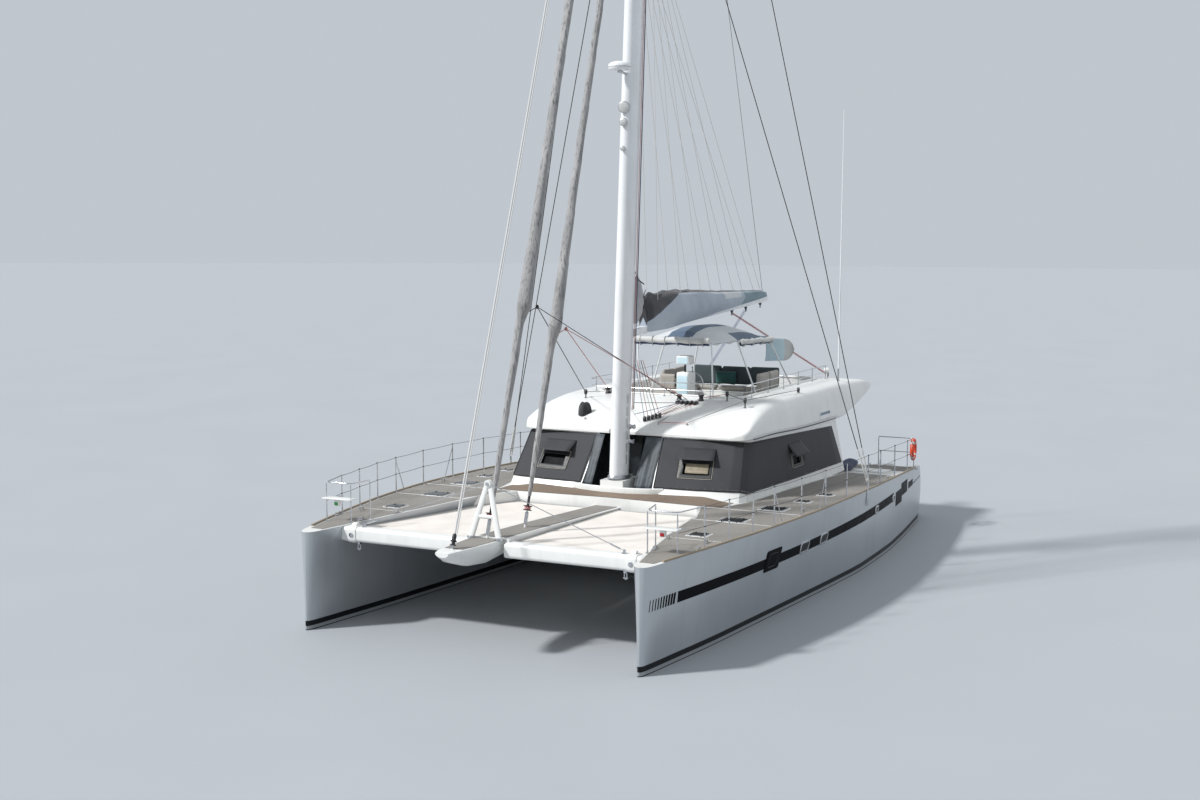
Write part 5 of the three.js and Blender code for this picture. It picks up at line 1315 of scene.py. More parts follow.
studs = [(lathe([(0.012, 0), (0.012, 0.004), (0.006, 0.008)],
                on_cabin(s, cover_heights(s)[0] + 0.045, COVER_OUT),
                (0.6, -0.3, 0.4), 8), STEEL) for s in np.linspace(COVER_S[0] + 0.05, COVER_S[1] - 0.1, 26)]
piece("cover_trim_SIDE", trim + studs)
s0, s1, low, high = VENTS[0]
blind = rounded((s1 - s0) * 0.70, (high - low) * 0.62, 0.02) + ((s0 + s1) / 2, (low + high) / 2 + 0.03)
slot_line = rounded((s1 - s0) * 0.56, 0.05, 0.02) + ((s0 + s1) / 2, low + 0.15)
piece("vent_blind", [(plate(blind, on_cabin, 0.020, 0.01), BLIND),
                     (plate(slot_line, on_cabin, 0.023, 0.01), TAN_WOOD)])

# %% Curtains in the mast's recess
def curtain(x0, x1, folds):
    """A hanging sheet between two x, its folds a sine wave across that fades towards the top."""
    x = np.linspace(x0, x1, 33)[None]
    z = np.linspace(2.56, 3.84, 14)[:, None]
    lean = (z - CABIN_LOW) / (CABIN_HIGH - CABIN_LOW)
    y = -3.27 + 0.95 * lean + 0.02 * np.sin(folds * (x - x0) / (x1 - x0) * 2 * pi) * (1.2 - lean)
    return surface(coords(x, y, z))


CLEAR_CURTAIN = plain_finish("clear_curtain", (0.045, 0.052, 0.06), (0.10, 0.115, 0.125), 5.0, 0.42, 0.003,
                             specular_ior_level=0.2)
for label, x0, x1, folds in (("port", 0.50, 1.00, 2), ("starboard", -1.00, -0.74, 1)):
    obj = piece(f"recess_curtain_{label}", [(curtain(x0, x1, folds), CLEAR_CURTAIN)],
                thickness=0.003)

# %% [markdown]
# In front of the recess a low white coaming joins the two halves of the cabin's foot. It is a
# rounded profile carried along a shallow curve ahead of the mast's step.

# %% Coaming ahead of the mast
foot_path = through([(x, y, 2.52) for x, y in ((-1.35, -3.14), (-0.85, -3.38), (0, -3.47), (0.85, -3.38),
                                               (1.35, -3.14))], 8)
piece("recess_coaming", [(sweep(foot_path, rounded(0.18, 0.07, 0.025), up=(0, 1, 0)), GELCOAT)])

# %% [markdown]
# The sliding door and its glass ride on the door's body, so the whole leaf moves together.

# %% Saloon door
low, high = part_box("saloon_door")
leaf_y = (low.y + high.y) / 2
on_door = lambda x, z, h: coords(x, leaf_y + h, z)
leaf = framed(low.x, high.x, low.z, high.z, 0.03)
pane = framed(low.x, high.x, low.z, high.z, 0.04, grow=(-0.07, -0.08))
handle = bent([(low.x + 0.12, leaf_y + out, z) for out,
               z in ((0.01, 2.35), (0.06, 2.35), (0.06, 2.65), (0.01, 2.65))],
              0.02)
piece("door_leaf", [(plate(leaf, on_door, 0.016, 0.016, hole=pane), ALUMINIUM),
                    (plate(scaled_about(pane, -0.01), on_door, 0.006, 0.006), SMOKED),
                    (tube(handle, 0.011), STEEL)],
      body="saloon_door", stands_for=["saloon_door"])

# %% [markdown]
# The hardtop is one moulded shell that overhangs the cabin, with the flybridge well sunk into it.
# Its section is a table of insets and heights, smoothed and scaled at each station, so the front
# tapers to a lip and the sides stay full. The well is cut out afterwards with a rounded tool.

# %% Hardtop
# y, half width, height of the lower edge, height of the top
ROOF = np.array([(-2.33, 2.9, 3.87, 3.93), (-2.2, 3.25, 3.865, 4.04), (-1.95, 3.38, 3.88, 4.18),
                 (-1.4, 3.4, 3.86, 4.39), (-0.7, 3.4, 3.83, 4.57), (0.2, 3.4, 3.78, 4.68),
                 (1.7, 3.4, 3.70, 4.72), (3.7, 3.4, 3.65, 4.72), (5.6, 3.4, 3.63, 4.71),
                 (7.0, 3.4, 3.84, 4.68), (8.3, 3.4, 4.15, 4.60), (9.05, 3.33, 4.33, 4.45)])
# inset from the full half width, part of the height
ROOF_SECTION = np.array([(0.12, 0), (0, 0.06), (0.01, 0.3), (0.055, 0.6), (0.15, 0.84), (0.33, 0.96),
                         (0.76, 1)])
FULL_DEPTH, CROWN = 0.9, 0.04
WELL = {"half": 2.25, "y0": 0.15, "y1": 6.9, "sole": 4.12, "corner": 0.5}


def roof_line(y):
    half, low, top = (table_line(ROOF, i, y) for i in (1, 2, 3))
    return half, low, top, np.minimum(1, (top - low) / FULL_DEPTH)


def roof_skin():
    """Rings round the roof: out along its lower side, up the section, and over the crown."""
    y = between(ROOF[:, 0], SECTIONS_EACH)[:, None]
    half, low, top, scale = roof_line(y)
    inset, part = through(ROOF_SECTION, 5).T
    side_x, side_z = half - inset * scale, low + (top - low) * part
    share = np.linspace(1, 0, 7)[1:]
    crown_x, crown_z = side_x[:, -1:] * share, top + CROWN * scale * (1 - share ** 2)
    under_x = side_x[:, :1] * np.linspace(0, 1, 5)[:-1]
    x = np.hstack([under_x, side_x, crown_x])
    z = np.hstack([low + 0 * under_x, side_z, crown_z])
    x, z = np.hstack([x, -x[:, -2::-1]]), np.hstack([z, z[:, -2::-1]])
    return surface(shut(coords(x, y, z)))


def prism(outline, z0, z1):
    """An outline carried straight up from z0 to z1."""
    return surface(shut(coords(outline[:, 0], outline[:, 1], [[z0], [z1]])))


def roof_top(x, y, h=0.0):
    """The roof's upper side: where the inset is under a section point, its part of the height."""
    x, y, h = np.broadcast_arrays(np.asarray(x, float), y, h)
    half, low, top, scale = roof_line(y)
    inset = (half - abs(x)) / scale
    part = np.interp(inset, ROOF_SECTION[2:, 0], ROOF_SECTION[2:, 1])
    crown = CROWN * scale * np.maximum(0, 1 - (x / (half - 0.76 * scale)) ** 2)
    return coords(x, y, low + (top - low) * part + crown + h)


well_plan = framed(-WELL["half"], WELL["half"], WELL["y0"], WELL["y1"], WELL["corner"], 8)
well_tool = prism(well_plan, WELL["sole"], 6.0)
in_well = lambda c, n: ((n[:, 2] > 0.9) & (abs(c[:, 2] - WELL["sole"]) < 0.02)).astype(int)
roof = piece("roof_shell", [(roof_skin(), GELCOAT)], stands_for=["hardtop"], cut=[[well_tool]], paint=in_well,
             looks=[GELCOAT, DECK_WHITE], bevel=0.012)
print("roof faces", len(roof.data.polygons))

# %% Well coaming, gutter rails and side inlets
round_well = framed(-WELL["half"], WELL["half"], WELL["y0"], WELL["y1"], WELL["corner"], 8, (0.02, 0.02))[:-1]
coaming = sweep(roof_top(round_well[:, 0], round_well[:, 1], 0.02), rounded(0.10, 0.07, 0.03), up=(0, 0, 1),
                closed=True)
GRAB = {"y0": -1.85, "y1": 5.2, "out": 0.05, "part": 0.10, "feet": 9}
grab_y = np.linspace(GRAB["y0"], GRAB["y1"], 40)
half, low, top, _ = roof_line(grab_y)
grab = coords(half + GRAB["out"], grab_y, low + (top - low) * GRAB["part"])
feet = [bar(grab[i] - (0.09, 0, 0), grab[i], 0.012, 8) for i in np.linspace(1, 38, GRAB["feet"]).astype(int)]
gutter = sweep(grab - (GRAB["out"] + 0.004, 0, 0.045), rounded(0.012, 0.03, 0.004, 2), up=(0, 0, 1))
piece("roof_grab_rail_SIDE",
      [(tube(grab, 0.016), STEEL), (gutter, BLACK_PLASTIC), *((f, STEEL) for f in feet)])


def roof_side(y, part, h):
    """The roof's side at y and a part of its height, moved outwards by h."""
    half, low, top, scale = roof_line(y)
    inset = np.interp(part, ROOF_SECTION[1:, 1], ROOF_SECTION[1:, 0])
    return coords(half - inset * scale + h, y, low + (top - low) * part)


inlet = rounded(1.05, 0.24, 0.09, 4) + (4.1, 0.25)
inlet_hole = rounded(0.93, 0.15, 0.06, 4) + (4.1, 0.25)
piece("roof_side_inlet_SIDE", [(plate(inlet, roof_side, 0.014, 0.02, hole=inlet_hole), GELCOAT),
                               (plate(scaled_about(inlet_hole, -0.01), roof_side, 0.004, 0.02), BLUE_LENS)])
piece("well_coaming", [(coaming, GELCOAT)])

# %% [markdown]
# On the roof stand winches, line blocks, clutches and pad eyes, and sheets run between them.
# A winch is a turned drum with a waist. The lines are taut, so they are straight tubes.


# %% Roof gear
WINCH_RADIUS, WINCH_HEIGHT = 0.085, 0.16


def winch(base):
    """A drum turned from its skirt, waist, flared top and cap."""
    r, h = WINCH_RADIUS, WINCH_HEIGHT
    drum = [(r, 0), (r, 0.1 * h), (0.8 * r, 0.2 * h), (0.66 * r, 0.5 * h), (0.72 * r, 0.72 * h),
            (0.98 * r, 0.84 * h),
            (0.98 * r, 0.93 * h), (0.5 * r, h), (0.2 * r, h)]
    return [(lathe(drum, base, sides=20), BLACK_PLASTIC),
            (lathe([(0.35 * r, h), (0.35 * r, 1.04 * h), (0.2 * r, 1.06 * h)], base, sides=12), STEEL)]


def line_block(base, high):
    """An upright block: an oval cheek on a stem, over a round foot."""
    top = base + (0, 0, high)
    cheek = sweep(straight(top - (0.028, 0, 0), top + (0.028, 0, 0)), circle(14) * (0.055, 0.075),
                  up=(0, 0, 1))
    return [(cheek, BLACK_PLASTIC), (bar(base - (0, 0, 0.02), top, 0.018, 8), BLACK_PLASTIC),
            (lathe([(0.05, 0), (0.05, 0.012), (0.03, 0.02)], base), STEEL)]


def pad_eye(base):
    """Half an oval of rod, fore and aft, on a round foot."""
    t = np.linspace(0, pi, 9)
    return [(tube(base + coords(0, 0.03 * np.cos(t), 0.045 * np.sin(t)), 0.008, 6), STEEL),
            (lathe([(0.045, 0), (0.045, 0.006), (0.02, 0.01)], base, sides=12), STEEL)]


# x, y on the roof of each winch, turning block, pad eye and clutch, and x, y, height of the upright blocks
WINCHES = [(-1.81, 0.02), (1.25, -0.35), (0.62, -0.42)]
TURNING = [(0.26 + 0.09 * i, -1.95 + 0.05 * i) for i in range(5)]
BLOCKS = [(1.97, -0.22, 0.20), (2.70, -0.74, 0.20), (-2.21, -0.61, 0.17), (-1.30, -0.25, 0.15),
          (3.05, 2.64, 0.08)]
EYES = [(0.70, -2.02), (1.53, -1.98), (-0.70, -2.02), (-1.53, -1.98)]
CLUTCHES = [(0.72 + 0.13 * i, -0.72) for i in range(5)]
gear = [g for x, y in WINCHES for g in winch(roof_top(x, y))]
gear += [g for x, y, high in BLOCKS for g in line_block(roof_top(x, y), high)]
gear += [g for x, y in EYES for g in pad_eye(roof_top(x, y))]
gear += [g for x, y in TURNING for g in line_block(roof_top(x, y), 0.07)]
for x, y in CLUTCHES:
    at = roof_top(x, y)
    gear += [(block(at - (0.045, 0.13, 0.01), at + (0.045, 0.13, 0.075), 0.02), BLACK_PLASTIC),
             (block(at + (-0.02, -0.12, 0.06), at + (0.02, 0.06, 0.10), 0.01), ALUMINIUM)]
piece("roof_gear", gear)

# %% Covered fitting on the starboard roof
t, u = np.meshgrid(np.linspace(0, pi / 2, 9), np.linspace(0, 2 * pi, 25), indexing="ij")
wobble = 1 + 0.16 * np.sin(3 * u) + 0.07 * np.sin(5 * u + 1)
bump_x, bump_y = 0.19 * np.cos(t) * np.cos(u) * wobble, 0.17 * np.cos(t) * np.sin(u) * wobble
bump = roof_top(-1.71 + bump_x, -1.70 + bump_y)
bump[..., 2] += 0.30 * np.sin(t) * (1 + 0.25 * np.sin(3 * u) * np.cos(t)) - 0.01
cover = piece("winch_cover", [(surface(bump), BINDING)], thickness=0.003)

# %% Sheets and control lines on the roof
line_z = 0.07
spots = {"mast": np.array((0.16, -2.42, 4.75)), "clutch": roof_top(0.85, -0.9, line_z),
         "eye1": roof_top(*EYES[0], 0.05), "eye2": roof_top(*EYES[1], 0.05),
         "winch": roof_top(*WINCHES[1], line_z),
         "mast_port": np.array((0.22, -2.5, 4.45)), "mast_star": np.array((-0.2, -2.5, 4.7)),
         **{name: roof_top(*at) for name, at in zip(("post1", "post2", "star1", "star2", "aft"), BLOCKS)}}
LINES = [("eye1", "eye2", RED_ROPE), ("eye1", "winch", GREY_ROPE), ("eye2", "post2", GREY_ROPE),
         ("post2", "aft", GREY_ROPE), ("post1", "winch", RED_ROPE), ("mast_port", "clutch", BLUE_ROPE),
         ("mast", "clutch", GREY_ROPE), ("post1", "post2", BLACK_ROPE), ("star1", "star2", GREY_ROPE),
         ("star2", "mast_star", BLACK_ROPE)]
runs = [(bar(spots[a], spots[b], 0.009, 6, 3), look) for a, b, look in LINES]
for i, look in enumerate((BLUE_ROPE, RED_ROPE, WHITE_ROPE, BLACK_ROPE, RED_ROPE)):
    turn_at = roof_top(*TURNING[i], 0.07)
    runs += [(bar((0.15 + 0.06 * i, -2.36, 5.9), turn_at, 0.008, 6, 6), look),
             (bar(turn_at, roof_top(CLUTCHES[i][0], -0.9, 0.05), 0.008, 6, 6), look)]
piece("roof_lines", runs)

# %% [markdown]
# The helm stands in the well: a console with a screen, a five-spoked wheel on its own body, and
# seats. The upholstery is foam under cloth, so each cushion starts as a rounded block and is
# inflated by a short cloth simulation, which pulls its sides in between the corners.

# %% Helm console and wheel
SOLE = WELL["sole"]
CONSOLE = {"x": 0.33, "front": 0.45, "back": 1.0, "top": 5.34, "half": 0.19}
POD = {"z0": 5.56, "z1": 5.80, "half": 0.2, "front": 0.47, "back": 0.86}
c = CONSOLE
dash = [(block((c["x"] - c["half"], c["front"], SOLE), (c["x"] + c["half"], c["back"], c["top"]), 0.05, 4),
         GELCOAT),
        (block((c["x"] - POD["half"], POD["front"], POD["z0"]),
               (c["x"] + POD["half"], POD["back"], POD["z1"]), 0.03, 4), GELCOAT),
        (bar((c["x"], 0.66, c["top"] - 0.02), (c["x"], 0.66, POD["z0"] + 0.02), 0.03), BLACK_PLASTIC)]
for x in (-0.11, 0.0, 0.11):
    gauge = turned(lathe([(0.045, 0), (0.045, 0.012), (0.036, 0.016)], (0, 0, 0), sides=20), "X", -pi / 2)
    dash.append((moved(gauge, (c["x"] + x, c["back"] - 0.004, 5.22)), BLACK_PLASTIC))
pod_back = lambda x, z, h: coords(x, POD["back"] + h, z)
pod_front = lambda x, z, h: coords(x, POD["front"] - h, z)
front = lambda x, z, h: coords(x, CONSOLE["front"] - h, z)
screen = rounded(0.34, 0.19, 0.03) + (c["x"], (POD["z0"] + POD["z1"]) / 2)
dash += [(plate(screen, pod_back, 0.012, 0.01), BLACK_GLASS),
         (plate(screen, pod_front, 0.008, 0.01), PALE_BLUE),
         (plate(rounded(0.32, 0.80, 0.04) + (c["x"], 4.85), front, 0.008, 0.01), PALE_BLUE),
         (lathe([(0.012, 0), (0.010, 0.10), (0.018, 0.11), (0.018, 0.14)], (c["x"] + 0.14, 0.86, c["top"])),
          BLACK_PLASTIC)]
for z in (4.9, 5.15):
    dash.append((block((c["x"] - c["half"] - 0.12, 0.6, z), (c["x"] - c["half"] + 0.01, 0.8, z + 0.16), 0.02),
                 BLACK_PLASTIC))
piece("console_instruments", dash, stands_for=["helm_console"])

WHEEL = {"at": (0.33, 1.19, 4.96), "radius": 0.33, "rim": 0.016, "spokes": 5}
ring = WHEEL["radius"] * circle(60)[:-1]
rim_path = coords(ring[:, 0], 0, ring[:, 1]) + WHEEL["at"]
wheel = [(tube(rim_path, WHEEL["rim"], 12, closed=True), STEEL),
         (lathe([(0.048, -0.044), (0.048, 0.01), (0.04, 0.028), (0.02, 0.034)], WHEEL["at"], (0, 1, 0)),
          STEEL)]
for i in range(WHEEL["spokes"]):
    angle = pi / 2 + i * 2 * pi / WHEEL["spokes"]
    way = np.array((cos(angle), 0, sin(angle)))
    wheel.append((bar(WHEEL["at"] + 0.03 * way, WHEEL["at"] + WHEEL["radius"] * way, 0.009, 8, 4), STEEL))
piece("wheel", wheel, body="steering_wheel", stands_for=["steering_wheel"])


# %% Cushions
SWELL = {"voxel": 0.03, "cap": 0.02, "pressure": 4.0, "frames": 20, "shrink": 0.022}


def inflate(obj):
    """Voxel remesh, then cloth under pressure without gravity. No point moves further than the cap."""
    remesh = obj.modifiers.new("even mesh", "REMESH")
    remesh.mode, remesh.voxel_size = "VOXEL", SWELL["voxel"]
    apply_modifiers(obj)
    rest = np.empty(len(obj.data.vertices) * 3)
    obj.data.vertices.foreach_get("co", rest)
    swell = obj.modifiers.new("swell", "CLOTH")
    swell.settings.use_pressure, swell.settings.uniform_pressure_force = True, SWELL["pressure"]
    swell.settings.effector_weights.gravity = 0
    swell.settings.quality = 4
    for number in range(1, SWELL["frames"] + 1):
        bpy.context.scene.frame_set(number)
    graph = bpy.context.evaluated_depsgraph_get()
    swollen = np.empty_like(rest)
    obj.evaluated_get(graph).to_mesh().vertices.foreach_get("co", swollen)
    step = (swollen - rest).reshape(-1, 3)
    share = np.minimum(1, SWELL["cap"] / np.maximum(np.linalg.norm(step, axis=1, keepdims=True), 1e-9))
    obj.modifiers.clear()
    obj.data.vertices.foreach_set("co", (rest.reshape(-1, 3) + step * share).ravel())
    bpy.context.scene.frame_set(1)


def cushion(low, high):
    """A block a little smaller than the cushion, so that it has room to swell."""
    return block(np.asarray(low) + SWELL["shrink"], np.asarray(high) - SWELL["shrink"], 0.045, 4)


def box_uv(mesh):
    """UV in metres on a mesh of any shape: each face takes the two axes its normal points along least."""
    normals = np.empty(len(mesh.polygons) * 3)
    mesh.polygons.foreach_get("normal", normals)
    face_axis = np.argmax(abs(normals.reshape(-1, 3)), axis=1)
    sizes, corners = np.empty(len(mesh.polygons), int), np.empty(len(mesh.loops), int)
    mesh.polygons.foreach_get("loop_total", sizes)
    mesh.loops.foreach_get("vertex_index", corners)
    points = np.empty(len(mesh.vertices) * 3)
    mesh.vertices.foreach_get("co", points)
    kept = np.array([(1, 2), (0, 2), (0, 1)])[np.repeat(face_axis, sizes)]
    uv = np.take_along_axis(points.reshape(-1, 3)[corners], kept, axis=1)
    mesh.uv_layers.new(name="UVMap").data.foreach_set("uv", uv.ravel())


def upholster(name, blocks, look, nodes=()):
    """One piece of several cushions, swollen together and then subdivided once."""
    obj = linked(name, mesh_of(name, [(cushion(*b), look) for b in blocks]))
    inflate(obj)
    dress(obj.data, [look])
    box_uv(obj.data)
    obj.data.shade_smooth()
    rounder = obj.modifiers.new("rounder", "SUBSURF")
    rounder.levels = rounder.render_levels = 1
    settle(obj, "hull_assembly", nodes)


SOFA = {"x0": -1.5, "x1": 1.75, "y0": 3.0, "y1": 5.3, "deep": 0.62, "seat": 4.56, "back": 5.18, "rest": 0.17}
HELM_SEAT = {"x": -0.9, "y": 2.05, "wide": 0.62, "deep": 0.52, "seat": 4.62, "back": 5.15}


def in_row(x0, x1, count):
    """The (from, to) pairs of a row of cushions."""
    edges = np.linspace(x0, x1, count + 1)
    return list(zip(edges[:-1], edges[1:]))


SOFA_ROW = in_row(SOFA["x0"] + SOFA["rest"], SOFA["x1"] - SOFA["rest"], 3)


def sofa_cushions():
    """Seats in a U: three along the back and two down each arm, and a back rest behind each arm's."""
    s, seat_low, back_low = SOFA, SOFA["seat"] - 0.14, SOFA["seat"] - 0.03
    blocks = [((a, s["y1"] - s["deep"], seat_low), (b, s["y1"] - s["rest"], s["seat"])) for a, b in SOFA_ROW]
    for a, b in in_row(s["y0"], s["y1"] - s["deep"], 2):
        for x_out, way in ((s["x0"], 1), (s["x1"], -1)):
            xs = lambda near, far: sorted((x_out + way * near, x_out + way * far))
            (p, q), (v, w) = xs(s["rest"], s["deep"]), xs(0, s["rest"])
            blocks += [((p, a, seat_low), (q, b, s["seat"])), ((v, a, back_low), (w, b, s["back"]))]
    return blocks


def seat_base(x0, x1, y0, y1, z1, z0=SOLE):
    return (block((x0, y0, z0), (x1, y1, z1), 0.03), GELCOAT)


s = SOFA
bases = [seat_base(s["x0"] + 0.02, s["x1"] - 0.02, s["y1"] - s["deep"] + 0.02, s["y1"] - 0.02,
                   s["seat"] - 0.15),
         seat_base(s["x0"] + 0.03, s["x0"] + s["deep"] - 0.02, s["y0"] + 0.02, s["y1"] - s["deep"] + 0.04,
                   s["seat"] - 0.16),
         seat_base(s["x1"] - s["deep"] + 0.02, s["x1"] - 0.03, s["y0"] + 0.02, s["y1"] - s["deep"] + 0.04,
                   s["seat"] - 0.16)]
h = HELM_SEAT
hx0, hx1 = h["x"] - h["wide"] / 2, h["x"] + h["wide"] / 2
hy0, hy1 = h["y"] - h["deep"] / 2, h["y"] + h["deep"] / 2
bases += [seat_base(hx0 + 0.06, hx1 - 0.06, hy0 + 0.04, hy1 - 0.04, h["seat"] - 0.13)]
piece("seat_bases", bases)
upholster("sofa_cushions", sofa_cushions(), BEIGE, ["flybridge_sofa"])
upholster("sofa_back", [((a, s["y1"] - s["rest"], s["seat"] - 0.03), (b, s["y1"], s["back"]))
                        for a, b in SOFA_ROW], SLATE)
upholster("helm_cushions", [((hx0, hy0, h["seat"] - 0.14), (hx1, hy1 - 0.13, h["seat"])),
                            ((hx0, hy1 - 0.14, h["seat"] - 0.03),
                             (hx1, hy1, h["back"]))], BEIGE, ["helm_seat"])
upholster("teal_cushion",
          [((-0.50, s["y1"] - s["rest"] - 0.22, s["seat"] - 0.01), (0.22, s["y1"] - s["rest"] - 0.01, 5.02))],
          TEAL)

# %% Cockpit sofa and table
COCKPIT = {"half": 1.9, "y0": 7.15, "y1": 7.95, "seat": 1.96, "back": 2.33, "rest": 0.18, "sole": 1.5}
c = COCKPIT
row = in_row(-c["half"], c["half"], 3)
blocks = [((a, c["y0"], c["seat"] - 0.14), (b, c["y1"] - c["rest"], c["seat"])) for a, b in row]
blocks += [((a, c["y1"] - c["rest"], c["seat"] - 0.03), (b, c["y1"], c["back"])) for a, b in row]
upholster("cockpit_cushions", blocks, BEIGE, ["cockpit_sofa"])
piece("cockpit_seat_base", [seat_base(-c["half"] + 0.02, c["half"] - 0.02, c["y0"] + 0.03, c["y1"] - 0.02,
                                      c["seat"] - 0.15, c["sole"])])
table_top = block((-0.9, 5.95, 2.19), (0.9, 6.75, 2.23), 0.018)
table = [((table_top[0], table_top[0][..., [1, 0]]), VARNISHED)]
for x in (-0.5, 0.5):
    table.append((lathe([(0.16, 0.0), (0.16, 0.02), (0.05, 0.04), (0.045, 0.06), (0.045, 0.66), (0.12, 0.69)],
                        (x, 6.35, c["sole"] + 0.002)), STEEL))
piece("dining_table", table, stands_for=["cockpit_table"])
sole_x = np.linspace(-2.62, 2.62, 20)[:, None]
sole_y = np.linspace(5.25, 7.1, 8)[None]
sole = coords(sole_x, sole_y, c["sole"] + TEAK_HIGH)
piece("cockpit_sole", [(thick(sole, sole[..., :2]), TEAK)])

# %% [markdown]
# The bimini is one sheet of canvas over a tubular frame: high in the middle, low at both ends, and
# arched from side to side. Its rolled-up curtains are bound to the end bows with straps.

# %% Bimini canopy
BIMINI = {"half": 1.15, "y0": 0.52, "y1": 5.4, "z0": 6.20, "z1": 6.08, "crown": 0.42, "tube": 0.022}
CANOPY_HIGH = 0.012


def bimini_z(x, y):
    """Ends lower than the middle: crown * (0.25 + 3 t (1 - t)), faded in over a sixth at each end,
    times one minus (x / half) squared."""
    b = BIMINI
    t = (y - b["y0"]) / (b["y1"] - b["y0"])
    arch = (0.25 + 3 * t * (1 - t)) * np.clip(np.minimum(t, 1 - t) * 6, 0, 1)
    return b["z0"] + (b["z1"] - b["z0"]) * t + b["crown"] * arch * (1 - (x / b["half"]) ** 2)


def canopy():
    """The sheet and a scalloped edge on each side that dips between the ties."""
    b = BIMINI
    y = np.linspace(b["y0"], b["y1"], 90)[:, None]
    x = np.linspace(-b["half"], b["half"], 61)[None]
    t = (y - b["y0"]) / (b["y1"] - b["y0"])
    tight = 0.012 * np.cos(t * 6 * pi) * (1 - (x / b["half"]) ** 2)
    top = coords(x, y, bimini_z(x, y) + CANOPY_HIGH + tight)
    drop = 0.05 + 0.05 * np.sin(t * 5 * pi) ** 2
    part = np.linspace(0, 1, 4)
    skirts = [coords(s * (b["half"] + 0.004 * part), y, bimini_z(b["half"], y) + CANOPY_HIGH - drop * part)
              for s in (-1, 1)]
    return [(surface(top), BIMINI_BLUE)] + [(surface(skirt), PALE_CANVAS) for skirt in skirts]


def light_panels(c, n):
    """1, the light cloth, on a strip down each side and on the front corners, 0, the blue, elsewhere."""
    side = abs(c[:, 0])
    return ((side > 0.40) & ((side < 0.86) | (c[:, 1] < 2.6))).astype(int)


bimini = piece("bimini_cloth", canopy(), stands_for=["bimini_canopy"], thickness=0.003,
               sharp=60,
               paint=light_panels, looks=[BIMINI_BLUE, PALE_CANVAS])

# %% Rolled curtains and their straps
def rolled_curtain(start, end, radius, straps):
    """A roll of cloth with a blue band low on it, its radius a little uneven, held by flat straps."""
    count = 50
    path = straight(start, end, count)
    way = unit(path[-1] - path[0])
    side = np.cross(way, (0, 0, 1.0))
    wave = np.linspace(0, 20, count)
    path[:, 2] += 0.008 * np.sin(0.7 * wave)
    parts = [(sweep(path, circle(18), radius * (1 + 0.07 * np.sin(1.9 * wave)), up=side), SAIL_WHITE),
             (sweep(path - (0, 0, 0.75 * radius), circle(14) * (0.85, 0.5),
                    radius * (0.9 + 0.1 * np.sin(wave)), up=side), NAVY_CANVAS)]
    ring = circle(20)[:-1] * (radius * 1.14, radius * 1.35)
    for part in np.linspace(0.08, 0.92, straps):
        middle = path[0] + part * (path[-1] - path[0]) - (0, 0, 0.3 * radius)
        loop = middle + ring[:, :1] * side + ring[:, 1:] * np.array((0, 0, 1.0))
        parts.append((sweep(loop, rounded(0.04, 0.004, 0.0015, 1), up=way, closed=True), SAIL_WHITE))
    return parts


b = BIMINI
rolls = rolled_curtain((-1.15, b["y0"] - 0.07, 6.25), (1.15, b["y0"] - 0.07, 6.25), 0.09, 6)
rolls += rolled_curtain((-1.1, b["y1"] - 0.03, 6.02), (1.1, b["y1"] - 0.03, 6.02), 0.06, 6)
for x in (-1.24, 1.24):
    rolls += rolled_curtain((x, 2.65, 6.09), (x, b["y1"] - 0.08, 6.02), 0.075, 4)
piece("rolled_curtains", rolls)

# %% [markdown]
# One window curtain hangs loose from a spreader at the aft corner. It is a pale clear panel with a
# rounded border of white cloth, and the breeze pushes its middle aft.

# %% Loose aft curtain and its spreader
CURTAIN = {"x": (0.98, 1.68), "y": (b["y1"] + 0.05, b["y1"] + 0.70), "low": 5.32, "high": 6.0, "border": 0.66}
part_x, part_z = np.linspace(0, 1, 40)[:, None], np.linspace(-1, 1, 17)
round_off = np.sqrt(1 - 0.98 * np.clip((part_x - CURTAIN["border"]) / (1 - CURTAIN["border"]), 0, 1) ** 2)
middle, half_high = (CURTAIN["high"] + CURTAIN["low"]) / 2, (CURTAIN["high"] - CURTAIN["low"]) / 2
breeze = 0.09 * np.cos(pi / 2 * part_z) + 0.02 * np.sin(8 * part_x)
blown = coords(np.interp(part_x, (0, 1), CURTAIN["x"]), np.interp(part_x, (0, 1), CURTAIN["y"]) + breeze,
               middle + half_high * part_z * round_off)
border_faces = lambda c, n: (c[:, 0] > np.interp(CURTAIN["border"], (0, 1), CURTAIN["x"])).astype(int)
hanging = piece("aft_curtain", [(surface(blown), PALE_BLUE)], thickness=0.004,
                paint=border_faces,
                looks=[PALE_BLUE, SAIL_WHITE])
spreader = bar((CURTAIN["x"][0] - 0.08, b["y1"] - 0.06, 6.04),
               (CURTAIN["x"][1] - 0.22, CURTAIN["y"][1] - 0.20, CURTAIN["high"] + 0.012), 0.013, count=6)
piece("curtain_spreader", [(spreader, MAST_WHITE)])

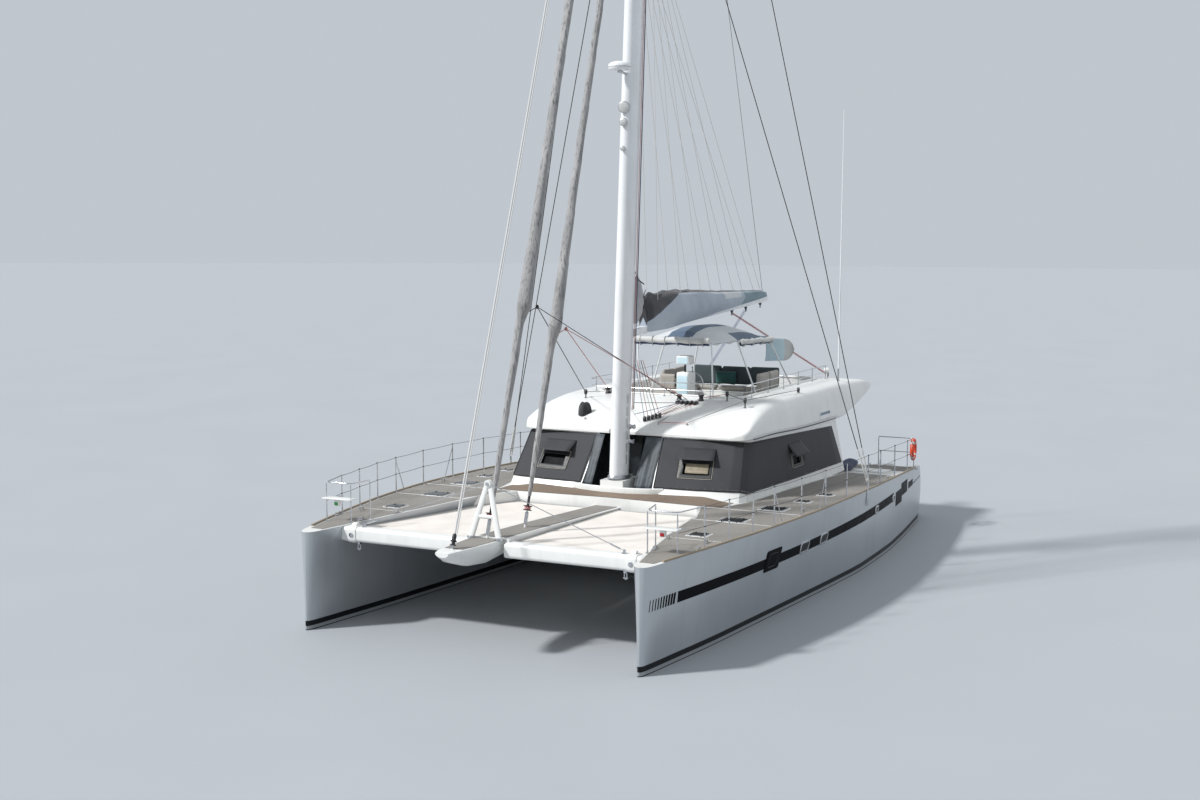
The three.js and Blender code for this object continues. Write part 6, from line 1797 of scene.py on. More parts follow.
# %% Bimini frame
# y of the foot, y of the top, x of the foot of the frame's posts
POSTS = [(0.8, 0.62, 1.15), (2.85, 2.6, 1.85), (6.1, 5.25, 1.85)]
frame_parts = []
under = lambda y: float(bimini_z(BIMINI["half"], y)) - BIMINI["tube"]
for s in (-1, 1):
    ends = [(s * BIMINI["half"], y, under(y)) for y in (BIMINI["y0"] + 0.03, BIMINI["y1"] - 0.03)]
    frame_parts.append((bar(*ends, 0.02, count=8), STEEL))
    for foot_y, top_y, foot_x in POSTS:
        base = np.array((s * foot_x, foot_y, WELL["sole"]))
        post = bar(base, (s * BIMINI["half"], top_y, under(top_y)), 0.024, count=6)
        foot = lathe([(0.06, 0), (0.06, 0.01), (0.032, 0.03), (0.03, 0.06)], base)
        frame_parts += [(post, MAST_WHITE), (foot, STEEL)]
for y in np.linspace(BIMINI["y0"] + 0.03, BIMINI["y1"] - 0.03, 4):
    x = np.linspace(-BIMINI["half"], BIMINI["half"], 17)
    frame_parts.append((tube(coords(x, y, bimini_z(x, y) - CANOPY_HIGH), 0.018), STEEL))
piece("bimini_tubes", frame_parts, stands_for=["bimini_frame"])

# %% Rails round the flybridge and the whip antenna
RAIL_AT = {"x": 2.42, "y0": -0.05, "y1": 7.1, "high": 0.42}
rail_top = np.array([roof_top(s * RAIL_AT["x"], RAIL_AT[end], RAIL_AT["high"])
                     for s, end in ((-1, "y1"), (-1, "y0"), (1, "y0"), (1, "y1"))])
fly_rail = [(tube(bent(rail_top, 0.35), 0.014), STEEL),
            (tube(bent(rail_top - (0, 0, 0.2), 0.35), 0.007, 6), STEEL)]
stops = [(s * RAIL_AT["x"], y) for s in (-1, 1) for y in np.linspace(0.5, RAIL_AT["y1"], 6)]
stops += [(x, RAIL_AT["y0"]) for x in (-1.4, 0, 1.4)]
for x, y in stops:
    foot = roof_top(x, y)
    fly_rail += [(bar(foot, foot + (0, 0, RAIL_AT["high"] - 0.005), 0.012, 8), STEEL),
                 (lathe([(0.035, 0), (0.035, 0.01), (0.016, 0.03)], foot, sides=14), STEEL)]
piece("flybridge_rail", fly_rail)

ANTENNA = {"at": (2.95, 6.75), "top": 13.1}
foot = roof_top(*ANTENNA["at"])
whip = straight(foot, (ANTENNA["at"][0] - 0.05, ANTENNA["at"][1] + 0.3, ANTENNA["top"]), 24)
antenna = [(tube(whip, np.linspace(0.027, 0.010, 24), 8), MAST_WHITE),
           (lathe([(0.045, 0), (0.045, 0.02), (0.03, 0.05), (0.028, 0.35), (0.02, 0.40)], foot), STEEL)]
mushroom = roof_top(2.35, 7.45)
antenna.append((lathe([(0.02, 0), (0.02, 0.22), (0.10, 0.24), (0.11, 0.28), (0.06, 0.34), (0.0, 0.35)],
                      mushroom), GELCOAT))
piece("antennas", antenna)

# %% [markdown]
# The mast is a tapering oval tube that rakes aft, with a sail track, a gooseneck and lamps. It is a
# profile carried along its own axis. The radar dome and its bracket are turned and swept shapes.

# %% Mast
MAST = {"y": -3.02, "step": 2.77, "rake": 0.0714, "top": 30.5, "half_x": 0.225, "half_y": 0.375}


def mast_axis(z):
    """The mast's middle at height z: it leans aft by rake for each metre above the step."""
    z = np.asarray(z, float)
    return coords(0, MAST["y"] + MAST["rake"] * (z - MAST["step"]), z)


mast_z = np.linspace(MAST["step"] + 0.002, MAST["top"] + 0.2, 60)
taper = np.interp(mast_z, [0, 22, MAST["top"]], [1.0, 1.0, 0.85])
mast_skin = sweep(mast_axis(mast_z), circle(40) * (MAST["half_x"], MAST["half_y"]), taper, up=(0, -1, 0))
track = mast_axis(np.linspace(6.9, 30.2, 30)) + (0, MAST["half_y"] - 0.008, 0)
collar = sweep(mast_axis(MAST["step"] + np.array([0, 0.05, 0.10])),
               circle(40) * (MAST["half_x"] + 0.05, MAST["half_y"] + 0.05), [1, 1, 0.93], up=(0, -1, 0))
mast_parts = [(mast_skin, MAST_WHITE), (collar, ALUMINIUM),
              (sweep(track, rounded(0.05, 0.035, 0.006, 2), up=(0, 1, 0)), BLACK_PLASTIC)]
MAST_DRUM = [(0.07, 0), (0.07, 0.02), (0.05, 0.04), (0.045, 0.10), (0.065, 0.13), (0.065, 0.15), (0.02, 0.16)]
for side, z in ((1, 4.15), (1, 3.75), (-1, 4.0)):
    at = mast_axis(z) + (side * (MAST["half_x"] - 0.01), 0.12, 0)
    mast_parts.append((lathe(MAST_DRUM, at, (side, 0, 0), 18), STEEL))
for z in np.linspace(3.3, 4.9, 6):
    at = mast_axis(z) + (MAST["half_x"] * 0.93, -0.08, 0)
    mast_parts.append((block(at - (0.03, 0.03, 0.12), at + (0.035, 0.03, 0.12), 0.015), ALUMINIUM))
piece("mast_tube", mast_parts, stands_for=["mast"])

# %% Gooseneck, tangs, lamps and halyards
rig = []
for z0, z1 in ((6.48, 6.5197), (6.7203, 6.76)):
    rig.append((block((-0.045, -2.59, z0), (0.045, -2.195, z1), 0.012), STEEL))
# height and radius of each lamp, and the way they all face
LAMPS, LAMP_WAY = [(11.49, 0.07), (12.17, 0.11), (12.56, 0.16)], (0.25, -1, -0.1)
for z, r in LAMPS:
    at = mast_axis(z) - (0, MAST["half_y"] + 0.02, 0)
    rig += [(lathe([(r * 0.7, -0.02), (r, 0.03), (r, 0.06), (r * 0.6, 0.09)], at, LAMP_WAY), ALUMINIUM),
            (lathe([(r * 0.8, 0.085), (r * 0.5, 0.10)], at, LAMP_WAY), REFLECTIVE)]
# x, y from the mast's middle
HALYARDS = [(0.27, 0.10, RED_ROPE), (0.26, 0.20, BLACK_ROPE), (0.22, 0.31, BLUE_ROPE),
            (-0.27, 0.12, WHITE_ROPE),
            (-0.25, 0.24, GREY_ROPE)]
for x, y, look in HALYARDS:
    low, high = mast_axis(4.6) + (x * 1.05, y, 0), mast_axis(27.0) + (x * 0.8, y * 0.9, 0)
    rig.append((bar(low, high, 0.009, 6, 12), look))
piece("mast_fittings", rig)

# %% Radar
RADAR = {"z": 13.48, "out": 0.39}
dome_at = mast_axis(RADAR["z"]) - (0, MAST["half_y"] + RADAR["out"], 0)
dome = lathe([(0.2, 0), (0.27, 0.012), (0.298, 0.06), (0.298, 0.10), (0.28, 0.155), (0.22, 0.20),
              (0.12, 0.226),
              (0.04, 0.23)], dome_at, sides=40)
arm = sweep(straight(dome_at + (0, -0.02, -0.03), mast_axis(RADAR["z"]) - (0, 0.3, 0.06), 4),
            rounded(0.11, 0.05, 0.02), up=(0, 0, 1))
seam = lathe([(0.3, 0.078), (0.302, 0.082), (0.3, 0.086)], dome_at, sides=40)
piece("radar_dome", [(dome, MAST_WHITE), (arm, ALUMINIUM), (seam, BLACK_PLASTIC)], stands_for=["radar"])

# %% [markdown]
# The boom swings on the gooseneck with the stowed sail on top, so both ride on the boom's body.
# The sail lies folded in a canvas bag that is full near the mast and tapers aft. The bag is a
# lofted shell that sags between its battens, open along its top, with the dark folds showing.

# %% Boom
BOOM = {"front": -2.18, "end": 8.0, "z0": 6.52, "z1": 7.07, "half": 0.12, "deep": 0.20, "hinge_y": -2.24}


def boom_axis(y, h=0.0):
    """The boom's lower face rises evenly from front to end."""
    share = (y - BOOM["front"]) / (BOOM["end"] - BOOM["front"])
    return coords(0, y, BOOM["z0"] + (BOOM["z1"] - BOOM["z0"]) * share + h)


spar = sweep(boom_axis(np.linspace(BOOM["front"], BOOM["end"], 12), 0.1),
             rounded(2 * BOOM["half"], BOOM["deep"], 0.06, 6), up=(0, 0, 1))
toggle = block((-0.035, BOOM["hinge_y"], BOOM["z0"] + 0.02), (0.035, BOOM["front"] + 0.06, BOOM["z0"] + 0.18),
               0.01)
boom_parts = [(spar, MAST_WHITE), (toggle, STEEL),
              (lathe([(0.042, 0), (0.042, 0.2)], (0, BOOM["hinge_y"], BOOM["z0"]), sides=20), STEEL)]
for y in (5.1, 6.3, 7.6):
    at = boom_axis(y)
    boom_parts += line_block(at - (0, 0, 0.16), 0.14)
    boom_parts.append((bar(at - (0, 0, 0.12), at + (0, 0, 0.02), 0.015), STEEL))
piece("boom_spar", boom_parts, body="boom", stands_for=["boom"])

# %% Sail bag
# y, half width, height above the boom's top
BAG = np.array([(-1.5, 0.13, 0.56), (-1.2, 0.23, 0.70), (0.0, 0.29, 0.80), (1.2, 0.30, 0.74),
                (3.6, 0.27, 0.52), (6.0, 0.22, 0.32), (7.5, 0.17, 0.19), (7.9, 0.11, 0.12)])
# part of the half width, part of the height
BAG_SECTION = np.array([(0.42, -0.27), (0.60, -0.12), (0.82, 0.08), (0.97, 0.32), (0.98, 0.58), (0.82, 0.81),
                        (0.52, 0.95), (0.30, 0.99)])


def bag_shell():
    """A loft of the section on both sides, with creases that hang between the jack lines."""
    y = np.linspace(BAG[0, 0], BAG[-1, 0], 330)[:, None]
    half, height = table_line(BAG, 1, y), table_line(BAG, 2, y)
    wide, high = through(BAG_SECTION, 12).T
    crease = 0.05 * np.sin(y * 2.6) + 0.02 * np.sin(y * 9 + high * 5)
    sag = 1 + crease * np.sin(pi * high)
    x, z = wide * half * sag, high * height * (1 + 0.03 * np.cos(y * 2.6))
    x = np.where(z < 0.02, np.maximum(x, BOOM["half"] + 0.006), x)
    x, z = np.hstack([x, -x[:, ::-1], x[:, :1]]), np.hstack([z, z[:, ::-1], z[:, :1]])
    return surface(shut(boom_axis(y, BOOM["deep"] + 0.003) + coords(x, 0, z)))


def folds():
    """The stowed sail's folds: a dark ridge along the opening that rises towards the mast."""
    y = np.linspace(-1.55, 7.2, 110)[:, None]
    half, height = table_line(BAG, 1, y), table_line(BAG, 2, y)
    a = np.linspace(0, pi, 15)
    rise = np.interp(y, [-1.55, -0.6, 2.0, 7.2], [0.26, 0.12, 0.06, 0.02])
    ripple = 1 + 0.25 * np.sin(y * 7) * np.sin(3 * a)
    x = 0.45 * half * np.cos(a)
    z = height * 0.92 + rise * np.sin(a) * ripple
    return surface(shut(boom_axis(y, BOOM["deep"]) + coords(x, 0, z)))


def bag_panels(c, n):
    """0 is the light side, 1 the dark opening cut down towards the mast, 2 the paler patch, 3 the aft end."""
    y, rise = c[:, 1], c[:, 2] - boom_axis(c[:, 1], BOOM["deep"])[:, 2]
    share = rise / table_line(BAG, 2, y)
    panel = np.where(y > 5.6, 3, np.where((y > 3.9) & (y < 5.3) & (share > 0.5) & (share < 0.9), 2, 0))
    open_above = 0.20 + 0.72 * np.clip((y - BAG[0, 0]) / 2.0, 0, 1)
    return np.where((share > open_above) | (share > 0.97), 1, panel)


bag = piece("sail_bag", [(bag_shell(), CANVAS), (folds(), SAIL_DARK)], body="boom",
            stands_for=["mainsail_bag"],
            sharp=50, paint=bag_panels, looks=[CANVAS, SAIL_DARK, PALE_CANVAS, TEAL_GREY])

# %% Sail between the mast and the bag
def gathered_luff():
    """The sail's front edge, gathered between the mast and the bag: two sides that meet in pleats at
    the track, each side pushed out by a sine of the height."""
    a = np.linspace(0, 2 * pi, 41)
    z = np.linspace(6.86, 8.12, 46)[:, None]
    part = (z - z[0]) / np.ptp(z)
    reach = 0.36 + 0.42 * np.sin(pi * part) ** 0.7 * (1 - 0.35 * part)
    pleat = 1 + 0.14 * np.sin(30 * part + 2 * np.sin(a)) * np.abs(np.sin(a))
    y = mast_axis(z)[..., 1] + MAST["half_y"] + 0.03 + reach * (0.5 - 0.5 * np.cos(a))
    x = 0.13 * np.sin(a) * pleat * (0.55 + 0.45 * np.sin(pi * part))
    return surface(shut(coords(x, y, z)))


cars = []
for z in np.linspace(6.9, 8.25, 7):
    at = mast_axis(z) + (0, MAST["half_y"] + 0.045, 0)
    cars.append((block(at - (0.045, 0.05, 0.05), at + (0.045, 0.05, 0.05), 0.015), BLACK_PLASTIC))
straps = []
for z0, z1, out0, out1 in ((8.25, 7.35, 0.1, 0.85), (8.1, 7.9, 0.1, 0.62), (6.95, 7.75, 0.3, 0.72)):
    low = mast_axis(z0) + (0.06, MAST["half_y"] + out0, 0)
    high = mast_axis(z1) + (0.1, MAST["half_y"] + out1, 0)
    straps.append((sweep(straight(low, high, 12), rounded(0.035, 0.006, 0.002, 1), up=(1, 0, 0)), BLACK_ROPE))
piece("luff_cars", cars)

# %% [markdown]
# The boom swings while the mast stays still, so the jack lines and the mainsheet stretch between
# the two. They are made once, where the boom stands now.

# %% Lines between the boom and the boat
# y on the boom's bag where each jack line ends
JACKS = [-0.9, 0.6, 2.1, 3.8, 5.6, 7.3]
HINGE, LINE_SHARP = BOOM["hinge_y"], 60


def stretched(name, parts):
    """A piece made where it now runs between the boat and the boom."""
    obj = linked(name, mesh_of(name, parts))
    finish_edges(obj, LINE_SHARP)
    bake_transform(obj)
    return obj


# The gathered sail and its straps run from the mast's track to the bag's front.
luff = stretched("gathered_sail", [(gathered_luff(), LIGHT_SAILCLOTH)])
stretched("luff_straps", straps)

jacks = []
for s in (-1, 1):
    gather = mast_axis(17.5) + (s * 0.22, 0.5, 0)
    for y in JACKS:
        half, height = table_line(BAG, 1, y), table_line(BAG, 2, y)
        end = boom_axis(y, BOOM["deep"] + height * 0.9) + coords(s * half * 0.66, 0, 0)
        jacks.append((bar(gather, end, 0.006, 6, 16), WHITE_ROPE))
stretched("jack_lines", jacks)
lift = bar(mast_axis(29.8) + (0, 0.5, 0), boom_axis(7.85, 0.19), 0.008, 6, 30)
stretched("topping_lift", [(lift, GREY_ROPE)])
# y and lower end on the roof of each pair of sheet lines
SHEETS = [(5.1, (2.35, 7.5), RED_ROPE), (6.3, (-1.7, 7.3), BLUE_ROPE)]
ropes, feet = [], []
for y, foot, look in SHEETS:
    low, top = roof_top(*foot, 0.12), boom_axis(y, -0.10)
    ropes += [(bar(low + (x, 0, 0), top + (x, 0, 0), 0.008, 6, 16), look) for x in (-0.04, 0.0, 0.04)]
    feet += line_block(roof_top(*foot), 0.12)
stretched("mainsheet", ropes)
piece("mainsheet_blocks", feet)

# %% [markdown]
# A furled sail is a sheet wound round its stay, and its free corner hangs out aft like a flag above
# the first turns. The radius is a table up the stay, the flag is added on one side of the ring, and
# the wound edge shows as a step that climbs round the stay.


# %% Furled sails
def stay_line(tack, mast_z, short=1.75):
    """The stay's two ends: the tack, and the point that lies short metres below its tang."""
    tack = np.asarray(tack, float)
    head = mast_axis(mast_z) - (0, MAST["half_y"], 0)
    length = np.linalg.norm(head - tack)
    return tack, tack + (head - tack) * (length - short) / length


def furled(tack, mast_z, profile, flag, turns):
    """radius(t) * (0.90 to 1.02 over each turn of the wound edge) + flag(t) * max(0, cos(a - a0)) ^ 2.2,
    with wrinkles that run along the sail."""
    low, high = stay_line(tack, mast_z)
    table, flag = np.asarray(profile), np.asarray(flag)
    t = np.linspace(table[0, 0], table[-1, 0], 300)[:, None]
    a = np.linspace(0, 2 * pi, 41)
    since = (a / (2 * pi) + turns * t) % 1
    edge = 0.90 + 0.12 * np.minimum(since / 0.93, (1 - since) / 0.07)
    full = np.interp(t, flag[:, 0], flag[:, 1])
    radius = table_line(table, 1, t) * edge + full * np.maximum(0, np.cos(a - FLAG_WAY)) ** 2.2
    radius = radius * (1 + 0.035 * np.sin(7 * a + 40 * t) + 0.03 * np.sin(3 * a - 60 * t))
    along = unit(high - low)
    side = unit(np.cross((0, 1, 0), along))
    over = np.cross(side, along)
    ring = np.cos(a)[:, None] * side + np.sin(a)[:, None] * over
    points = low + t[..., None] * (high - low) + radius[..., None] * ring
    points[:, -1] = points[:, 0]
    return surface(shut(points))


def drum(tack, mast_z, at, radius):
    """The furler's drum: two flanges, the line wound between them, and a cage above and below."""
    low, high = stay_line(tack, mast_z)
    way, r = unit(high - low), radius
    base = low + at * way
    return [(lathe([(r, -0.17), (r, -0.155), (0.62 * r, -0.15), (0.62 * r, -0.08), (r, -0.075), (r, -0.06),
                    (0.3 * r, -0.05), (0.3 * r, 0.16), (0.15 * r, 0.18)], base, way), BLACK_PLASTIC),
            (lathe([(0.66 * r, -0.148), (0.72 * r, -0.115), (0.66 * r, -0.082)], base, way, 20), RED_ROPE),
            (lathe([(0.045, -at + 0.06), (0.045, -0.22), (0.02, -0.20)], base, way, 12), STEEL)]


FLAG_WAY = radians(50)
# tack, height on the mast, profile of (part of the stay, radius)
GENOA = ((0, -9.92, 2.40), 27.6,
         [(.035, .045), (.06, .065), (.10, .07), (.20, .10), (.6, .105), (.94, .075), (.97, .03)])
GENOA_FLAG = [(0.0, 0.0), (0.202, 0.0), (0.219, 0.30), (0.25, 0.25), (0.35, 0.11), (0.55, 0.0)]
STAYSAIL = ((0, -8.16, 2.35), 21.6,
            [(.04, .045), (.07, .06), (.14, .075), (.24, .10), (.6, .09), (.93, .065), (.96, .03)])
STAYSAIL_FLAG = [(0.0, 0.0), (0.235, 0.0), (0.262, 0.27), (0.30, 0.20), (0.45, 0.08), (0.6, 0.0)]
# name, stay, flag, the drum's place along the stay and its radius, turns of the wound edge
STAYS = [("genoa", GENOA, GENOA_FLAG, 0.62, 0.12, 17), ("staysail", STAYSAIL, STAYSAIL_FLAG, 0.56, 0.105, 14)]
for name, (tack, mast_z, profile), flag, at, radius, turns in STAYS:
    low, high = stay_line(tack, mast_z)
    sail = piece(name + "_roll", [(furled(tack, mast_z, profile, flag, turns), FURLED_GREY)],
                 stands_for=[name + "_furled"], sharp=40)
    wire = bar(low, high, 0.014, 8, 20)
    top = lathe([(0.03, -0.25), (0.05, -0.2), (0.05, 0.0), (0.03, 0.05), (0.012, 0.12)], high,
                unit(high - low), 12)
    piece(name + "_furler", [(wire, STEEL), (top, BLACK_PLASTIC)] + drum(tack, mast_z, at, radius))

# %% The light sail's furler on the longeron's front end
low, high = stay_line((0, -11.40, 2.43), 30.1)
way, length = unit(high - low), np.linalg.norm(high - low)
cable = tube(low + way * np.linspace(0.25, length, 30)[:, None], 0.023)
halyard = tube(low + (0.05, 0, 0) + way * np.linspace(0.33, length - 0.2, 30)[:, None], 0.013, 8)
spool = lathe([(0.07, 0.06), (0.07, 0.08), (0.04, 0.09), (0.04, 0.14), (0.07, 0.15), (0.07, 0.17),
               (0.05, 0.19),
               (0.045, 0.30), (0.02, 0.33)], low, way)
shank = lathe([(0.025, -0.02), (0.03, 0.06)], low, way, 12)
piece("light_sail_furler", [(cable, PALE_ROPE), (halyard, PALE_ROPE), (spool, BLACK_PLASTIC), (shank, STEEL)],
      stands_for=["bowsprit_furler"])

# %% Headsail sheets
# the clew's part of the stay, its distance out, and the two ends on the roof
CLEWS = [(GENOA, 0.219, 0.37, BLACK_ROPE, roof_top(0.80, -0.70, 0.12), roof_top(-2.21, -0.61, 0.15)),
         (STAYSAIL, 0.262, 0.33, RED_ROPE, roof_top(0.98, -0.72, 0.12), roof_top(-1.81, 0.0, 0.15))]
sheets = []
flag_way = np.array((cos(FLAG_WAY), sin(FLAG_WAY), 0))
for stay, part, out, look, *ends in CLEWS:
    low, high = stay_line(*stay[:2])
    clew = low + part * (high - low) + out * flag_way
    sheets.append((lathe([(0.012, -0.05), (0.035, -0.02), (0.04, 0.02), (0.012, 0.05)], clew, sides=10),
                   look))
    sheets += [(bar(clew, end, 0.010, 6, 14), look) for end in ends]
    sheets.append((bar(clew, clew - 0.30 * (flag_way + (0, 0, 0.5)), 0.010, 6, 4), look))
piece("headsail_sheets", sheets)

# %% [markdown]
# Standing wires are straight rods with a turnbuckle at the deck. The guardrails are two wires
# through stanchions with bases, and tubular frames at the bows and the stern.

# %% Shrouds
CHAINPLATE = {"x": 5.637, "y": 1.04, "z0": 1.83, "z1": 2.35, "foot": (5.65, 1.04, 2.45)}
# radius and height above the chainplate
TURNBUCKLE = [(0.010, 0.04), (0.022, 0.08), (0.022, 0.13), (0.015, 0.15), (0.026, 0.17), (0.026, 0.75),
              (0.015, 0.78), (0.022, 0.80), (0.022, 0.92), (0.011, 1.0)]
wires = []
for mast_z, shift in ((22.0, -0.03), (29.5, 0.03)):
    low = np.array(CHAINPLATE["foot"]) + (0, shift * 2, 0)
    high = mast_axis(mast_z) + (MAST["half_x"], 0, 0)
    way = unit(high - low)
    wires += [(bar(low + 0.95 * way, high - 0.02 * way, 0.012, 8, 16), BLACK_PLASTIC),
              (lathe(TURNBUCKLE, low, way, 16), REFLECTIVE)]
strap = block((CHAINPLATE["x"] - 0.009, CHAINPLATE["y"] - 0.045, CHAINPLATE["z0"]),
              (CHAINPLATE["x"] + 0.009, CHAINPLATE["y"] + 0.045, 2.47), 0.008)
piece("shroud_wires_SIDE", wires + [(strap, STEEL)], stands_for=["shrouds_SIDE"])

# %% Guardrails
RAIL = {"high": 0.95, "middle": 0.5, "inset": 0.09, "post": 0.017, "wire": 0.0055}
# y of each stanchion
POST_Y = [-8.75, -7.75, -6.70, -5.65, -4.10, -2.45, -0.70, 1.45, 2.90, 4.90, 7.00]


def rail_at(y, h=0.0):
    """The guardrail's line: set in from the deck's edge."""
    return beside_edge(y, RAIL["inset"], h)


rails = []
for y in POST_Y:
    foot = rail_at(y)
    rails += [(bar(foot, foot + (0, 0, RAIL["high"] + 0.01), RAIL["post"]), STEEL),
              (lathe([(0.040, 0), (0.040, 0.008), (0.024, 0.022), (0.02, 0.07), (0.015, 0.075)], foot,
                     sides=16), STEEL)]
    rails += [(lathe([(0.018, -0.012), (0.021, 0), (0.018, 0.012)], foot + (0, 0, level), sides=12),
               BLACK_PLASTIC)
              for level in (RAIL["middle"], RAIL["high"])]
# between two posts a wire hangs by WIRE_SAG * t * (1 - t)
WIRE_SAG = 0.048
t = np.linspace(0, 1, 6, endpoint=False)[:, None]
for level in (RAIL["middle"], RAIL["high"] - 0.005):
    posts = [rail_at(y, level) for y in POST_Y]
    line = [a * (1 - t) + b * t - t * (1 - t) * (0, 0, WIRE_SAG) for a, b in zip(posts[:-1], posts[1:])]
    rails.append((tube(np.vstack(line + posts[-1:]), RAIL["wire"], 6), BLACK_PLASTIC))
piece("guardrail_wires_SIDE", rails, stands_for=["guardrail_SIDE"])

# %% Pulpits, seats and stern rails
PULPIT = {"front_y": -9.70, "back_y": -9.05, "out": 0.31, "inboard": -0.40, "back_in": -0.50, "seat": 0.56}
PUSHPIT = {"y": 8.3, "inner": 3.85}
bow_posts = [(HULL_X + PULPIT["back_in"], PULPIT["back_y"]), (HULL_X + PULPIT["inboard"], PULPIT["front_y"]),
             (HULL_X + PULPIT["out"], PULPIT["front_y"]), tuple(rail_at(POST_Y[0])[:2])]
ends = [tuple(rail_at(POST_Y[-1])[:2]), tuple(rail_at(PUSHPIT["y"])[:2]), (PUSHPIT["inner"], PUSHPIT["y"])]
frames = []
for corners, radius in ((bow_posts, 0.16), (ends, 0.12)):
    for level, size in ((RAIL["high"], 0.0155), (RAIL["middle"], 0.013)):
        path = [on_deck(x, y, level) for x, y in corners]
        if level == RAIL["middle"] and corners is bow_posts:
            frames.append((bar(path[2], path[3], RAIL["wire"], 6, 6), BLACK_PLASTIC))
            continue
        frames.append((tube(bent(path, radius, 8), size, 12), STEEL))
for x, y in bow_posts[:3] + ends[1:]:
    frames += [(bar(on_deck(x, y), on_deck(x, y, RAIL["high"] - 0.03), 0.0145), STEEL),
               (lathe([(0.042, 0), (0.042, 0.008), (0.024, 0.022), (0.018, 0.05)], on_deck(x, y), sides=16),
                STEEL)]
low = on_deck(HULL_X - 0.46, PULPIT["front_y"], PULPIT["seat"]) - (0, 0.15, 0)
brace = bar(on_deck(HULL_X + PULPIT["out"], PULPIT["front_y"], PULPIT["seat"] + 0.01),
            on_deck(HULL_X + PULPIT["out"], PULPIT["back_y"] + 0.02, 0.5), 0.011, 8)
frames += [(block(low, low + (0.81, 0.30, 0.03), 0.012), GELCOAT), (brace, STEEL)]
piece("pulpit_frames_SIDE", frames)

# %% Navigation lights, cleats, fairleads and gate braces
for side, look, name in ((1, RED_LENS, "port_light"), (-1, GREEN_LENS, "starboard_light")):
    at = np.array((side * (HULL_X - 0.02), PULPIT["front_y"] - 0.02, low[2] - 0.10))
    housing = block(at - (0.065, 0.06, 0.06), at + (0.065, 0.06, 0.09), 0.02)
    lens = block(at - (0.052, 0.075, 0.045), at + (0.052, 0.0, 0.035), 0.02)
    piece(name, [(housing, GELCOAT), (lens, look)])


CLEAT = {"half": 0.17, "high": 0.075, "lift": 0.012, "radius": 0.017, "foot": 0.07}


def cleat(x, y):
    """A horned cleat: two feet, and a horn whose radius falls and whose height rises with t squared."""
    base, t = on_deck(x, y), np.linspace(-1, 1, 15)
    horn = base + coords(0, t * CLEAT["half"], CLEAT["high"] + CLEAT["lift"] * t ** 2)
    feet = [bar(base + (0, f, 0), base + (0, f * 0.8, CLEAT["high"]), 0.016, 8)
            for f in (-CLEAT["foot"], CLEAT["foot"])]
    return [(part, STEEL) for part in (tube(horn, CLEAT["radius"] * (1 - 0.45 * t ** 2)), *feet)]


# x from the hull's middle, y
CLEATS = [(0.36, -8.2), (-0.62, -8.1), (0.98, -3.4), (1.02, 4.2), (0.98, 7.6), (-0.62, 7.9)]
fittings = [part for x, y in CLEATS for part in cleat(HULL_X + x, y)]
for x, y in ((0.50, -9.0), (-0.40, -9.3)):
    base = on_deck(HULL_X + x, y, 0.002)
    fittings.append((block(base + (-0.03, -0.15, 0), base + (0.03, 0.15, 0.03), 0.012), STEEL))
    fittings += [(bar(base + (0, end, 0.02), base + (0, end * 0.55, 0.085), 0.014, 8), STEEL)
                 for end in (-0.12, 0.12)]
for y, lean in ((POST_Y[3], 0.45), (POST_Y[5], -0.45), (POST_Y[8], -0.45)):
    fittings.append((bar(rail_at(y, RAIL["high"] - 0.08), rail_at(y + lean, 0.01), 0.011, 8), STEEL))
piece("deck_fittings_SIDE", fittings)

# %% Life ring
RING = {"at": (5.1432, 7.6881, 2.5156), "turn": 6.1, "radius": 0.29, "tube": 0.062}
around_ring = lambda radius, a: coords(0, radius * np.cos(a), radius * np.sin(a))
t, rope_t = np.linspace(0, 2 * pi, 65)[:-1], np.linspace(0, 2 * pi, 129)[:-1]
band = sweep(around_ring(RING["radius"], t), circle(20) * RING["tube"], up=(1, 0, 0), closed=True)
tapes = [sweep(around_ring(RING["radius"], middle + np.linspace(-0.13, 0.13, 6)),
               circle(20) * (RING["tube"] + 0.002),
               up=(1, 0, 0)) for middle in np.radians((45, 135, 225, 315))]
slack = RING["radius"] + RING["tube"] + 0.012 - 0.02 * abs(np.cos(2 * rope_t))
grab_line = tube(around_ring(slack, rope_t), 0.007, 6, up=(1, 0, 0), closed=True)
lay = lambda shape: moved(turned(shape, "Z", radians(RING["turn"])), RING["at"])
piece("life_ring_body", [(lay(band), ORANGE_RED), (lay(grab_line), WHITE_ROPE),
                         *((lay(tape), REFLECTIVE)
                           for tape in tapes)], stands_for=["life_ring"])

# %% [markdown]
# Below the water and inside the engine rooms nothing shows in the photograph, so these parts keep
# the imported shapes, with softened edges and their own finishes.

# %% Keels, rudders, drives and engines
for side in ("port", "starboard"):
    finished_copy("keel_" + side, ANTIFOUL, 0.01)
    finished_copy("rudder_" + side, ANTIFOUL, 0.006, body="rudder_" + side)
    finished_copy("drive_leg_" + side, ANTIFOUL, 0.006)
    finished_copy("propeller_" + side, BRONZE, 0.002, body="propeller_" + side)
    finished_copy("engine_" + side, ENGINE_ENAMEL, 0.008)

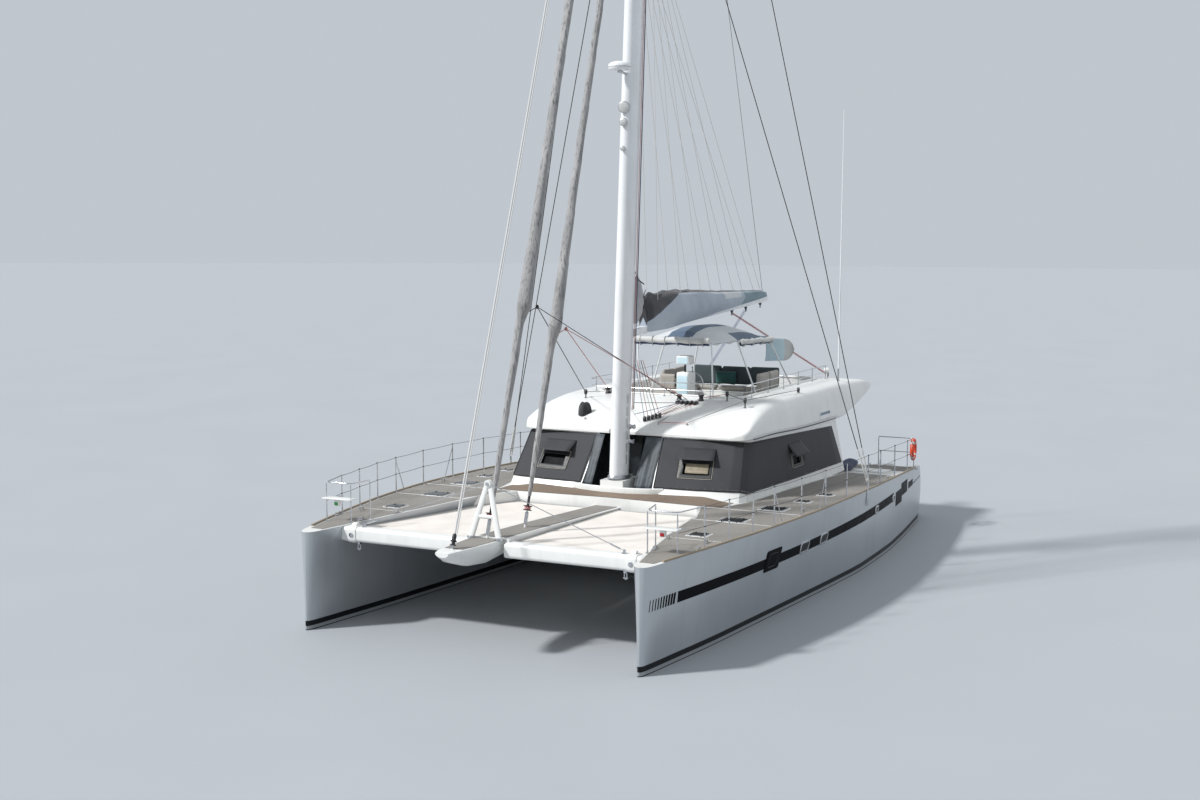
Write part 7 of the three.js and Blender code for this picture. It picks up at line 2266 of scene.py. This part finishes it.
# %% Posts under the roof's aft corners and the folded cover behind the cabin
post = sweep(straight((3.50, 4.95, 1.95), (3.28, 4.75, 3.70), 6), rounded(0.11, 0.14, 0.035), up=(1, 0, 0))
piece("roof_post_SIDE", [(post, GELCOAT)])
along, around = np.linspace(0, 1, 24)[:, None], np.linspace(0, 2 * pi, 25)
lump = (1 + 0.10 * np.sin(9 * along + 2 * around) + 0.06 * np.sin(5 * around)) * np.sin(pi * along) ** 0.3
bundle = coords(3.54 + 0.19 * np.cos(around) * lump, 5.30 + 1.45 * along, 2.14 + 0.17 * np.sin(around) * lump)
folded = piece("folded_cover_SIDE", [(surface(shut(bundle)), NAVY_CANVAS)])

# %% Engine hatch lids
for side in ("port", "starboard"):
    finished_copy("engine_hatch_" + side, GELCOAT, 0.006, body="engine_hatch_" + side,
                  name="engine_lid_" + side)

# %% [markdown]
# The camera stands ahead of the port bow and above it, at the photograph's viewing angle.
# Its place and lens come from solving the perspective of the stanchions, the hulls and the mast.

# %% Camera
CAMERA_AT = (17.41, -39.24, 9.23)
CAMERA_AZIMUTH, CAMERA_DOWN = 26.39, 6.19
LENS_MM = 45.654


def make_camera():
    data = bpy.data.cameras.new("camera")
    data.lens, data.sensor_width, data.sensor_fit = LENS_MM, 36.0, "HORIZONTAL"
    data.clip_end = 500
    camera = linked("camera", data)
    camera.location = CAMERA_AT
    camera.rotation_euler = (radians(90 - CAMERA_DOWN), 0, radians(CAMERA_AZIMUTH))
    bpy.context.scene.camera = camera


make_camera()

# %% [markdown]
# The stage is a plain pale floor at the waterline, a pale world and one soft sun. The sun stands
# high ahead of the bows, as in the photograph, and a weak second one opens the shadows.

# %% Stage and light
FLOOR_HALF = 400.0


def make_floor():
    reach = np.linspace(-FLOOR_HALF, FLOOR_HALF, 5)
    floor = linked("floor", mesh_of("floor", [(surface(coords(reach[:, None], reach, 0)), FLOOR)]))
    if floor.data.polygons[0].normal.z < 0:
        floor.data.flip_normals()


def make_sun(name, power, angle, tilt):
    data = bpy.data.lights.new(name, "SUN")
    data.energy, data.angle = power, radians(angle)
    linked(name, data).rotation_euler = [radians(v) for v in tilt]


def make_world():
    world = bpy.data.worlds.new("pale studio")
    bpy.context.scene.world = world
    world.use_nodes = True
    back = world.node_tree.nodes["Background"]
    back.inputs["Color"].default_value = (0.80, 0.86, 0.93, 1.0)
    back.inputs["Strength"].default_value = 0.66


FLOOR = plain_finish("pale_floor", (0.37, 0.39, 0.41), (0.38, 0.40, 0.42), 0.2, 0.65, 0.0)
make_floor()
make_sun("sun", 3.7, 5, (44, -14, -32))
make_sun("fill", 0.25, 60, (55, 0, 140))
make_world()
bpy.context.scene.view_settings.view_transform = "Standard"

# %% Finish
bpy.context.view_layer.update()
